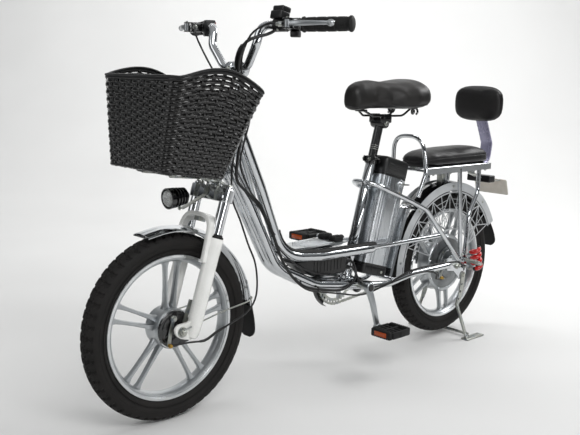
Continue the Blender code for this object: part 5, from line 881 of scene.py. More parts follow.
def makeBar():
    bm = bmesh.new()
    foot, high, reach = barSizes["stemFoot"], barSizes["stemTop"], barSizes["stemReach"]
    rise = high - foot
    addTurned(bm, forkAt(0, 0, foot), headUp, [(0, 0.0185), (0.0022, 0.0200), (0.0050, 0.0200),
            (0.0052, 0.0160), (0.0120, 0.0160), (0.0122, 0.0188), (0.0185, 0.0188), (0.0190, 0.0150),
            (rise * 0.31, 0.0148), (rise * 0.35, 0.0111), (rise - 0.012, 0.0111), (rise - 0.004, 0.0150),
            (rise + 0.012, 0.0155), (rise + 0.0175, 0.0140), (rise + 0.0190, 0.0100)], 48)
    addTurned(bm, forkAt(0, 0, high + 0.0185), headUp, [(0, 0.0062), (0.0030, 0.0062), (0.0036, 0.0054)], 6,
              mat=1)
    outer = barSizes["radius"] + 0.0065
    addTurned(bm, forkAt(reach, -0.021, high), left, [(0, outer - 0.001), (0.001, outer), (0.0195, outer),
            (0.0205, outer - 0.0012), (0.0215, outer - 0.0012), (0.0225, outer), (0.041, outer),
            (0.042, outer - 0.001), (0.042, 0.0112), (0, 0.0112)], 48, True)
    addSlab(bm, Vector((0, -0.013, -0.0105)), Vector((0.026, 0.013, 0.0105)), 0.004,
            Matrix.Translation(forkAt(0, 0, high)) @ facing(headAhead, headUp))
    addSlab(bm, Vector((-0.002, -0.0095, -0.008)), Vector((0.0075, 0.0095, 0.008)), 0.0015,
            Matrix.Translation(forkAt(reach + outer - 0.001, 0, 0.672)) @ facing(headAhead, headUp))
    addBolt(bm, forkAt(0.028 + outer + 0.0062, 0, 0.672), headAhead, 0.0042, 0.0044, mat=1)
    makePiece("stem", bm, [chromePlate, zincPlate], "steering", ["stem"], 32)

    bm = bmesh.new()
    low = barCentre + left * 0.045
    bulge = low.lerp(barBend, 0.55) + Vector((0.012, 0.010, 0))
    half = [low, bulge, barBend - gripAlong * 0.012, barEnd]
    addTube(bm, bent([flipped(point) for point in reversed(half)] + half, 0.036, 14), barSizes["radius"], 28)
    makePiece("handlebar", bm, chromePlate, "steering", ["handlebar"], 50)


def makeGrip(side, name, body, node):
    bm = bmesh.new()
    length, start, axis = barSizes["grip"], alongGrip(barSizes["grip"], side), gripAxis(side)
    first, second = across(axis)
    rings, count = [], 150
    for i in range(count + 1):
        along = length * i / count + 0.0008
        if along < 0.0045:
            r = barSizes["flange"] - 0.001 * (1 - along / 0.0045)
        elif along < 0.008:
            r = barSizes["flange"] - 0.003 * (along - 0.0045) / 0.0035
        elif along > length - 0.007:
            r = barSizes["flange"] - 0.0035 * max(0, (along - length + 0.004) / 0.004) ** 2
        elif along > length - 0.011:
            r = barSizes["gripRadius"] + 0.003 * (along - length + 0.011) / 0.004
        else:
            r = barSizes["gripRadius"] + 0.0008 * math.sin(math.pi * along / length)
        ring = []
        for j in range(72):
            t = 2 * math.pi * j / 72
            nub = 0.0
            if 0.012 < along < length - 0.015:  # small raised blocks in rows, with smooth bands between them
                band = (along - 0.012) % 0.026
                if band < 0.021:
                    nub = 0.0007 if (along % 0.0035) < 0.0024 and (j % 4) < 3 else 0.0
                else:
                    nub = -0.0003
            ring.append(start + axis * along + first * ((r + nub) * math.cos(t)) + second
                        * ((r + nub) * math.sin(t)))
        rings.append(ring)
    addSkin(bm, rings)
    makePiece(name, bm, blackRubber, body, [node], 28)


def leverPlace(side):
    out = gripAxis(side)
    start = alongGrip(barSizes["grip"] + 0.034, side)
    ahead = out.cross(top) * -side
    ahead = Vector((abs(ahead.x), ahead.y if ahead.x > 0 else -ahead.y, 0)).normalized()
    return start, start + out * 0.015, ahead, out


def makeLever(side, hand):
    start, middle, ahead, out = leverPlace(side)
    bm = bmesh.new()
    addTurned(bm, start, out, [(0, 0.0148), (0.001, 0.0158), (0.003, 0.0165), (0.027, 0.0165),
                               (0.029, 0.0158), (0.030, 0.0148), (0.030, 0.0113), (0, 0.0113)], 48, True)
    reach = barSizes["leverAhead"]
    place = Matrix.Translation(middle) @ facing(ahead, top)
    addSlab(bm, Vector((0.004, -0.0118, -0.0118)), Vector((reach - 0.0102, 0.0118, 0.0118)), 0.0030, place, 4)
    for z in (0.01165, -0.01165):
        addPlate(bm, [(reach - 0.016, -0.0120), (reach + 0.004, -0.0118), (reach + 0.0088, -0.006),
                      (reach + 0.0088, 0.006), (reach + 0.004, 0.0118), (reach - 0.016, 0.0120)],
                 middle + top * z, ahead, top.cross(ahead), 0.0026)
    addBolt(bm, middle + ahead * (reach + 0.001) + top * 0.0126, top, 0.0034, 0.0026, mat=1)
    addBolt(bm, middle - ahead * 0.0160 + top * 0.004, -ahead, 0.0030, 0.0020, mat=1)
    inner = middle + ahead * (reach - 0.020) - out * 0.010
    end = middle + ahead * (reach - 0.014) - out * 0.036
    way = (end - inner).normalized()
    addTurned(bm, inner, way, [(0, 0.0068), (0.010, 0.0066), (0.0105, 0.0058), (0.0125, 0.0058)], 28)
    addTurned(bm, inner + way * 0.0120, way, [(0, 0.0062), (0.0008, 0.0066), (0.0085, 0.0066),
            (0.0093, 0.0060), (0.0098, 0.0046), (0.0145, 0.0043), (0.0146, 0.0034)], 12, mat=1)
    makePiece(hand + "LeverHousing", bm, [blackEnamel, zincPlate], "steering", [hand + "_lever_housing"],
              32)

    bm = bmesh.new()
    pivot = middle + ahead * (reach + 0.001)
    path = flowing([pivot, pivot + out * 0.030 + ahead * 0.006, pivot + out * 0.075 + ahead * 0.002,
                    pivot + out * (barSizes["lever"] - 0.012) - ahead * 0.006], 32)
    rings = []
    for i, point in enumerate(path):
        t = i / 31
        high, thick = (0.0160 - 0.0070 * t ** 0.8) / 2, (0.0090 - 0.0030 * t) / 2
        ring = []
        for a in turnsOf(16):
            cx, cz = math.cos(a), math.sin(a)
            ring.append(point + ahead * (thick * squarer(cx, 0.6))
                        + top * (high * squarer(cz, 0.75)))
        rings.append(ring)
    addSkin(bm, rings)
    tip = path[-1]
    addTurned(bm, tip - out * 0.010, out, [(0, 0.0045), (0.003, 0.0066), (0.006, 0.0078), (0.009, 0.0082),
                                           (0.012, 0.0078), (0.015, 0.0064), (0.0172, 0.0040),
                                           (0.018, 0.0015)], 28)
    addTurned(bm, pivot - top * 0.0098, top,
              [(0, 0.0068), (0.0008, 0.0075), (0.0188, 0.0075), (0.0196, 0.0068)], 32)
    makePiece(hand + "BrakeLever", bm, castAlloy, hand + "_lever", [hand + "_brake_lever"], 40)


def makeControls():
    # display: a stepped casing with a dark glass towards the rider
    middle = barBend + gripAlong * 0.041
    base = middle + top * 0.0114
    place = Matrix.Translation(base) @ Matrix.Rotation(math.radians(-12), 4, "Y")
    bm = bmesh.new()
    addSlab(bm, Vector((-0.0150, -0.0265, 0.0010)), Vector((0.0170, 0.0125, 0.0215)), 0.0035, place, 4)
    addSlab(bm, Vector((-0.0168, -0.0255, 0.0200)), Vector((0.0125, 0.0115, 0.0345)), 0.0035, place, 4)
    addSlab(bm, Vector((-0.0150, -0.0160, 0.0335)), Vector((0.0030, 0.0040, 0.0360)), 0.0010, place, 2)
    addSlab(bm, Vector((-0.0172, -0.0225, 0.0228)), Vector((-0.0160, 0.0085, 0.0325)), 0.0005, place, 2,
            mat=1)
    addSlab(bm, Vector((-0.0162, -0.0245, 0.0035)), Vector((-0.0145, 0.0005, 0.0190)), 0.0006, place, 2)
    addTurned(bm, middle - gripAlong * 0.018, gripAlong, [(0, 0.0158), (0.001, 0.0166), (0.035, 0.0166),
            (0.036, 0.0158), (0.036, 0.0113), (0, 0.0113)], 40, True)
    addBolt(bm, middle + Vector((0.012, 0, -0.0118)), Vector((0.7, 0, -0.7)), 0.0026, 0.0020, mat=2)
    makePiece("displayPod", bm, [mouldedPlastic, blackEnamel, zincPlate], "steering", ["display_pod"],
              32)
    bm = bmesh.new()
    face = base + Matrix.Rotation(math.radians(-12), 3, "Y") @ Vector((-0.017, -0.006, 0.012))
    out = Matrix.Rotation(math.radians(-12), 3, "Y") @ Vector((-1, 0, 0))
    addTurned(bm, face - out * 0.0008, out,
              [(0, 0.0052), (0.0034, 0.0052), (0.0045, 0.0044), (0.0048, 0.0020)], 28)
    makePiece("hornButton", bm, redLens, "horn_button", ["horn_button"])
    # switch boxes beside both grips, each with its buttons
    for side, name in ((1, "leftSwitchBox"), (-1, "rightSwitchBox")):
        start, centre, ahead, out = leverPlace(side)
        spot = start - out * (0.019 if side < 0 else 0.0)
        bm = bmesh.new()
        turn = Matrix.Translation(spot if side < 0 else centre) @ facing(ahead, top)
        if side > 0:
            addSlab(bm, Vector((-0.0130, -0.0105, -0.0300)), Vector((0.0110, 0.0105, -0.0150)), 0.0028, turn,
                    3)
            addSlab(bm, Vector((-0.0165, -0.0045, -0.0270)), Vector((-0.0125, 0.0045, -0.0190)), 0.0010,
                    turn, 2, mat=1)
        else:
            addSlab(bm, Vector((-0.0150, -0.0130, -0.0235)), Vector((0.0150, 0.0130, 0.0195)), 0.0040, turn,
                    4)
            addSlab(bm, Vector((-0.0175, -0.0060, -0.0060)), Vector((-0.0140, 0.0060, 0.0060)), 0.0012, turn,
                    2, mat=1)
            addSlab(bm, Vector((-0.0175, -0.0050, 0.0090)), Vector((-0.0140, 0.0050, 0.0150)), 0.0010, turn,
                    2, mat=2)
        makePiece(name, bm, [mouldedPlastic, greyPlastic, redLens], "steering")


makeBar()
makeGrip(1, "leftGrip", "steering", "left_grip")
makeGrip(-1, "throttleGrip", "throttle", "throttle_grip")
makeLever(1, "left")
makeLever(-1, "right")
makeControls()
print("bars done")

# Headlight
lampSizes = {"ahead": 0.108, "up": 0.3215, "radius": 0.026, "length": 0.062, "dip": 4}


def makeHeadlight():
    s = lampSizes
    dip, r, length = math.radians(s["dip"]), s["radius"], s["length"]
    out = Vector((math.cos(dip), 0, -math.sin(dip)))
    back = forkAt(s["ahead"], 0, s["up"]) - out * (length / 2)
    bm = bmesh.new()
    profile = [(0, 0.0085), (0.0015, 0.0105), (0.006, 0.0125), (0.009, 0.0165)]
    for fin in range(4):
        reach, size = 0.0110 + fin * 0.0095, r * (0.84 + 0.045 * fin)
        profile += [(reach, size * 0.82), (reach + 0.0004, size), (reach + 0.0044, size),
                    (reach + 0.0050, size * 0.82)]
    profile += [(length - 0.0125, r * 0.95), (length - 0.012, r * 1.0), (length - 0.0008, r * 1.02),
                (length, r * 1.0), (length, r * 0.90), (length - 0.004, r * 0.86),
                (length - 0.016, r * 0.80), (length - 0.020, r * 0.30)]
    addTurned(bm, back, out, profile, 64)
    path = bent([back + out * 0.030 - top * (r * 0.7), back + out * 0.020 - top * (r + 0.006),
                 forkAt(0.0251, 0, 0.347), forkAt(0.0251, 0, 0.368)], 0.008, 6)
    addStrap(bm, path, left, 0.016, 0.0030, mat=1)
    addBolt(bm, back + out * 0.024 - top * (r + 0.0035), -top, 0.0036, 0.0030, mat=1)
    addBolt(bm, forkAt(0.0268, 0, 0.3585), headAhead, 0.0036, 0.0030, mat=1)
    makePiece("headlight", bm, [blackEnamel, zincPlate], "steering", ["headlight"], 30)
    bm = bmesh.new()  # bowl and bulb behind the glass
    addTurned(bm, back + out * (length - 0.0185), out, [(0, 0.004), (0.002, 0.011), (0.006, 0.0165),
            (0.0115, 0.0198), (0.0115, 0.0203), (0.0055, 0.0172), (0, 0.0110)], 56, True)
    addTurned(bm, back + out * (length - 0.0180), out,
              [(0, 0.0048), (0.005, 0.0048), (0.007, 0.0036), (0.008, 0.0010)], 24, mat=1)
    makePiece("headlightBowl", bm, [chromePlate, amberLens], "steering")
    bm = bmesh.new()
    addTurned(bm, back + out * (length - 0.0065), out, [(0, 0.0208), (0.004, 0.0212), (0.0060, 0.0205),
            (0.0085, 0.0170), (0.0102, 0.0110), (0.0110, 0.0040), (0.0111, 0.0008)], 56)
    makePiece("headlightLens", bm, clearLens, "steering", ["headlight_lens"], 50)


makeHeadlight()

# Basket: flat cane strip woven over upright stakes
basketSizes = {"rows": 23, "stakes": 40, "strip": 0.0096, "thick": 0.0012, "wave": 0.0021,
               "topLength": 0.276, "floorLength": 0.186, "topWidth": 0.336, "floorWidth": 0.248,
               "height": 0.222, "tilt": 8, "lean": 0.022, "corner": 0.042, "hump": 0.036, "drop": 0.2394,
               "front": 1.248}
tilt = math.radians(basketSizes["tilt"])
basketAlong = Vector((math.cos(tilt), 0, math.sin(tilt)))
basketUp = Vector((-math.sin(tilt), 0, math.cos(tilt)))
basketFront = bike(basketSizes["front"], 0,
                   barCentre.z - basketSizes["drop"]) - basketAlong * basketSizes["lean"]


# evenly spaced points round the basket at a height, with the way out
def basketOutline(share, count, inset=0.0):
    s = basketSizes
    length = s["floorLength"] + (s["topLength"] - s["floorLength"]) * share
    width = s["floorWidth"] + (s["topWidth"] - s["floorWidth"]) * share
    flat = [Vector(p) for p in roundBox(length / 2 - inset, width / 2 - inset,
                                        s["corner"] * (0.7 + 0.3 * share) - inset, 8)]
    flat = flat[5:] + flat[:5]
    reach = [0.0]
    for one, other in zip(flat, flat[1:] + flat[:1]):
        reach.append(reach[-1] + (other - one).length)
    made, k = [], 0
    for i in range(count):
        want = reach[-1] * i / count
        while reach[k + 1] < want:
            k += 1
        one, other = flat[k], flat[(k + 1) % len(flat)]
        spot = one.lerp(other, (want - reach[k]) / (reach[k + 1] - reach[k]))
        way = (other - one).normalized()
        back = (length / 2 - spot.x) / length
        edge = min(max((abs(spot.y) / (width / 2) - 0.80) / 0.16, 0), 1)
        lift = math.sin(math.pi * min(max((back - 0.05) / 0.90, 0), 1)) * edge * edge * (3 - 2 * edge)
        lift *= s["hump"] * max(0.0, share - 0.4) / 0.6
        point = basketFront + basketAlong * (spot.x - length / 2 + s["lean"] * share) + left * spot.y \
            + basketUp * (s["height"] * share + lift)
        made.append((point, basketAlong * way.y - left * way.x, basketAlong * way.x + left * way.y))
    return made


def makeBasket():
    s = basketSizes
    bm = bmesh.new()
    random.seed(4)
    per = 6
    count = s["stakes"] * per
    for row in range(s["rows"]):
        share = 0.018 + 0.925 * (row + 0.5) / s["rows"]
        rings = []
        sag = [random.uniform(-0.0004, 0.0004) for _ in range(s["stakes"])]
        for i, (point, out, _) in enumerate(basketOutline(share, count, 0.0026)):
            turn = math.pi * (i / per + row)
            wave = math.cos(turn)
            wave = squarer(wave, 0.8) * s["wave"] + sag[(i // per) % s["stakes"]]
            h, t = s["strip"] / 2 * (0.97 + 0.13 * abs(math.cos(turn))), s["thick"] / 2
            centre = point + out * wave
            rings.append([centre + basketUp * a * h + out * b * t for a, b in ((1, 0), (0.86, 1.3),
                    (0.55, 2.2), (0.18, 2.7), (-0.18, 2.7), (-0.55, 2.2), (-0.86, 1.3), (-1, 0), (-0.8, -1),
                    (0.8, -1))])
        addSkin(bm, rings, closed=True)
    levels = s["rows"] * 4
    columns = [basketOutline(0.965 * k / levels, s["stakes"], 0.0026) for k in range(levels + 1)]
    for stake in range(s["stakes"]):
        rings = []
        for k, column in enumerate(columns):
            point, out, side = column[stake]
            row = (0.965 * k / levels - 0.018) / 0.925 * s["rows"] - 0.5
            middle = point - out * (math.cos(math.pi * (stake + row)) * s["wave"] * 0.75)
            rings.append([middle + side * a * 0.0060 + out * b * s["thick"] * 0.6 for a, b in (
                (1, 0), (0.8, 1), (-0.8, 1), (-1, 0), (-0.8, -1), (0.8, -1))])
        addSkin(bm, rings)
    for share, high, thick, inset in ((0.962, 0.0046, 0.0030, 0.0018), (0.986, 0.0034, 0.0052, 0.0030)):
        rings = []  # the rim: a moulded band round the last rows and a roll over its edge
        for point, out, _ in basketOutline(share, 216, inset):
            rings.append([point + out * (thick * math.cos(2 * math.pi * k / 14)) + basketUp
                          * (high * math.sin(2 * math.pi * k / 14)) for k in range(14)])
        addSkin(bm, rings, closed=True, mat=1)
    rings = []
    for i, (point, out, side) in enumerate(basketOutline(0.012, 216, 0.002)):
        rings.append([point + out * (0.0036 * math.cos(2 * math.pi * k / 10)) + basketUp
                      * (0.0036 * math.sin(2 * math.pi * k / 10) + 0.0016) for k in range(10)])
    addSkin(bm, rings, closed=True)
    floorFront = basketFront + basketUp * 0.0030
    deep = s["floorLength"]
    for k in range(19):  # the floor is woven too
        y = -0.112 + 0.224 * k / 18
        inset = 0.010 if abs(y) > 0.09 else 0.0
        path = [floorFront - basketAlong * (0.002 + inset + (deep - 0.004 - 2 * inset) * i / 60) + left * y
                + basketUp * (0.0008 * math.cos(math.pi * (i / 4 + k))) for i in range(61)]
        addStrap(bm, path, left, 0.0108, 0.0010)
    for k in range(17):
        back = 0.008 + (deep - 0.016) * k / 16
        inset = 0.012 if back < 0.02 or back > deep - 0.02 else 0.0
        path = [floorFront - basketAlong * back + left * (-0.121 + inset + (0.242 - 2 * inset) * i / 72)
                - basketUp * (0.0008 * math.cos(math.pi * (i / 4 + k))) for i in range(73)]
        addStrap(bm, path, basketAlong, 0.0085, 0.0010)
    makePiece("basket", bm, [wovenCane, mouldedPlastic], "steering", ["basket"], 40)


def makeBasketBracket():
    s = basketSizes
    floor = basketFront - basketUp * 0.0025
    bm = bmesh.new()
    addStrap(bm, [floor - basketAlong * (s["floorLength"] * 0.10),
                  floor - basketAlong * (s["floorLength"] + 0.035)], left, 0.026, 0.0034)
    for back in (0.35, 0.80):
        crossing = floor - basketAlong * (s["floorLength"] * back) - basketUp * 0.0015
        addStrap(bm, [crossing - left * 0.075, crossing + left * 0.075], basketAlong, 0.018, 0.0034)
        for y in (-0.058, 0.058):
            addBolt(bm, crossing + left * y - basketUp * 0.0017, -basketUp, 0.0032, 0.0026)
    crossing = floor - basketAlong * (s["floorLength"] * 0.35) - basketUp * 0.0015
    rear = floor - basketAlong * (s["floorLength"] + 0.030)
    for side in (-1, 1):
        foot = forkAt(-0.001, side * 0.032, 0.3723)
        high = rear + left * (side * 0.010) + basketAlong * 0.006
        addTube(bm, bent([foot, foot + headUp * 0.012, high - basketUp * 0.004], 0.012, 6), 0.0040, 16)
        knee = crossing + left * (side * 0.060) - basketUp * 0.003
        hook = forkAt(0.017, side * 0.034, 0.3723)
        addTube(bm, bent([hook, hook + headUp * 0.020, knee], 0.012, 6), 0.0026, 14)
        addBolt(bm, foot, headUp, 0.0055, 0.0046)
        addBolt(bm, hook, headUp, 0.0042, 0.0036)
    makePiece("basketBracket", bm, zincPlate, "steering", ["basket_bracket"])


makeBasket()
makeBasketBracket()
print("basket done")

# Frame: two pairs of chromed tubes, the seat tube and the stays
tubeSizes = {"main": 0.0150, "stay": 0.0080, "chainStay": 0.0100, "upperZ": 0.366, "lowerZ": 0.266,
             "headY": 0.026, "lowerY": 0.0175, "footY": 0.052, "batteryY": 0.066, "stayY": 0.076,
             "seatTube": 0.0165, "seatTop": 0.632}


def upperPath(side, steps=10):
    s = tubeSizes
    return bent([forkAt(-0.010, side * 0.0158, 0.542), bike(0.850, side * s["headY"], 0.575),
                 bike(0.775, side * (s["headY"] + 0.008), s["upperZ"] + 0.012),
                 bike(0.640, side * s["footY"], s["upperZ"]),
                 bike(0.440, side * s["batteryY"], s["upperZ"])], 0.120, steps)


def lowerPath(side, steps=10):
    s = tubeSizes
    return bent([forkAt(-0.012, side * s["lowerY"], 0.438), bike(0.905, side * s["lowerY"], 0.572),
                 bike(0.778, side * s["lowerY"], 0.345),
                 bike(0.640, side * (s["lowerY"] + 0.014), s["lowerZ"] + 0.012),
                 bike(0.410, side * 0.030, 0.240)], 0.130, steps)


def stayPath(side, steps=8):
    return bent([lowerPath(side)[-1] - Vector((0.022, -side * 0.002, 0.001)),
                 bike(0.330, side * 0.050, 0.236), bike(0.255, side * 0.066, 0.256),
                 bike(0.062, side * tubeSizes["stayY"], 0.262)], 0.060, steps)


def addWeld(bm, place, axis, radius):  # a low fillet where one tube meets another
    addTurned(bm, place - axis.normalized() * 0.003, axis, [(0, radius - 0.0008), (0.0012, radius + 0.0010),
            (0.0035, radius + 0.0014), (0.0060, radius + 0.0004), (0.0070, radius - 0.0008)], 28)


def makeFrame():
    s = tubeSizes
    bm = bmesh.new()
    low = forkAt(0, 0, 0.402)
    addTurned(bm, low, headUp, [(0, 0.0215), (0.0006, 0.0230), (0.0112, 0.0230), (0.0120, 0.0224),
                                (0.0136, 0.0210), (0.156, 0.0210), (0.1576, 0.0224), (0.1584, 0.0230),
                                (0.1694, 0.0230), (0.170, 0.0215)], 56)
    for z in (0.0135, 0.1562):
        addTurned(bm, low + headUp * z, headUp, [(0, 0.0216), (0.0004, 0.0222), (0.0008, 0.0216)], 56)
    for side in (-1, 1):
        path = upperPath(side)
        start = path[-1]
        tail = [start - Vector((0.008, 0, 0)), start - Vector((0.022, 0, -0.0005)),
                bike(0.112, side * (s["batteryY"] + 0.004), s["upperZ"] + 0.001)]
        addTube(bm, path + tail, [s["main"]] * len(path) + [0.0125, s["stay"], s["stay"]], 28)
        addWeld(bm, path[0] + (path[1] - path[0]).normalized() * 0.022, path[1] - path[0], s["main"])
    for x, y, z in ((0.8325, s["headY"], 0.521), (0.658, s["footY"] - 0.004, s["upperZ"] + 0.0023)):
        addRod(bm, bike(x, -y, z), bike(x, y, z), 0.0075, 24)
    makePiece("upperFrame", bm, chromePlate, "frame", ["upper_frame"], 50)

    bm = bmesh.new()
    for side in (-1, 1):
        path, stay = lowerPath(side), stayPath(side)
        addTube(bm, path + stay, [s["main"]] * len(path) + [s["chainStay"]] * len(stay), 28)
        addWeld(bm, path[0] + (path[1] - path[0]).normalized() * 0.020, path[1] - path[0], s["main"])
    shell = 0.036
    addTurned(bm, crankAxle - left * shell, left, [(0, 0.0200), (0.0008, 0.0215), (0.0712, 0.0215),
            (0.072, 0.0200), (0.072, 0.0150), (0, 0.0150)], 56, True)
    addTurned(bm, crankAxle + left * 0.0345, left, [(0, 0.0232), (0.0008, 0.0238), (0.0062, 0.0238),
            (0.0070, 0.0228), (0.0074, 0.0110), (0, 0.0110)], 56, True, mat=1)
    seatTop = seatReach(s["seatTop"])
    addRod(bm, seatAt(0, 0, 0.014), seatAt(0, 0, seatTop - 0.001), s["seatTube"], 40, 0.0008)
    addWeld(bm, seatAt(0, 0, 0.024), seatUp, s["seatTube"])
    r = s["seatTube"]
    addTurned(bm, seatAt(0, 0, seatTop - 0.022), seatUp, [(0, r + 0.0024), (0.0008, r + 0.0035),
            (0.0212, r + 0.0035), (0.022, r + 0.0024), (0.022, r - 0.0028), (0, r - 0.0028)], 48, True,
              mat=2)
    for y in (-0.0062, 0.0062):
        addSlab(bm, Vector((-0.0130, -0.0025, -0.0085)), Vector((0.0020, 0.0025, 0.0085)), 0.0010,
                Matrix.Translation(seatAt(-r - 0.001, y, seatTop - 0.011)) @ facing(seatBack, seatUp), mat=2)
    bolt = seatAt(-r - 0.0075, -0.0092, seatTop - 0.011)
    addBolt(bm, bolt, -left, 0.0042, 0.0044, mat=3)
    addTurned(bm, bolt + left * 0.0184, left, [(0, 0.0052), (0.0040, 0.0052), (0.0048, 0.0044)], 6, mat=3)
    for x, y, z, size in ((0.640, 0.036, s["lowerZ"] + 0.014, 0.009), (0.306, 0.058, 0.246, 0.006)):
        addRod(bm, bike(x, -y, z), bike(x, y, z), size, 24)
    makePiece("lowerFrame", bm, [chromePlate, blackEnamel, blackEnamel, zincPlate], "frame", ["lower_frame"],
              45)


dropoutOut = 0.076 - 0.010 + 0.004


def makeStays():
    s = tubeSizes
    start, wrap = seatReach(0.548), 0.0165 + 0.008 + 0.0003
    loop = bent([bike(0.006, s["stayY"], 0.276), bike(0.180, 0.066, 0.459), bike(0.250, 0.062, 0.490),
                 seatAt(0.010, 0.053, start), seatAt(-wrap, 0.030, start + 0.004),
                 seatAt(-wrap, -0.030, start + 0.004), seatAt(0.010, -0.053, start),
                 bike(0.250, -0.062, 0.490), bike(0.180, -0.066, 0.459), bike(0.006, -s["stayY"], 0.276)],
                0.050, 8)
    bm = bmesh.new()
    addTube(bm, loop, s["stay"], 24)
    outline = [(0.052, 0.030), (0.036, 0.0370), (0.020, 0.040), (-0.010, 0.0425), (-0.034, 0.042),
               (-0.045, 0.036), (-0.052, 0.026), (-0.0545, 0.0), (-0.054, -0.036), (-0.049, -0.046),
               (-0.040, -0.052), (-0.028, -0.053), (-0.016, -0.050), (-0.002, -0.034), (0.018, -0.018),
               (0.052, -0.012)]
    for side in (-1, 1):
        where = rearAxle + left * (side * (dropoutOut - 0.003))
        addPlate(bm, outline, where, forward, top, 0.006, 0.0010)
        # thin black discs on the plate's face: painted shade where the dropout's holes are
        for x, z, size in ((-0.040, 0.024, 0.0052), (-0.041, -0.020, 0.0048)):
            addTurned(bm, where + Vector((x, side * 0.0029, z)), left * side,
                      [(0, size), (0.0003, size * 0.96)], 24, mat=1)
        addRod(bm, bike(-0.034, side * (dropoutOut - 0.002), 0.214),
               bike(-0.034, side * (dropoutOut + 0.0075), 0.214), 0.004, 20)
        pin = bike(-0.014, side * 0.0885, 0.2742)
        addRod(bm, pin - Vector((0.012, 0, 0)), pin + Vector((0.012, 0, 0)), 0.003, 16)
        low, high = sorted((side * (dropoutOut - 0.002), side * 0.0945))
        for way in (-1, 1):
            a, b = sorted((way * 0.0087, way * 0.0120))
            addSlab(bm, bike(-0.014 + a, low, 0.2662), bike(-0.014 + b, high, 0.2822), 0.0010)
        addWeld(bm, bike(0.056, side * s["stayY"], 0.2618), forward, 0.0098)
    makePiece("seatStays", bm, [chromePlate, blackEnamel], "frame", ["seat_stays_and_dropouts"], 40)


def hoopPath(steps=10):
    return bent([bike(0.226, 0.066, 0.502), bike(0.191, 0.068, 0.580), bike(0.204, 0.058, 0.690),
                 bike(0.204, -0.058, 0.690), bike(0.191, -0.068, 0.580), bike(0.226, -0.066, 0.502)], 0.056,
                steps)


def makeRack():
    bm = bmesh.new()
    front = min(point.x for point in hoopPath()) - 0.0073
    for side in (-1, 1):
        y = side * 0.064
        addStrap(bm, [Vector((front, y, 0.580)), bike(-0.165, y, 0.580)], top, 0.022, 0.012)
        addTube(bm, [bike(0.008, y, 0.580), bike(-0.004, side * 0.078, 0.285)], 0.0075, 20)
        addTube(bm, bent([bike(-0.104, y, 0.580), bike(-0.103, y, 0.494), bike(-0.044, side * 0.074, 0.424),
                          bike(-0.028, side * 0.078, 0.285)], 0.050, 8), 0.0075, 20)
        for x in (0.150, 0.060, -0.060, -0.140):  # bolts that hold the seat from below
            addBolt(bm, bike(x, y, 0.569), -top, 0.0034, 0.0030, mat=1)
        for x, z in ((-0.004, 0.292), (-0.028, 0.296)):
            addBolt(bm, bike(x, side * 0.0850, z), left * side, 0.0034, 0.0030, mat=1)
    for x in (0.166, 0.020, -0.151):
        addSlab(bm, bike(x - 0.010, -0.064, 0.5765), bike(x + 0.010, 0.064, 0.5815), 0.0010)
    makePiece("rearRack", bm, [chromePlate, zincPlate], "frame", ["rear_rack"], 40)
    bm = bmesh.new()
    addTube(bm, hoopPath(), 0.0070, 24)
    makePiece("grabHoop", bm, chromePlate, "frame", ["grab_hoop"], 50)


def makeStrip(side, name, node):
    keep = [point for point in upperPath(side) if point.z < 0.462 and point.x < bike(0.800, 0, 0).x]
    line = flowing([bike(0.802, side * 0.032, 0.448)] + keep[::2] + [keep[-1]], 90)
    bm = bmesh.new()
    rings = []
    for i, (point, (along, _, _)) in enumerate(zip(line, directions(line))):
        up = (left.cross(along) * -1).normalized()
        up = -up if up.z < 0 else up
        ribbed = 0.0 if i % 3 else 0.0006  # a fine cross rib every 8 mm or so
        ring = []
        for k in range(13):
            a = math.radians(-42 + 84 * k / 12)
            ring.append(point + up * ((0.0152 + 0.0044 * math.cos(a * 1.6) + ribbed) * math.cos(a))
                        + left * ((0.0152 + 0.0044 * math.cos(a * 1.6)) * math.sin(a)))
        for k in range(12, -1, -1):
            a = math.radians(-42 + 84 * k / 12)
            ring.append(point + up * (0.0151 * math.cos(a)) + left * (0.0151 * math.sin(a)))
        rings.append(ring)
    addSkin(bm, rings)
    makePiece(name, bm, blackRubber, "frame", [node], 45)


def makeFootboard():
    boardTop, front, rear = 0.366 + 0.015 + 0.0135, 0.745, 0.520
    bm = bmesh.new()
    outline = [(front, 0.010), (front - 0.003, 0.0165), (front - 0.022, 0.0300), (0.690, 0.0370),
               (0.640, 0.0440), (0.580, 0.0478), (rear + 0.012, 0.0480), (rear + 0.003, 0.0450),
               (rear, 0.0390)]
    addPlate(bm, outline + [(a, -b) for a, b in reversed(outline)], bike(0, 0, boardTop - 0.0015), forward,
             left, 0.003, 0.0006)
    for k in range(9):
        y = -0.032 + 0.008 * k
        end = front - 0.045 - abs(y) * 0.9
        addStrap(bm, [bike(rear + 0.052, y, boardTop + 0.0004), bike(end, y, boardTop + 0.0004)], left,
                 0.0034, 0.0016)
    addRod(bm, bike(0.660, 0, 0.3755), bike(0.660, 0, boardTop - 0.001), 0.006, 24)
    for x, y in ((0.716, 0.0), (0.575, 0.040), (0.575, -0.040)):
        addBolt(bm, bike(x, y, boardTop), top, 0.0032, 0.0018, mat=2)
    for side in (-1, 1):  # two rubber blocks with ribs on top
        addSlab(bm, bike(0.528, side * 0.022 - 0.014, boardTop - 0.001),
                bike(0.566, side * 0.022 + 0.014, boardTop + 0.0135), 0.0040, mat=1)
        for k in range(5):
            x = 0.5325 + 0.0073 * k
            addSlab(bm, bike(x - 0.0020, side * 0.022 - 0.0110, boardTop + 0.010),
                    bike(x + 0.0020, side * 0.022 + 0.0110, boardTop + 0.0155), 0.0009, None, 2, 1)
    makePiece("footboard", bm, [castAlloy, blackRubber, zincPlate], "frame", ["footboard"], 35)


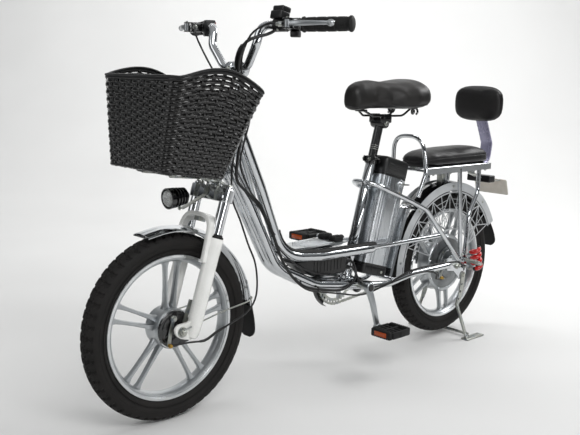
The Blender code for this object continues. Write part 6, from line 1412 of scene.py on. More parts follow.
def makeController():
    # the casing keeps clear of the lower tubes: its section narrows towards the front as they come up
    bm = bmesh.new()
    rings = []
    for x, low in ((0.512, 0.2985), (0.516, 0.2965), (0.560, 0.2965), (0.610, 0.2995), (0.650, 0.3040),
                   (0.675, 0.3190), (0.690, 0.3300), (0.705, 0.3420), (0.712, 0.3460)):
        high, half = 0.356, 0.036 if x > 0.514 and x < 0.700 else 0.033
        rings.append([bike(x, y, z) for y, z in ((half, low + 0.006), (half, high - 0.005),
                (half - 0.005, high), (0.005 - half, high), (-half, high - 0.005), (-half, low + 0.006),
                (0.006 - half, low), (half - 0.006, low))])
    addSkin(bm, rings)
    for k in range(9):  # cooling fins
        x = 0.535 + 0.014 * k
        addSlab(bm, bike(x - 0.0018, -0.0372, 0.312), bike(x + 0.0018, 0.0372, 0.350), 0.0006, None, 2)
    makePiece("controllerBox", bm, mouldedPlastic, "frame", ["controller_box"], 30)
    bm = bmesh.new()  # plugs of the loom, in a cluster under the rear of the box
    for k, (x, y, z, size) in enumerate(((0.500, 0.020, 0.328, 0.0085), (0.498, -0.008, 0.322, 0.0080),
                                         (0.504, 0.030, 0.310, 0.0065), (0.497, 0.004, 0.340, 0.0070))):
        addTurned(bm, bike(x - 0.012, y, z), forward, [(0, size * 0.5), (0.003, size * 0.6), (0.004, size),
                (0.012, size), (0.0125, size * 0.88), (0.026, size * 0.88)], 20)
    makePiece("loomPlugs", bm, mouldedPlastic, "frame")


makeFrame()
makeStays()
makeRack()
makeStrip(1, "leftTubeStrip", "left_tube_strip")
makeStrip(-1, "rightTubeStrip", "right_tube_strip")
makeFootboard()
makeController()
print("frame dressed")

# Rear mudguard: chromed column behind the battery, black arch over the wheel, grey web skirts
skirtSizes = {"inner": 0.118, "outer": 0.243, "band": 0.277, "first": 20.0, "last": 152.0, "cells": 6,
              "strand": 0.0030, "y": 0.0370}


def makeRearGuard():
    g = guardSizes
    foot = bike(0.3075, 0, 0.2532)
    path = flowing([foot, bike(0.238, 0, 0.452)] + arc(rearAxle, g["rearRadius"], 50, 150, 6), 120)
    bm = bmesh.new()
    split = 44
    addGuard(bm, path[:split], g["rearHalf"], g["sheet"], 0.0095, 1)
    addGuard(bm, path[split - 1:], g["rearHalf"] - 0.0003, g["sheet"], 0.0095, 0)
    addSlab(bm, bike(0.010, -0.011, 0.529), bike(0.030, 0.011, 0.5757), 0.0010, mat=2)
    for y in (-0.012, 0.012):
        addBolt(bm, path[split - 3] + left * y + Vector((-0.001, 0, 0.001)), Vector((-0.6, 0, 0.8)), 0.0030,
                0.0024, mat=2)
    # the small red lamp on the guard's tail
    turn = math.radians(143)
    out = polar(turn, 1)
    lamp = rearAxle + polar(turn, g["rearRadius"] + 0.0008)
    addSlab(bm, Vector((-0.014, -0.017, -0.001)), Vector((0.014, 0.017, 0.010)), 0.0030,
            Matrix.Translation(lamp) @ facing(out.cross(left), out), mat=0)
    addSlab(bm, Vector((-0.011, -0.0145, 0.006)), Vector((0.011, 0.0145, 0.0155)), 0.0040,
            Matrix.Translation(lamp) @ facing(out.cross(left), out), 4, 3)
    makePiece("rearMudguard", bm, [blackEnamel, chromePlate, zincPlate, redLens], "frame", ["rear_mudguard"],
              40)


def addStrand(bm, one, other, y, width):
    start, end = rearAxle + Vector((one[0], y, one[1])), rearAxle + Vector((other[0], y, other[1]))
    addStrap(bm, [start, end], (end - start).cross(left), width, 0.0018)


def makeSkirt(side, name, node):
    s = skirtSizes
    y = side * s["y"]
    bm = bmesh.new()

    def spot(radius, degrees):
        turn = math.radians(degrees)
        return (radius * math.cos(turn), radius * math.sin(turn))

    def band(radius, width, first, last, steps=60):
        rings = []
        for i in range(steps + 1):
            turn = math.radians(first + (last - first) * i / steps)
            w, t = width / 2, 0.0010
            rings.append([rearAxle + polar(turn, radius + a * w, y + b * t) for a, b in (
                (1, 0.5), (0.9, 1), (-0.9, 1), (-1, 0.5), (-1, -0.5), (-0.9, -1), (0.9, -1), (1, -0.5))])
        addSkin(bm, rings)

    band((s["band"] + s["outer"]) / 2 + 0.004, s["band"] - s["outer"] - 0.006, -4, 154)
    band(s["outer"] + 0.0015, 0.0045, -4, 154)
    band(s["inner"] + 0.0015, 0.0050, 24, 152)
    band((s["inner"] + s["outer"]) / 2 + 0.004, 0.0024, 20, 152)
    step = (s["last"] - s["first"]) / s["cells"]
    low, high = s["inner"] + 0.003, s["outer"]
    middle = (low + high) / 2 + 0.004
    for i in range(s["cells"]):
        here = s["first"] + i * step
        centre = spot(middle, here + step / 2)
        for one in (spot(high, here), spot(high, here + step), spot(low, here), spot(low, here + step),
                    spot(high, here + step / 2)):
            addStrand(bm, one, centre, y, s["strand"])
        addStrand(bm, spot(low, here + step / 2), centre, y, s["strand"] * 0.7)
        for share in (0.35, 0.65):  # small diamonds between the long strands
            a = Vector(spot(high, here)).lerp(Vector(centre), share)
            b = Vector(spot(high, here + step)).lerp(Vector(centre), share)
            addStrand(bm, a, b, y, s["strand"] * 0.55)
        addTurned(bm, rearAxle + Vector((centre[0], y - side * 0.0005, centre[1])), left * side,
                  [(0, 0.0050), (0.0022, 0.0046), (0.0030, 0.0030)], 20)
    for i in range(s["cells"] + 1):
        here = s["first"] + i * step
        addStrand(bm, spot(low, here), spot(high, here), y, s["strand"] * 0.9)
    addStrand(bm, spot(s["band"] - 0.008, -4), spot(s["outer"] - 0.002, 14), y, 0.004)
    for degrees in (8, 48, 90, 132):
        turn = math.radians(degrees)
        addBolt(bm, rearAxle + polar(turn, 0.264, y + side * 0.0010), left * side, 0.0030, 0.0022, mat=1)
    makePiece(name, bm, [greyPlastic, zincPlate], "frame", [node], 35)


def makeRearLamp():
    bm = bmesh.new()
    under = 0.580 - 0.004 - 0.0003
    addStrap(bm, bent([bike(-0.151, 0, under - 0.001), bike(-0.151, 0, 0.548), bike(-0.200, 0, 0.530)],
                      0.010, 6), left, 0.030, 0.0030, 2)
    addSlab(bm, bike(-0.161, -0.022, under - 0.003), bike(-0.141, 0.022, under), 0.0008, mat=2)
    addSlab(bm, bike(-0.230, -0.048, 0.516), bike(-0.196, 0.048, 0.540), 0.0040, None, 4)
    for y, mat, half in ((0.0, 1, 0.026), (0.036, 3, 0.008), (-0.036, 3, 0.008)):
        addSlab(bm, bike(-0.2328, y - half, 0.5195), bike(-0.226, y + half, 0.5365), 0.0025, None, 3, mat)
    down = Vector((-0.30, 0, -0.954)).normalized()
    low = Vector((-0.8292, 0, 0.4682))
    flat = down.cross(left)
    addPlate(bm, roundBox(0.068, 0.029, 0.006), low - down * 0.029, left, down, 0.0016, 0.0004, 4)
    addPlate(bm, roundBox(0.0655, 0.0265, 0.0045), low - down * 0.029 - flat * -0.0010, left, down, 0.0008,
             0.0003, 4)
    for y in (-0.040, 0.040):
        addSlab(bm, bike(-0.2745, y - 0.004, 0.5185), bike(-0.222, y + 0.004, 0.5215), 0.0008, mat=2)
        addBolt(bm, low - down * 0.050 + left * y + flat * -0.0012, -flat, 0.0026, 0.0020, mat=2)
    makePiece("rearLamp", bm, [mouldedPlastic, redLens, zincPlate, amberLens, palePlate], "frame",
              ["rear_lamp"], 32)


makeRearGuard()
makeSkirt(1, "leftSkirtGuard", "left_skirt_guard")
makeSkirt(-1, "rightSkirtGuard", "right_skirt_guard")
makeRearLamp()
flapTurn = math.radians(149.4)
flapDown = Vector((-0.33, 0, -0.944)).normalized()
makeFlap("rearMudflap", rearAxle + polar(flapTurn, 0.2800), flapDown, flapDown.cross(left) * -1, 0.126,
         0.066, "frame", "rear_mudflap")
print("rear guard done")

# Battery: brushed extrusion with flutes, moulded cap and dock
packSizes = {"length": 0.288, "depth": 0.112, "half": 0.042, "cap": 0.050, "dock": 0.026, "gap": 0.006,
             "foot": 0.292, "corner": 0.011, "sockets": 0.034, "lockDrop": 0.020, "portDrop": 0.055}
packFront = 0.0165 + packSizes["gap"]
dockLow = seatReach(packSizes["foot"])
caseLow = dockLow + packSizes["dock"] + 0.0003
caseHigh = caseLow + packSizes["length"]
capHigh = caseHigh + 0.0003 + packSizes["cap"]
packMiddle = packFront + packSizes["depth"] / 2
halfA, halfB = packSizes["depth"] / 2, packSizes["half"]
lockPlace = seatAt(packMiddle + packSizes["sockets"], halfB, caseHigh - packSizes["lockDrop"])


def packRings(outline, levels):  # an outline about the battery's middle at each share of its size and height
    return [[seatAt(packMiddle + a * k, b * k, up) for a, b in outline] for k, up in levels]


def makeBatteryCase():
    radius = packSizes["corner"]
    # round ribs at both ends of each flank, and a flat panel between them
    ribs = [(-0.037, 0.0060), (-0.0245, 0.0060), (0.0300, 0.0058), (0.0405, 0.0042)]

    def flank(sign):
        made = []
        for middle, size in (ribs[::-1] if sign > 0 else ribs):
            for share, drop in ((1, 0.0), (0.92, 0.0024), (0.84, 0.0030), (0.74, 0.0012), (0.5, 0.0002),
                                (0, -0.0004), (-0.5, 0.0002), (-0.74, 0.0012), (-0.84, 0.0030),
                                (-0.92, 0.0024), (-1, 0.0)):
                made.append((middle + sign * share * size, sign * (halfB - drop)))
        return made

    def corner(sa, sb, quarter):
        return [(sa * (halfA - radius) + radius * math.cos(math.pi / 2 * (quarter + i / 8)),
                 sb * (halfB - radius) + radius * math.sin(math.pi / 2 * (quarter + i / 8)))
                for i in range(9)]

    outline = corner(1, 1, 0) + flank(1) + corner(-1, 1, 1) + corner(-1, -1, 2) + flank(-1) + corner(1, -1, 3)
    bm = bmesh.new()
    addSkin(bm, packRings(outline, [(0.992, caseLow), (1, caseLow + 0.0008), (1, caseHigh - 0.0008),
                                    (0.992, caseHigh)]))
    for up in (caseLow, caseHigh - 0.0075):  # dark bands where the end caps grip the extrusion
        ring = roundBox(halfA + 0.0007, halfB + 0.0007, 0.0115, 8)
        addSkin(bm, packRings(ring, [(0.99, up), (1, up + 0.0005), (1, up + 0.0070), (0.99, up + 0.0075)]),
                mat=1)
    addTurned(bm, lockPlace - left * 0.004, left, [(0, 0.0125), (0.0062, 0.0125), (0.0072, 0.0115),
            (0.0072, 0.0098), (0.0108, 0.0094), (0.0118, 0.0084), (0.0118, 0.0030)], 40, mat=2)
    port = seatAt(packMiddle + packSizes["sockets"], halfB, caseHigh - packSizes["portDrop"])
    addTurned(bm, port - left * 0.003, left, [(0, 0.0085), (0.0050, 0.0085), (0.0058, 0.0076),
            (0.0058, 0.0040), (0.0035, 0.0036)], 32, mat=3)
    makePiece("batteryCase", bm, [brushedAluminium, mouldedPlastic, chromePlate, brass], "battery",
              ["battery_case"], 28)


def makeBatteryCap():
    bm = bmesh.new()
    ring = roundBox(halfA + 0.001, halfB + 0.001, 0.012, 10)
    levels = [(0.990, caseHigh + 0.0003), (1, caseHigh + 0.0012), (1, capHigh - 0.016),
              (0.992, capHigh - 0.0100), (0.970, capHigh - 0.0050), (0.925, capHigh - 0.0012),
              (0.87, capHigh)]
    inner = roundBox(0.036, 0.016, 0.012, 10)
    recess = [(1.08, capHigh), (1.0, capHigh - 0.002), (0.96, capHigh - 0.0175)]
    addSkin(bm, packRings(ring, levels) + packRings(inner, recess))
    addTube(bm, [seatAt(packMiddle + 0.033, 0, capHigh - 0.0075),
                 seatAt(packMiddle - 0.033, 0, capHigh - 0.0075)], 0.0050, 20)
    for y in (-1, 1):  # a grip recess's ribs on both sides
        for k in range(4):
            up = caseHigh + 0.012 + 0.0060 * k
            addStrap(bm, [seatAt(packMiddle - 0.040, y * (halfB + 0.0010), up),
                          seatAt(packMiddle + 0.040, y * (halfB + 0.0010), up)], seatUp, 0.0024, 0.0012)
    makePiece("batteryCap", bm, mouldedPlastic, "battery", ["battery_cap"], 32)


def makeBatteryDock():
    bm = bmesh.new()
    ring = roundBox(halfA + 0.002, halfB + 0.001, 0.011, 8)
    addSkin(bm, packRings(ring, [(0.96, dockLow), (0.99, dockLow + 0.002), (1, dockLow + 0.004),
                                 (1, caseLow - 0.0014), (0.985, caseLow - 0.0003)]))
    for y in (-1, 1):
        for a in (-0.045, -0.015, 0.015, 0.045):
            addStrap(bm, [seatAt(packMiddle + a, y * (halfB + 0.0012), dockLow + 0.006),
                          seatAt(packMiddle + a, y * (halfB + 0.0012), dockLow + 0.021)], seatBack, 0.004,
                     0.0014)
        addBolt(bm, seatAt(packMiddle + 0.030, y * (halfB + 0.0012), dockLow + 0.013), left * y, 0.0030,
                0.0022, mat=1)
    addSlab(bm, Vector((-0.004, -0.012, 0)), Vector((0.006, 0.012, 0.0156)), 0.0010,
            Matrix.Translation(seatAt(packFront - 0.003, 0, dockLow + 0.004)))
    makePiece("batteryDock", bm, [mouldedPlastic, zincPlate], "frame", ["battery_dock"], 32)


def makeKey():
    bm = bmesh.new()
    spot = lockPlace + left * 0.0083
    addRod(bm, spot, spot + left * 0.009, 0.0020, 16, mat=0)
    bow = [(0.0100 * math.cos(2 * math.pi * i / 24), 0.0145 + 0.0075 * math.sin(2 * math.pi * i / 24))
           for i in range(24)]
    addPlate(bm, bow, spot, forward, left, 0.0026, 0.0007, 1)
    addTurned(bm, spot + left * 0.0195 - top * 0.0016, top, [(0, 0.0022), (0.0032, 0.0022)], 16, mat=0)
    makePiece("ignitionKey", bm, [zincPlate, mouldedPlastic], "key", ["ignition_key"])


makeBatteryCase()
makeBatteryCap()
makeBatteryDock()
makeKey()
print("battery done")

# Soft parts: the cover swells over foam, then its seams are laid on it
def applied(piece):  # bakes the modifiers of a piece into its mesh
    bpy.context.view_layer.update()
    mesh = bpy.data.meshes.new_from_object(piece.evaluated_get(bpy.context.evaluated_depsgraph_get()))
    piece.modifiers.clear()
    piece.data = mesh
    for face in mesh.polygons:
        face.use_smooth = True
    return piece


def puff(piece, voxel, cap, pressure=4.0, pinned=None, frames=20):
    remesh = piece.modifiers.new("remesh", "REMESH")
    remesh.mode, remesh.voxel_size = "VOXEL", voxel
    applied(piece)
    before = [vertex.co.copy() for vertex in piece.data.vertices]
    group = piece.vertex_groups.new(name="pinned")
    group.add([i for i, co in enumerate(before) if pinned and pinned(co)], 1.0, "REPLACE")
    cloth = piece.modifiers.new("cover", "CLOTH")
    cloth.settings.quality = 5
    cloth.settings.use_pressure = True
    cloth.settings.uniform_pressure_force = pressure
    cloth.settings.effector_weights.gravity = 0
    cloth.settings.vertex_group_mass = "pinned"
    cloth.point_cache.frame_start, cloth.point_cache.frame_end = 1, frames
    for frame in range(1, frames + 1):
        bpy.context.scene.frame_set(frame)
    swollen = piece.evaluated_get(bpy.context.evaluated_depsgraph_get()).data
    for vertex, start, end in zip(piece.data.vertices, before, [v.co.copy() for v in swollen.vertices]):
        move = end - start
        vertex.co = start + move * min(1.0, cap / max(move.length, 1e-9))
    piece.modifiers.clear()
    bpy.context.scene.frame_set(1)
    smooth = piece.modifiers.new("smooth", "SMOOTH")
    smooth.factor, smooth.iterations = 0.5, 4
    piece.modifiers.new("finer", "SUBSURF").levels = 1
    return applied(piece)


def laidOn(piece, points, lift):  # points moved to the nearest place on a piece's surface
    tree = BVHTree.FromObject(piece, bpy.context.evaluated_depsgraph_get())
    made = []
    for point in points:
        place, normal, _, _ = tree.find_nearest(point)
        made.append(place + normal * lift)
    return made


def addPiping(name, piece, points, radius, material, body):
    line = laidOn(piece, points, 0.0)
    bm = bmesh.new()
    addTube(bm, line, radius, 10, closed=True)
    return makePiece(name, bm, material, body, angle=60)


def addStitches(name, piece, points, pitch, material, body):
    line = laidOn(piece, points, 0.0004)
    bm = bmesh.new()
    travelled = 0.0
    for i in range(1, len(line)):
        travelled += (line[i] - line[i - 1]).length
        if travelled > pitch:
            travelled = 0.0
            along = (line[i] - line[i - 1]).normalized()
            addRod(bm, line[i] - along * pitch * 0.32, line[i] + along * pitch * 0.32, 0.00042, 8)
    return makePiece(name, bm, material, body, angle=60)


def between(rows, x):  # a station list read smoothly at x
    rows = sorted(rows)
    if x <= rows[0][0]:
        return rows[0][1:]
    for low, high in zip(rows, rows[1:]):
        if x <= high[0]:
            t = (x - low[0]) / (high[0] - low[0])
            t = t * t * (3 - 2 * t) * 0.5 + t * 0.5
            return tuple(a + (b - a) * t for a, b in zip(low[1:], high[1:]))
    return rows[-1][1:]


seatSizes = {"base": 0.5913, "rear": -0.160, "front": 0.180, "voxel": 0.0050}
seatStations = [(-0.160, 0.052, 0.034), (-0.154, 0.061, 0.044), (-0.138, 0.067, 0.050),
                (-0.090, 0.069, 0.0525), (0.0, 0.069, 0.0515), (0.080, 0.068, 0.049), (0.130, 0.064, 0.046),
                (0.160, 0.056, 0.040), (0.174, 0.046, 0.032), (0.180, 0.036, 0.024)]


def seatRing(x, steps=44):
    half, high = between(seatStations, x)
    ring = []
    for t in turnsOf(steps):
        c, s = math.cos(t), math.sin(t)
        y = half * squarer(c, 0.55)
        level = 0.5 + 0.5 * squarer(s, 0.62)
        crown = 0.0050 * (1 - (y / half) ** 2) if level > 0.5 else 0
        pinch = 1 - 0.055 * math.exp(-((level - 0.52) / 0.16) ** 2)  # the cover draws in at its side seam
        ring.append(bike(x, y * pinch, seatSizes["base"] + high * level * 0.93 + crown))
    return ring


def makeSeat():
    s = seatSizes
    bm = bmesh.new()
    addSkin(bm, [seatRing(s["rear"] + (s["front"] - s["rear"]) * i / 56) for i in range(57)])
    seat = makePiece("passengerSeatCover", bm, seatVinyl, "frame", ["passenger_seat"], 180)
    puff(seat, s["voxel"], 0.0035, pinned=lambda co: co.z < s["base"] + 0.004)
    # the welt where the top panel is sewn to the side panel
    line = []
    for t in turnsOf(220):
        x = 0.010 + 0.168 * squarer(math.cos(t), 0.35)
        half, high = between(seatStations, x)
        line.append(bike(x, half * squarer(math.sin(t), 0.35), s["base"] + high * 0.55))
    addPiping("passengerSeatWelt", seat, line, 0.0016, seatVinyl, "frame")
    addStitches("passengerSeatStitches", seat, [p + top * 0.0060 for p in line], 0.0070, blackRubber, "frame")
    bm = bmesh.new()  # the moulded base pan that the cover is stapled over
    addPlate(bm, roundBox(0.158, 0.060, 0.020, 8), bike(0.008, 0, s["base"] + 0.0005), forward, left, 0.0050,
             0.0012)
    makePiece("passengerSeatPan", bm, mouldedPlastic, "frame")


padSizes = {"half": 0.0945, "height": 0.0575, "z": 0.790, "voxel": 0.0048}


def padRing(x, share, steps=96):
    p = padSizes
    ring = []
    for t in turnsOf(steps):
        c, s = math.cos(t), math.sin(t)
        y = p["half"] * squarer(c, 0.50)
        z = p["height"] * squarer(s, 0.54)
        z += 0.003 * (1 - (y / p["half"]) ** 2) * (1 if z > 0 else 0.2)
        y *= 1 - 0.07 * max(0, -z / p["height"]) ** 2  # a little narrower below
        ring.append(bike(x, y * share, p["z"] + (z - 0.0015) * share))
    return ring


def makeBackrest():
    rows = [(-0.188, 0.55), (-0.1878, 0.86), (-0.1868, 0.93), (-0.1840, 0.965), (-0.1780, 0.985),
            (-0.1720, 0.975), (-0.1660, 0.982), (-0.1600, 0.968), (-0.1550, 0.915), (-0.1515, 0.800),
            (-0.1495, 0.600), (-0.1485, 0.350)]
    bm = bmesh.new()
    addSkin(bm, [padRing(x, k) for x, k in rows])
    pad = makePiece("backrestPadCover", bm, seatVinyl, "frame", ["backrest_pad"], 180)
    puff(pad, padSizes["voxel"], 0.0030, pinned=lambda co: co.x < bike(-0.1855, 0, 0).x)
    ring = padRing(-0.172, 0.99, 240)
    addPiping("backrestPadWelt", pad, ring, 0.0017, seatVinyl, "frame")
    addStitches("backrestPadStitches", pad, [q + Vector((0.0065, 0, 0)) for q in padRing(-0.172, 0.99, 400)],
                0.0070, blackRubber, "frame")
    bm = bmesh.new()
    addStrap(bm, bent([bike(-0.110, 0, 0.5848), bike(-0.226, 0, 0.5848), bike(-0.236, 0, 0.650),
                       bike(-0.1908, 0, 0.742), bike(-0.1908, 0, 0.826)], 0.030, 12), left, 0.046, 0.0050)
    for x, y in ((-0.128, 0.012), (-0.128, -0.012), (-0.160, 0.0)):
        addBolt(bm, bike(x, y, 0.5820), -top, 0.0036, 0.0030, mat=1)
    for z in (0.768, 0.806):
        addBolt(bm, bike(-0.1932, 0, z), Vector((-1, 0, 0)), 0.0040, 0.0030, mat=1)
    makePiece("backrestBracket", bm, [filmBar, zincPlate], "frame", ["backrest_bracket"], 40)


makeSeat()
makeBackrest()
print("seat and backrest done")

saddleStations = [(0.204, 0.056, 0.838, 0.798), (0.209, 0.078, 0.852, 0.788), (0.218, 0.093, 0.861, 0.782),
                  (0.240, 0.1025, 0.8665, 0.7775), (0.280, 0.1045, 0.8620, 0.7765),
                  (0.325, 0.0885, 0.8560, 0.7775), (0.370, 0.0600, 0.8570, 0.7790),
                  (0.412, 0.0415, 0.8605, 0.7785), (0.450, 0.0355, 0.8580, 0.7740),
                  (0.472, 0.0320, 0.8510, 0.7735), (0.484, 0.0250, 0.8410, 0.7800),
                  (0.488, 0.0170, 0.8320, 0.7900)]


def saddleRing(x, steps=52):
    half, high, low = between(saddleStations, x)
    waist = low + 0.40 * (high - low)
    ring = []
    for t in turnsOf(steps):
        c, s = math.cos(t), math.sin(t)
        y = half * squarer(c, 0.78)
        if s >= 0:
            z = waist + (high - waist) * s ** 0.86
        else:
            z = waist - (waist - low) * (-s) ** 0.50
            y *= 1 - 0.10 * (-s) ** 2  # the skirt tucks in towards its hem
        ring.append(bike(x, y, z))
    return ring


def makeSaddle():
    first, last = saddleStations[0][0], saddleStations[-1][0]
    bm = bmesh.new()
    addSkin(bm, [saddleRing(first + (last - first) * (0.5 - 0.5 * math.cos(math.pi * i / 70)))
                 for i in range(71)])
    cover = makePiece("saddleCover", bm, saddleVinyl, "saddle_post", ["saddle"], 180)
    puff(cover, 0.0045, 0.0022, 3.0, pinned=lambda co: co.z < 0.785)
    # the hem, rolled round the edge of the saddle's base
    line = []
    for t in turnsOf(260):
        x = (first + last) / 2 + (last - first - 0.006) / 2 * math.cos(t)
        half, high, low = between(saddleStations, x)
        line.append(bike(x, half * 0.93 * math.copysign(min(1, abs(math.sin(t)) * 2.2) ** 0.6, math.sin(t)),
                         low + 0.10 * (high - low)))
    addPiping("saddleHem", cover, line, 0.0015, mouldedPlastic, "saddle_post")


def makeSeatPost():
    high = seatReach(0.738)
    bm = bmesh.new()
    addRod(bm, seatAt(0, 0, high - 0.250), seatAt(0, 0, high), 0.0135, 40, 0.0012)
    for k in range(3):  # rings that mark how far in the post has to go
        up = high - 0.075 - 0.006 * k
        addTurned(bm, seatAt(0, 0, up), seatUp,
                  [(0, 0.01352), (0.0003, 0.01366), (0.0008, 0.01366), (0.0011, 0.01352)], 40, mat=1)
    makePiece("seatpost", bm, [blackEnamel, zincPlate], "saddle_post", ["seatpost"], 40)
    bm = bmesh.new()
    middle = seatAt(0, 0, high - 0.004)
    addTurned(bm, middle - left * 0.026, left, [(0, 0.0120), (0.001, 0.0150), (0.006, 0.0162),
            (0.0085, 0.0165), (0.0435, 0.0165), (0.046, 0.0162), (0.051, 0.0150), (0.052, 0.0120)], 40)
    for k in range(14):  # the toothed faces that set the saddle's tilt
        a = 2 * math.pi * k / 14
        for side in (-1, 1):
            addRod(bm, middle + left * side * 0.0262 + seatUp * 0.007 * math.cos(a) + seatBack * 0.007
                   * math.sin(a), middle + left * side * 0.0262 + seatUp * 0.014 * math.cos(a) + seatBack
                   * 0.014 * math.sin(a), 0.0009, 8)
    addTurned(bm, middle + left * 0.0255, left, [(0, 0.0085), (0.0016, 0.0085), (0.0020, 0.0080)], 28, mat=1)
    addTurned(bm, middle + left * 0.0270, left, [(0, 0.0070), (0.0046, 0.0070), (0.0054, 0.0062)], 6, mat=1)
    addBolt(bm, middle - left * 0.0262, -left, 0.0062, 0.0050, mat=1)
    for side in (-1, 1):
        low, up = bike(0.326, side * 0.023 - 0.008, 0.735), bike(0.362, side * 0.023 + 0.008, 0.762)
        addSlab(bm, low, up, 0.0030, None, 3)
        # each rail ends in one and a half springy turns under the rear of the saddle
        rail = bent([bike(0.242, side * 0.036, 0.7805), bike(0.268, side * 0.024, 0.756),
                     bike(0.400, side * 0.022, 0.756), bike(0.436, side * 0.010, 0.774)], 0.030, 10)
        loop = [bike(0.242 - 0.0095 * math.sin(a), side * (0.036 + 0.0022 * a), 0.7715 + 0.0090 * math.cos(a))
                for a in [3.0 * math.pi * k / 26 for k in range(27)]]
        addTube(bm, loop[::-1] + rail[1:], 0.0034, 14)
        addSlab(bm, bike(0.228, side * 0.040 - 0.010, 0.7790), bike(0.256, side * 0.040 + 0.010, 0.7830),
                0.0010)
    addSlab(bm, bike(0.422, -0.016, 0.7700), bike(0.444, 0.016, 0.7760), 0.0015)
    makePiece("saddleFrame", bm, [blackEnamel, zincPlate], "saddle_post", angle=40)


makeSeatPost()
makeSaddle()
print("saddle done")

# Drivetrain: the crankset with both arms, both pedals, and the chain, freewheel and guard on the right
crankSizes = {"length": 0.132, "angle": 255.0, "half": 0.094, "thick": 0.012, "ring": 0.072, "teeth": 36,
              "y": -0.0515, "sprocket": 0.032, "cogs": 16}
driveSizes = {"gap": 0.0042, "thick": 0.0050, "plate": 0.0076, "wide": 0.0068, "pitch": 0.0127}
crankTurn = math.radians(crankSizes["angle"])
crankOut = Vector((math.cos(crankTurn), 0, math.sin(crankTurn)))


# outline of a sprocket: rounded teeth, round hollows for the rollers
def toothed(centre, radius, teeth, steps=6):
    made = []
    for i in range(teeth):
        for k in range(steps):
            share = k / steps
            turn = 2 * math.pi * (i - 0.36 + share) / teeth
            lift = 0.0062 * max(0.0, math.sin(math.pi * min(1.0, share / 0.62))) ** 0.8 - 0.0032
            made.append(centre + polar(turn, radius + lift))
    return made


def addRing(bm, outer, inner, thick, mat=0):  # a flat ring between two outlines of equal length
    t = left * (thick / 2)
    addSkin(bm, [[p - t for p in outer], [p + t for p in outer], [p + t for p in inner],
                 [p - t for p in inner]], closed=True, mat=mat)


def makeCrankset():
    c = crankSizes
    bm = bmesh.new()
    for side in (-1, 1):
        out = crankOut * side
        flat = out.cross(left)
        rings = []
        for reach, wide, y, thick in ((0.004, 0.0250, c["half"] - 0.0110, 0.0125),
                                      (0.020, 0.0228, c["half"] - 0.0090, 0.0122),
                                      (0.050, 0.0200, c["half"] - 0.004, 0.0118),
                                      (0.090, 0.0182, c["half"] - 0.0015, 0.0114),
                                      (0.120, 0.0176, c["half"] - 0.0003, 0.0112),
                                      (0.130, 0.0176, c["half"], 0.0112)):
            middle = crankAxle + out * reach + left * (side * y)
            rings.append([middle + flat * (wide / 2 * squarer(math.cos(a), 0.45))
                          + left * (thick / 2 * squarer(math.sin(a), 0.60))
                          for a in turnsOf(28)])
        addSkin(bm, rings)
        addTurned(bm, crankAxle + left * (side * (c["half"] - 0.018)), left * side, [
            (0, 0.0145), (0.001, 0.0155), (0.0155, 0.0155), (0.0170, 0.0140)], 40)
        addTurned(bm, crankAxle + left * (side * (c["half"] - 0.0012)), left * side, [
            (0, 0.0110), (0.0012, 0.0110), (0.0024, 0.0096), (0.0028, 0.0040)], 32, mat=1)
        eye = crankAxle + out * c["length"] + left * (side * c["half"])
        addTurned(bm, eye - left * (side * 0.007), left * side, [(0, 0.0116), (0.001, 0.0125),
                (0.0128, 0.0125), (0.0138, 0.0116), (0.0138, 0.0050), (0, 0.0050)], 32, True)
    addRod(bm, crankAxle - left * (c["half"] - 0.008), crankAxle + left * (c["half"] - 0.008), 0.0085, 24,
           mat=2)
    centre = crankAxle + left * c["y"]
    steps = c["teeth"] * 6
    rim = [centre + polar(2 * math.pi * (i - 2.16) / steps, 0.0610) for i in range(steps)]
    addRing(bm, toothed(centre, c["ring"], c["teeth"]), rim, 0.0028, 2)
    addTurned(bm, centre - left * 0.004, left,
              [(0, 0.0200), (0.0008, 0.0220), (0.0092, 0.0220), (0.010, 0.0200)], 48)
    for i in range(5):
        turn = crankTurn + math.radians(72 * i)
        out, sideways = polar(turn, 1), polar(turn + math.pi / 2, 1)
        rings = []
        for reach, wide in ((0.018, 0.0120), (0.030, 0.0090), (0.048, 0.0088), (0.060, 0.0120),
                            (0.0650, 0.0125)):
            middle = centre + out * reach + left * 0.0012
            rings.append([middle + sideways * (a * wide) + left * (b * 0.0018) for a, b in (
                (1, -1), (1, 0.4), (0.8, 1), (-0.8, 1), (-1, 0.4), (-1, -1))])
        addSkin(bm, rings)
        addBolt(bm, centre + out * 0.0615 + left * 0.0028, left, 0.0034, 0.0020, mat=2)
    makePiece("crankset", bm, [castAlloy, mouldedPlastic, zincPlate], "cranks", ["crankset"],
              32)


pedalSizes = {"width": 0.084, "length": 0.096, "thick": 0.026, "start": 0.104}


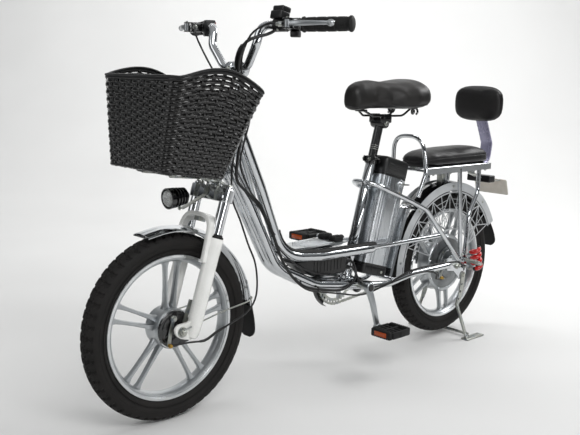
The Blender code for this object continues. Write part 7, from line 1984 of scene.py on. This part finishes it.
def makePedal(side, name, body, node):
    p, c = pedalSizes, crankSizes
    eye = crankAxle + crankOut * (side * c["length"])

    def spot(x, reach, z):
        return eye + Vector((x, side * (p["start"] + reach), z))

    def block(x0, x1, r0, r1, z0, z1, bevel, mat=0):
        a, b = spot(x0, r0, z0), spot(x1, r1, z1)
        low = Vector(tuple(min(a[i], b[i]) for i in range(3)))
        high = Vector(tuple(max(a[i], b[i]) for i in range(3)))
        addSlab(bm, low, high, bevel, None, 2, mat)

    bm = bmesh.new()
    half, wide, tall = p["length"] / 2, p["width"], p["thick"] / 2
    addRod(bm, spot(0, -0.006, 0), spot(0, wide - 0.002, 0), 0.0085, 28)
    addTurned(bm, spot(0, wide - 0.003, 0), left * side, [(0, 0.0100), (0.0022, 0.0100), (0.0030, 0.0086)],
              28)
    for way in (-1, 1):  # tread bars front and rear, each with its reflector and a row of teeth
        block(*sorted((way * (half - 0.0150), way * half)), 0.006, wide - 0.004, -tall + 0.001, tall - 0.001,
              0.0040)
        block(*sorted((way * (half - 0.0012), way * (half + 0.0008))), 0.020, wide - 0.018, -0.0070, 0.0070,
              0.0010, 1)
        for k in range(9):
            reach = 0.012 + (wide - 0.026) * k / 8
            for level in (-1, 1):
                block(*sorted((way * (half - 0.0130), way * (half - 0.0035))), reach - 0.0022, reach + 0.0022,
                      *sorted((level * (tall - 0.003), level * tall)), 0.0007)
    # the cage's plates from bar to bar
    for reach, width in ((0.0045, 0.009), (wide / 2, 0.008), (wide - 0.0045, 0.009)):
        block(-half + 0.012, half - 0.012, reach - width / 2, reach + width / 2, -tall + 0.0030,
              tall - 0.0030, 0.0022)
    for x in (-0.0165, 0.0165):
        block(x - 0.0030, x + 0.0030, 0.006, wide - 0.006, -tall + 0.0050, tall - 0.0050, 0.0014)
    makePiece(name, bm, [blackRubber, amberLens], body, [node], 32)


def chainPath():  # the pitch line round both sprockets
    c, d = crankSizes, driveSizes
    front, rear = crankAxle + left * c["y"], rearAxle + left * c["y"]
    line = front - rear
    tilt = math.atan2(line.z, line.x)
    lean = math.acos((c["ring"] - c["sprocket"]) / line.length)
    points = []
    for centre, radius, first, sweep, steps in ((front, c["ring"], lean - math.pi, 2 * (math.pi - lean), 90),
                                                (rear, c["sprocket"], math.pi - lean, 2 * lean, 40)):
        for i in range(steps + 1):
            points.append(centre + polar(tilt + first + sweep * i / steps,
                                         radius + d["gap"] + d["thick"] / 2))
    return points + [points[0]]


def makeChain():
    d = driveSizes
    points = chainPath()
    lengths = [(b - a).length for a, b in zip(points, points[1:])]
    total = sum(lengths)
    links = 2 * round(total / d["pitch"] / 2)
    pins = []
    i, gone = 0, 0.0
    for k in range(links):
        target = total * k / links
        while gone + lengths[i] < target:
            gone += lengths[i]
            i += 1
        pins.append(points[i].lerp(points[i + 1], (target - gone) / lengths[i]))
    bm = bmesh.new()
    for k, pin in enumerate(pins):
        other = pins[(k + 1) % links]
        along = (other - pin).normalized()
        high = along.cross(left)
        span = (other - pin).length
        outline = []
        for a in range(9):  # the figure-of-eight side plate
            turn = math.pi / 2 + math.pi * a / 8
            outline.append((d["plate"] / 2 * math.cos(turn), d["plate"] / 2 * math.sin(turn)))
        outline.append((span / 2, -d["plate"] * 0.36))
        for a in range(9):
            turn = -math.pi / 2 + math.pi * a / 8
            outline.append((span + d["plate"] / 2 * math.cos(turn), d["plate"] / 2 * math.sin(turn)))
        outline.append((span / 2, d["plate"] * 0.36))
        for side in (-1, 1):
            y = side * (d["wide"] / 2 - (0.0006 if k % 2 else 0.0017))
            addPlate(bm, outline, pin + left * y, along, high, 0.0010, 0)
        addRod(bm, pin - left * (d["wide"] / 2), pin + left * (d["wide"] / 2), 0.0017, 10, 0)
        addRod(bm, pin - left * 0.0016, pin + left * 0.0016, 0.0032, 12, 0)
    makePiece("chain", bm, zincPlate, "frame", ["chain"], 35)


def makeFreewheel():
    c = crankSizes
    centre = rearAxle + left * c["y"]
    bm = bmesh.new()
    steps = c["cogs"] * 6
    hole = [centre + polar(2 * math.pi * (i - 2.16) / steps, 0.0200) for i in range(steps)]
    addRing(bm, toothed(centre, c["sprocket"], c["cogs"]), hole, 0.0028)
    addTurned(bm, centre - left * 0.0030, left, [(0, 0.0190), (0.0008, 0.0210), (0.0225, 0.0210),
            (0.0233, 0.0200), (0.0233, 0.0062), (0, 0.0062)], 48, True)
    for k in range(4):
        addTurned(bm, centre - left * 0.0032 + polar(math.pi / 2 * k, 0.0140), -left,
                  [(0, 0.0022), (0.0003, 0.0018)], 12)
    makePiece("freewheel", bm, zincPlate, "freewheel", ["freewheel"])


def makeChainGuard():
    c = crankSizes
    centre = crankAxle + left * c["y"]
    reach = c["ring"] + 0.018
    bm = bmesh.new()
    rings = []
    for i in range(61):
        turn = math.radians(-62 + 150 * i / 60)
        out = polar(turn, 1)
        rim = centre + out * reach
        rings.append([rim + out * a + left * b for a, b in ((-0.0300, -0.0156), (-0.0010, -0.0156),
                (0.0008, -0.0150), (0.0016, -0.0138), (0.0016, 0.0012), (0.0008, 0.0020), (0.0, 0.0012),
                (0.0, -0.0132), (-0.0010, -0.0142), (-0.0300, -0.0142))])
    addSkin(bm, rings)
    for degrees in (-52, -12, 34, 78):  # pressed ribs on the outer face
        turn = math.radians(degrees)
        addStrap(bm, [centre + polar(turn, reach - 0.026, -0.0158),
                      centre + polar(turn, reach - 0.006, -0.0158)], polar(turn + math.pi / 2, 1), 0.0040,
                 0.0012)
    turn = math.radians(-12)
    rim = centre + polar(turn, reach)
    addStrap(bm, bent([rim - left * 0.004, rim + left * 0.012, rim + Vector((-0.005, 0.0206, 0.0128))],
                      0.004, 5), forward, 0.014, 0.0025, 1)
    addBolt(bm, rim + left * 0.006 - polar(turn, -0.0018), polar(turn, 1), 0.0034, 0.0022, mat=1)
    makePiece("chainGuard", bm, [mouldedPlastic, zincPlate], "frame", ["chain_guard"], 40)


makeCrankset()
makePedal(1, "leftPedal", "left_pedal", "left_pedal")
makePedal(-1, "rightPedal", "right_pedal", "right_pedal")
makeChain()
makeFreewheel()
makeChainGuard()
print("drivetrain done")

# Rear brake: a finned cover with its axle, nuts and cam
coverSizes = {"radius": 0.058, "inner": 0.0275, "outer": 0.0475, "arm": 0.0496, "nut": 0.0700}


def makeRearBrake():
    s = coverSizes
    bm = bmesh.new()
    start = rearAxle + left * s["inner"]
    addTurned(bm, start, left, [(0, 0.0570), (0.0010, s["radius"]), (0.0060, s["radius"]), (0.0072, 0.0562),
                                (0.0080, 0.0500), (0.0120, 0.0480), (0.0132, 0.0430), (0.0150, 0.0380),
                                (0.0190, 0.0250), (0.0200, 0.0200), (0.0200, 0.0100)], 80)
    for i in range(10):
        turn = 2 * math.pi * i / 10 + 0.2
        addStrap(bm, [start + polar(turn, 0.022, 0.0178), start + polar(turn, 0.036, 0.0148),
                      start + polar(turn, 0.046, 0.0118)], polar(turn + math.pi / 2, 1), 0.0028, 0.0030)
    for i in range(3):
        addBolt(bm, start + polar(2 * math.pi * i / 3 + 0.9, 0.0530, 0.0066), left, 0.0030, 0.0022, mat=1)
    pin = rearAxle + Vector((0.034, 0, 0.012))
    addTurned(bm, pin + left * (s["inner"] + 0.006), left, [(0, 0.0110), (0.0120, 0.0105), (0.0138, 0.0084)],
              30)
    # the torque arm that stops the cover from turning, clamped to the chain stay
    stay = bike(0.118, 0.066, 0.2585)
    arm = [rearAxle + Vector((0.030, 0.0440, -0.012)), bike(0.080, 0.0490, 0.2430), stay]
    addStrap(bm, bent(arm, 0.020, 8), top, 0.013, 0.0030, 1)
    addRod(bm, rearAxle - left * 0.0850, rearAxle + left * 0.0850, 0.006, 24, 0.001, 1)
    for side in (-1, 1):
        face = rearAxle + left * (side * (s["nut"] + 0.0002))
        addTurned(bm, face, left * side, [(0, 0.0130), (0.0016, 0.0130), (0.0016, 0.0105), (0.0020, 0.0105)],
                  32, mat=1)
        addTurned(bm, face + left * side * 0.0016, left * side,
                  [(0, 0.0106), (0.0062, 0.0106), (0.0074, 0.0094)], 6, mat=1)
    makePiece("rearBrakeCover", bm, [darkAlloy, zincPlate], "frame", ["rear_brake_cover"], 32)


makeRearBrake()
makeBrakeArm("rearBrakeArm", rearAxle + Vector((0.034, 0, 0.012)), Vector((0.62, 0, -0.78)).normalized(),
             0.060, coverSizes["arm"], "rear_brake_arm", "rear_brake_arm")

# Stand, pegs and the red coil at the left dropout
standSizes = {"bladeY": 0.0723, "blade": 0.004, "rod": 0.0055, "footY": 0.114, "footX": -0.016,
              "crossX": -0.047}


def makeStand():
    s = standSizes
    hinge = bike(-0.034, 0, 0.214)
    outline = [(-0.011, 0.006), (-0.008, 0.0105), (-0.004, 0.012), (0.002, 0.0124), (0.006, 0.011),
               (0.0100, 0.0065), (0.011, 0), (0.0112, -0.018), (0.013, -0.034), (0.022, -0.066),
               (0.034, -0.098), (0.0300, -0.106), (0.020, -0.108), (0.008, -0.088), (0.002, -0.070),
               (-0.0070, -0.040), (-0.012, -0.010)]
    bm = bmesh.new()
    for side in (-1, 1):
        y = side * s["bladeY"]
        where = hinge + left * y
        addPlate(bm, outline, where, forward, top, s["blade"], 0.0010)
        face = side * (s["blade"] / 2)
        # lightening holes: thin dark discs painted on the blade as the shade inside them
        for x, z, size in ((0.0055, -0.030, 0.0040), (0.0120, -0.055, 0.0045), (0.0195, -0.080, 0.0040)):
            addTurned(bm, where + Vector((x, face - side * 0.0004, z)), left * side,
                      [(0, size), (0.0006, size)], 20, mat=1)
        addTurned(bm, where + left * (face - side * 0.0002), left * side,
                  [(0, 0.0078), (0.0016, 0.0078), (0.0020, 0.0070)], 28)
        addTurned(bm, where + left * (face + side * 0.0014), left * side,
                  [(0, 0.0058), (0.0026, 0.0058), (0.0034, 0.0050)], 6)
        leg = flowing([bike(-0.011, y, 0.132), bike(-0.009, y + side * 0.002, 0.112),
                       bike(-0.012, side * 0.094, 0.060), bike(s["footX"], side * s["footY"], 0.0060)], 26)
        addTube(bm, leg, s["rod"], 20)
        addSlab(bm, bike(-0.100, side * 0.114 - 0.014, 0.0002), bike(-0.004, side * 0.114 + 0.014, 0.0060),
                0.0020, None, 3)
        addWeld(bm, leg[-1] + Vector((0, 0, 0.0015)), top, s["rod"])
        for k in range(5):
            x = -0.088 + 0.016 * k
            addSlab(bm, bike(x - 0.002, side * 0.114 - 0.011, 0.0052),
                    bike(x + 0.002, side * 0.114 + 0.011, 0.0068), 0.0006)
    addRod(bm, Vector((bike(s["crossX"], 0, 0).x, -0.0990, 0.0100)),
           Vector((bike(s["crossX"], 0, 0).x, 0.0990, 0.0100)), 0.0048, 20)
    makePiece("centreStand", bm, [zincPlate, blackEnamel], "stand", ["centre_stand"], 35)


def makePeg(side, name, body, node):
    pin = bike(-0.014, side * 0.0885, 0.2742)
    bm = bmesh.new()
    rows = [(0.0015, 0.0068, 0.0085, 0), (0.0040, 0.0075, 0.0095, 0), (0.012, 0.0078, 0.0090, 0),
            (0.020, 0.0100, 0.0088, -0.0004), (0.030, 0.0125, 0.0086, -0.001),
            (0.045, 0.0126, 0.0086, -0.0025), (0.058, 0.0118, 0.0086, -0.004),
            (0.0650, 0.0090, 0.0078, -0.0048), (0.068, 0.0062, 0.0066, -0.005)]
    rings = []
    for reach, half, thick, drop in rows:
        middle = pin + left * (side * reach) + top * drop
        rings.append([middle + Vector((half * squarer(math.cos(a), 0.5), 0,
                                       thick / 2 * squarer(math.sin(a), 0.6)))
                      for a in turnsOf(28)])
    addSkin(bm, rings)
    addTurned(bm, pin - Vector((0.0078, 0, 0)), forward, [(0, 0.0042), (0.0010, 0.0048), (0.0146, 0.0048),
            (0.0156, 0.0042), (0.0156, 0.0031), (0, 0.0031)], 24, True)
    for k in range(5):
        middle = pin + left * (side * (0.026 + 0.0075 * k)) + top * (0.0032 - 0.0006 * k)
        addSlab(bm, middle - Vector((0.0085, 0.0014, 0)), middle + Vector((0.0085, 0.0014, 0.0020)), 0.0006)
    makePiece(name, bm, zincPlate, body, [node], 40)


coilSizes = {"turns": 3.4, "wire": 0.0070, "radius": 0.0140, "x": -0.086, "footX": -0.066, "low": 0.238,
             "high": 0.306, "y": 0.0918}


def makeCoil():
    c = coilSizes
    low, high = bike(c["x"], c["y"], c["low"]), bike(c["footX"], c["y"], c["high"])
    axis = (high - low).normalized()
    first, second = across(axis)
    steps = round(c["turns"] * 40)
    winding = []
    for i in range(steps + 1):
        turn = 2 * math.pi * c["turns"] * i / steps
        winding.append(low.lerp(high, i / steps) + first * (c["radius"] * math.cos(turn)) + second
                       * (c["radius"] * math.sin(turn)))
    bm = bmesh.new()
    addTube(bm, winding, c["wire"] * 1.02, 20)
    for end, other in ((winding[0], winding[1]), (winding[-1], winding[-2])):
        away = (end - other).normalized()
        addTurned(bm, end - away * 0.006, away,
                  [(0, c["wire"] * 1.08), (0.0075, c["wire"] * 1.08), (0.0085, c["wire"])], 20, mat=1)
    hook = flowing([bike(-0.038, 0.0763, 0.246), bike(-0.046, 0.0763, 0.240), bike(-0.054, 0.0803, 0.2345),
                    low + first * c["radius"] * 0.4], 14)
    addTube(bm, hook, 0.0024, 12, mat=2)
    makePiece("redCoil", bm, [redEnamel, mouldedPlastic, zincPlate], "frame", ["red_coil_spring"],
              60)


makeStand()
makePeg(1, "leftFootpeg", "left_footpeg", "left_footpeg")
makePeg(-1, "rightFootpeg", "right_footpeg", "right_footpeg")
makeCoil()
print("stand, pegs and coil done")


# Cables and the ties round them: their radii and a tie's width in metres, and how many points a path gets
cableSizes = {"brake": 0.0025, "loom": 0.0040, "lead": 0.0021, "motor": 0.0032, "steps": 90, "tie": 0.0034}
cablePaths = {}
origin = Vector()


def through(place, *rows):  # points set from a place, or by a function such as forkAt
    return [place(*row) if callable(place) else place + Vector(row) for row in rows]


def makeCable(name, points, radius, material, body, node=(), turning=None, beads=()):
    path = flowing(points, cableSizes["steps"])
    bm = bmesh.new()
    addTube(bm, path, radius, 14)
    rides = None if turning else body
    piece = makePiece(name, bm, material, rides, node, 50)
    extras = []
    for k, (first, last, wide) in enumerate(beads):  # sleeves and ferrules round the cable
        bm = bmesh.new()
        part = path[first:last]
        addTube(bm, part, [wide * (0.86 if i in (0, len(part) - 1) else 1.0) for i in range(len(part))], 18)
        extras.append(makePiece(name + "Sleeve" + str(k), bm, mouldedPlastic, rides, (), 50))
    for one in [piece] + extras:
        if turning:
            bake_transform(one)
    cablePaths[name] = path
    return piece


def makeTies(name, path, places, radius, body):
    bm = bmesh.new()
    wide, frames = cableSizes["tie"], directions(path)
    for k in places:
        along = frames[k][0]
        addTurned(bm, path[k] - along * (wide / 2), along, [(0, radius), (0, radius + 0.0012),
                (wide, radius + 0.0012), (wide, radius)], 20, True)
        side = across(along)[0]
        addSlab(bm, Vector((-0.0022, -0.0020, radius)), Vector((0.0022, 0.0020, radius + 0.0034)), 0.0005,
                Matrix.Translation(path[k]) @ facing(along, side), 2)
    makePiece(name, bm, mouldedPlastic, body)


def leverExit(side):  # the first two points of the cable that a brake lever pulls
    _, middle, ahead, out = leverPlace(side)
    begin, away = middle + ahead * 0.039 - out * 0.036, (ahead * 0.006 - out * 0.026).normalized()
    return [begin + away * 0.0009, begin + away * 0.022]


bar = barCentre
# what passes from the bar to the frame
turning = ("steering", "frame", forkAt(0, 0, 0.620), forkAt(0, 0, 0.440))
# front brake cable: in front of the bar, down the left of the head tube and round behind the fork to the drum
eye = frontPin + frontDown * 0.066 + left * 0.0520
route = leverExit(1)
route += through(bar, (0.040, 0.108, 0.082), (0.042, 0.078, 0.036), (0.027, 0.055, -0.006),
                 (0.010, 0.043, -0.062))
route += through(forkAt, (0.006, 0.040, 0.572), (0.000, 0.040, 0.500), (-0.008, 0.037, 0.440),
                 (-0.020, 0.036, 0.392), (-0.033, 0.041, 0.349), (-0.066, 0.050, 0.305),
                 (-0.104, 0.060, 0.249), (-0.138, 0.066, 0.206), (-0.158, 0.071, 0.155),
                 (-0.160, 0.076, 0.113), (-0.141, 0.079, 0.078), (-0.100, 0.081, 0.047),
                 (-0.052, 0.081, 0.014), (-0.022, 0.0805, -0.010))
route += through(eye, (-0.052, 0.014, 0.0032), (-0.030, 0.004, 0.0008), (-0.0051, 0, 0))
makeCable("frontBrakeCable", route, cableSizes["brake"], cableSheath, "steering", ["front_brake_cable"],
          ("steering", "fork_slider", forkAt(0, 0, 0.440), forkAt(0, 0, 0.300)),
          beads=((76, 84, 0.0036), (0, 3, 0.0036)))

# rear brake cable: behind the stem, along the lower tubes and the chain stay to the drum
pull = Vector((0.62, 0, -0.78)).normalized()
rearEye = rearAxle + Vector((0.034, coverSizes["arm"], 0.012)) + pull * 0.066 + left * 0.0165
route = leverExit(-1)
route += through(bar, (0.044, -0.108, 0.078), (0.040, -0.072, 0.026), (0.014, -0.052, -0.030))
route += through(forkAt, (-0.006, -0.042, 0.618), (-0.032, -0.022, 0.596), (-0.040, 0.010, 0.584),
                 (-0.026, 0.040, 0.556), (-0.018, 0.049, 0.500), (-0.026, 0.047, 0.440))
route += through(origin, (0.364, 0.048, 0.572), (0.331, 0.052, 0.534), (0.303, 0.054, 0.484),
                 (0.280, 0.055, 0.440), (0.261, 0.056, 0.395), (0.237, 0.057, 0.348), (0.198, 0.058, 0.306),
                 (0.150, 0.058, 0.275), (0.083, 0.058, 0.258), (0.010, 0.056, 0.241), (-0.040, 0.056, 0.229),
                 (-0.080, 0.057, 0.224), (-0.120, 0.059, 0.227), (-0.160, 0.063, 0.236),
                 (-0.215, 0.075, 0.249), (-0.285, 0.086, 0.262), (-0.350, 0.090, 0.262),
                 (-0.405, 0.088, 0.247))
route += through(rearEye, (0.045, 0.008, 0.014), (0.024, 0.002, 0.006), (0.0051, 0, 0.001))
makeCable("rearBrakeCable", route, cableSizes["brake"], cableSheath, "frame", (), turning,
          beads=((84, 88, 0.0036), (0, 3, 0.0036)))

# main loom: from the display, with the front cable to the head tube, then down the frame to the controller
route = through(barBend + gripAlong * 0.041, (0.006, -0.014, -0.012), (0.020, -0.024, -0.022))
route += through(bar, (0.040, 0.094, 0.066), (0.048, 0.070, 0.030), (0.033, 0.050, -0.008),
                 (0.014, 0.051, -0.062))
route += through(forkAt, (0.002, 0.0490, 0.572), (-0.005, 0.0490, 0.500), (-0.015, 0.0460, 0.440))
route += through(origin, (0.404, 0.043, 0.602), (0.366, 0.041, 0.566), (0.329, 0.044, 0.529),
                 (0.299, 0.046, 0.481), (0.276, 0.047, 0.438), (0.256, 0.048, 0.394), (0.232, 0.050, 0.350),
                 (0.195, 0.050, 0.310), (0.148, 0.050, 0.281), (0.083, 0.051, 0.264), (0.020, 0.050, 0.252),
                 (-0.030, 0.049, 0.258), (-0.062, 0.044, 0.282), (-0.070, 0.030, 0.310))
route += through(bike, (0.478, 0.020, 0.327), (0.492, 0.020, 0.328))
makeCable("mainLoom", route, cableSizes["loom"], cableSheath, "frame", (), turning, beads=((7, 13, 0.0080),))
makeTies("loomTies", cablePaths["mainLoom"], (42, 50, 58, 64, 70), 0.0044, "frame")

# lead that leaves the loom above the footboard, and the lead up the seat tube from the battery
route = through(origin, (0.262, 0.0480, 0.410), (0.246, 0.056, 0.392), (0.222, 0.060, 0.370),
                (0.180, 0.057, 0.343), (0.130, 0.052, 0.322), (0.080, 0.046, 0.308), (0.050, 0.040, 0.302),
                (0.036, 0.034, 0.304))
makeCable("controllerLead", route, cableSizes["lead"], cableSheath, "frame")
route = [seatAt(back, y, seatReach(z)) for back, y, z in (
    (0.013, 0.0215, 0.618), (0.006, 0.0270, 0.626), (-0.014, 0.0255, 0.622), (-0.027, 0.018, 0.600),
    (-0.030, 0.014, 0.557), (-0.026, 0.011, 0.505), (-0.022, 0.010, 0.455), (-0.022, 0.010, 0.405),
    (-0.030, 0.009, 0.365))]
route += through(bike, (0.486, 0.004, 0.350), (0.494, 0.004, 0.341))
makeCable("batteryLead", route, cableSizes["lead"], cableSheath, "frame")
makeTies("seatTubeTies", cablePaths["batteryLead"], (30, 48, 64), 0.0024, "frame")

# motor lead: out of the left end of the axle, over the dropout and along the chain stay
route = through(rearAxle, (0.004, 0.0905, 0.000), (0.010, 0.1000, 0.006), (0.040, 0.1010, 0.022),
                (0.090, 0.0970, 0.026), (0.150, 0.0880, 0.026), (0.220, 0.0790, 0.022),
                (0.280, 0.0720, 0.012), (0.335, 0.0660, -0.006), (0.390, 0.0620, -0.012),
                (0.430, 0.0600, -0.008))
route += through(bike, (0.464, 0.052, 0.262), (0.478, 0.040, 0.295), (0.484, 0.031, 0.309),
                 (0.496, 0.030, 0.310))
makeCable("motorLead", route, cableSizes["motor"], cableSheath, "frame")
makeTies("stayTies", cablePaths["motorLead"], (26, 42, 56), 0.0034, "frame")
print("cables done")
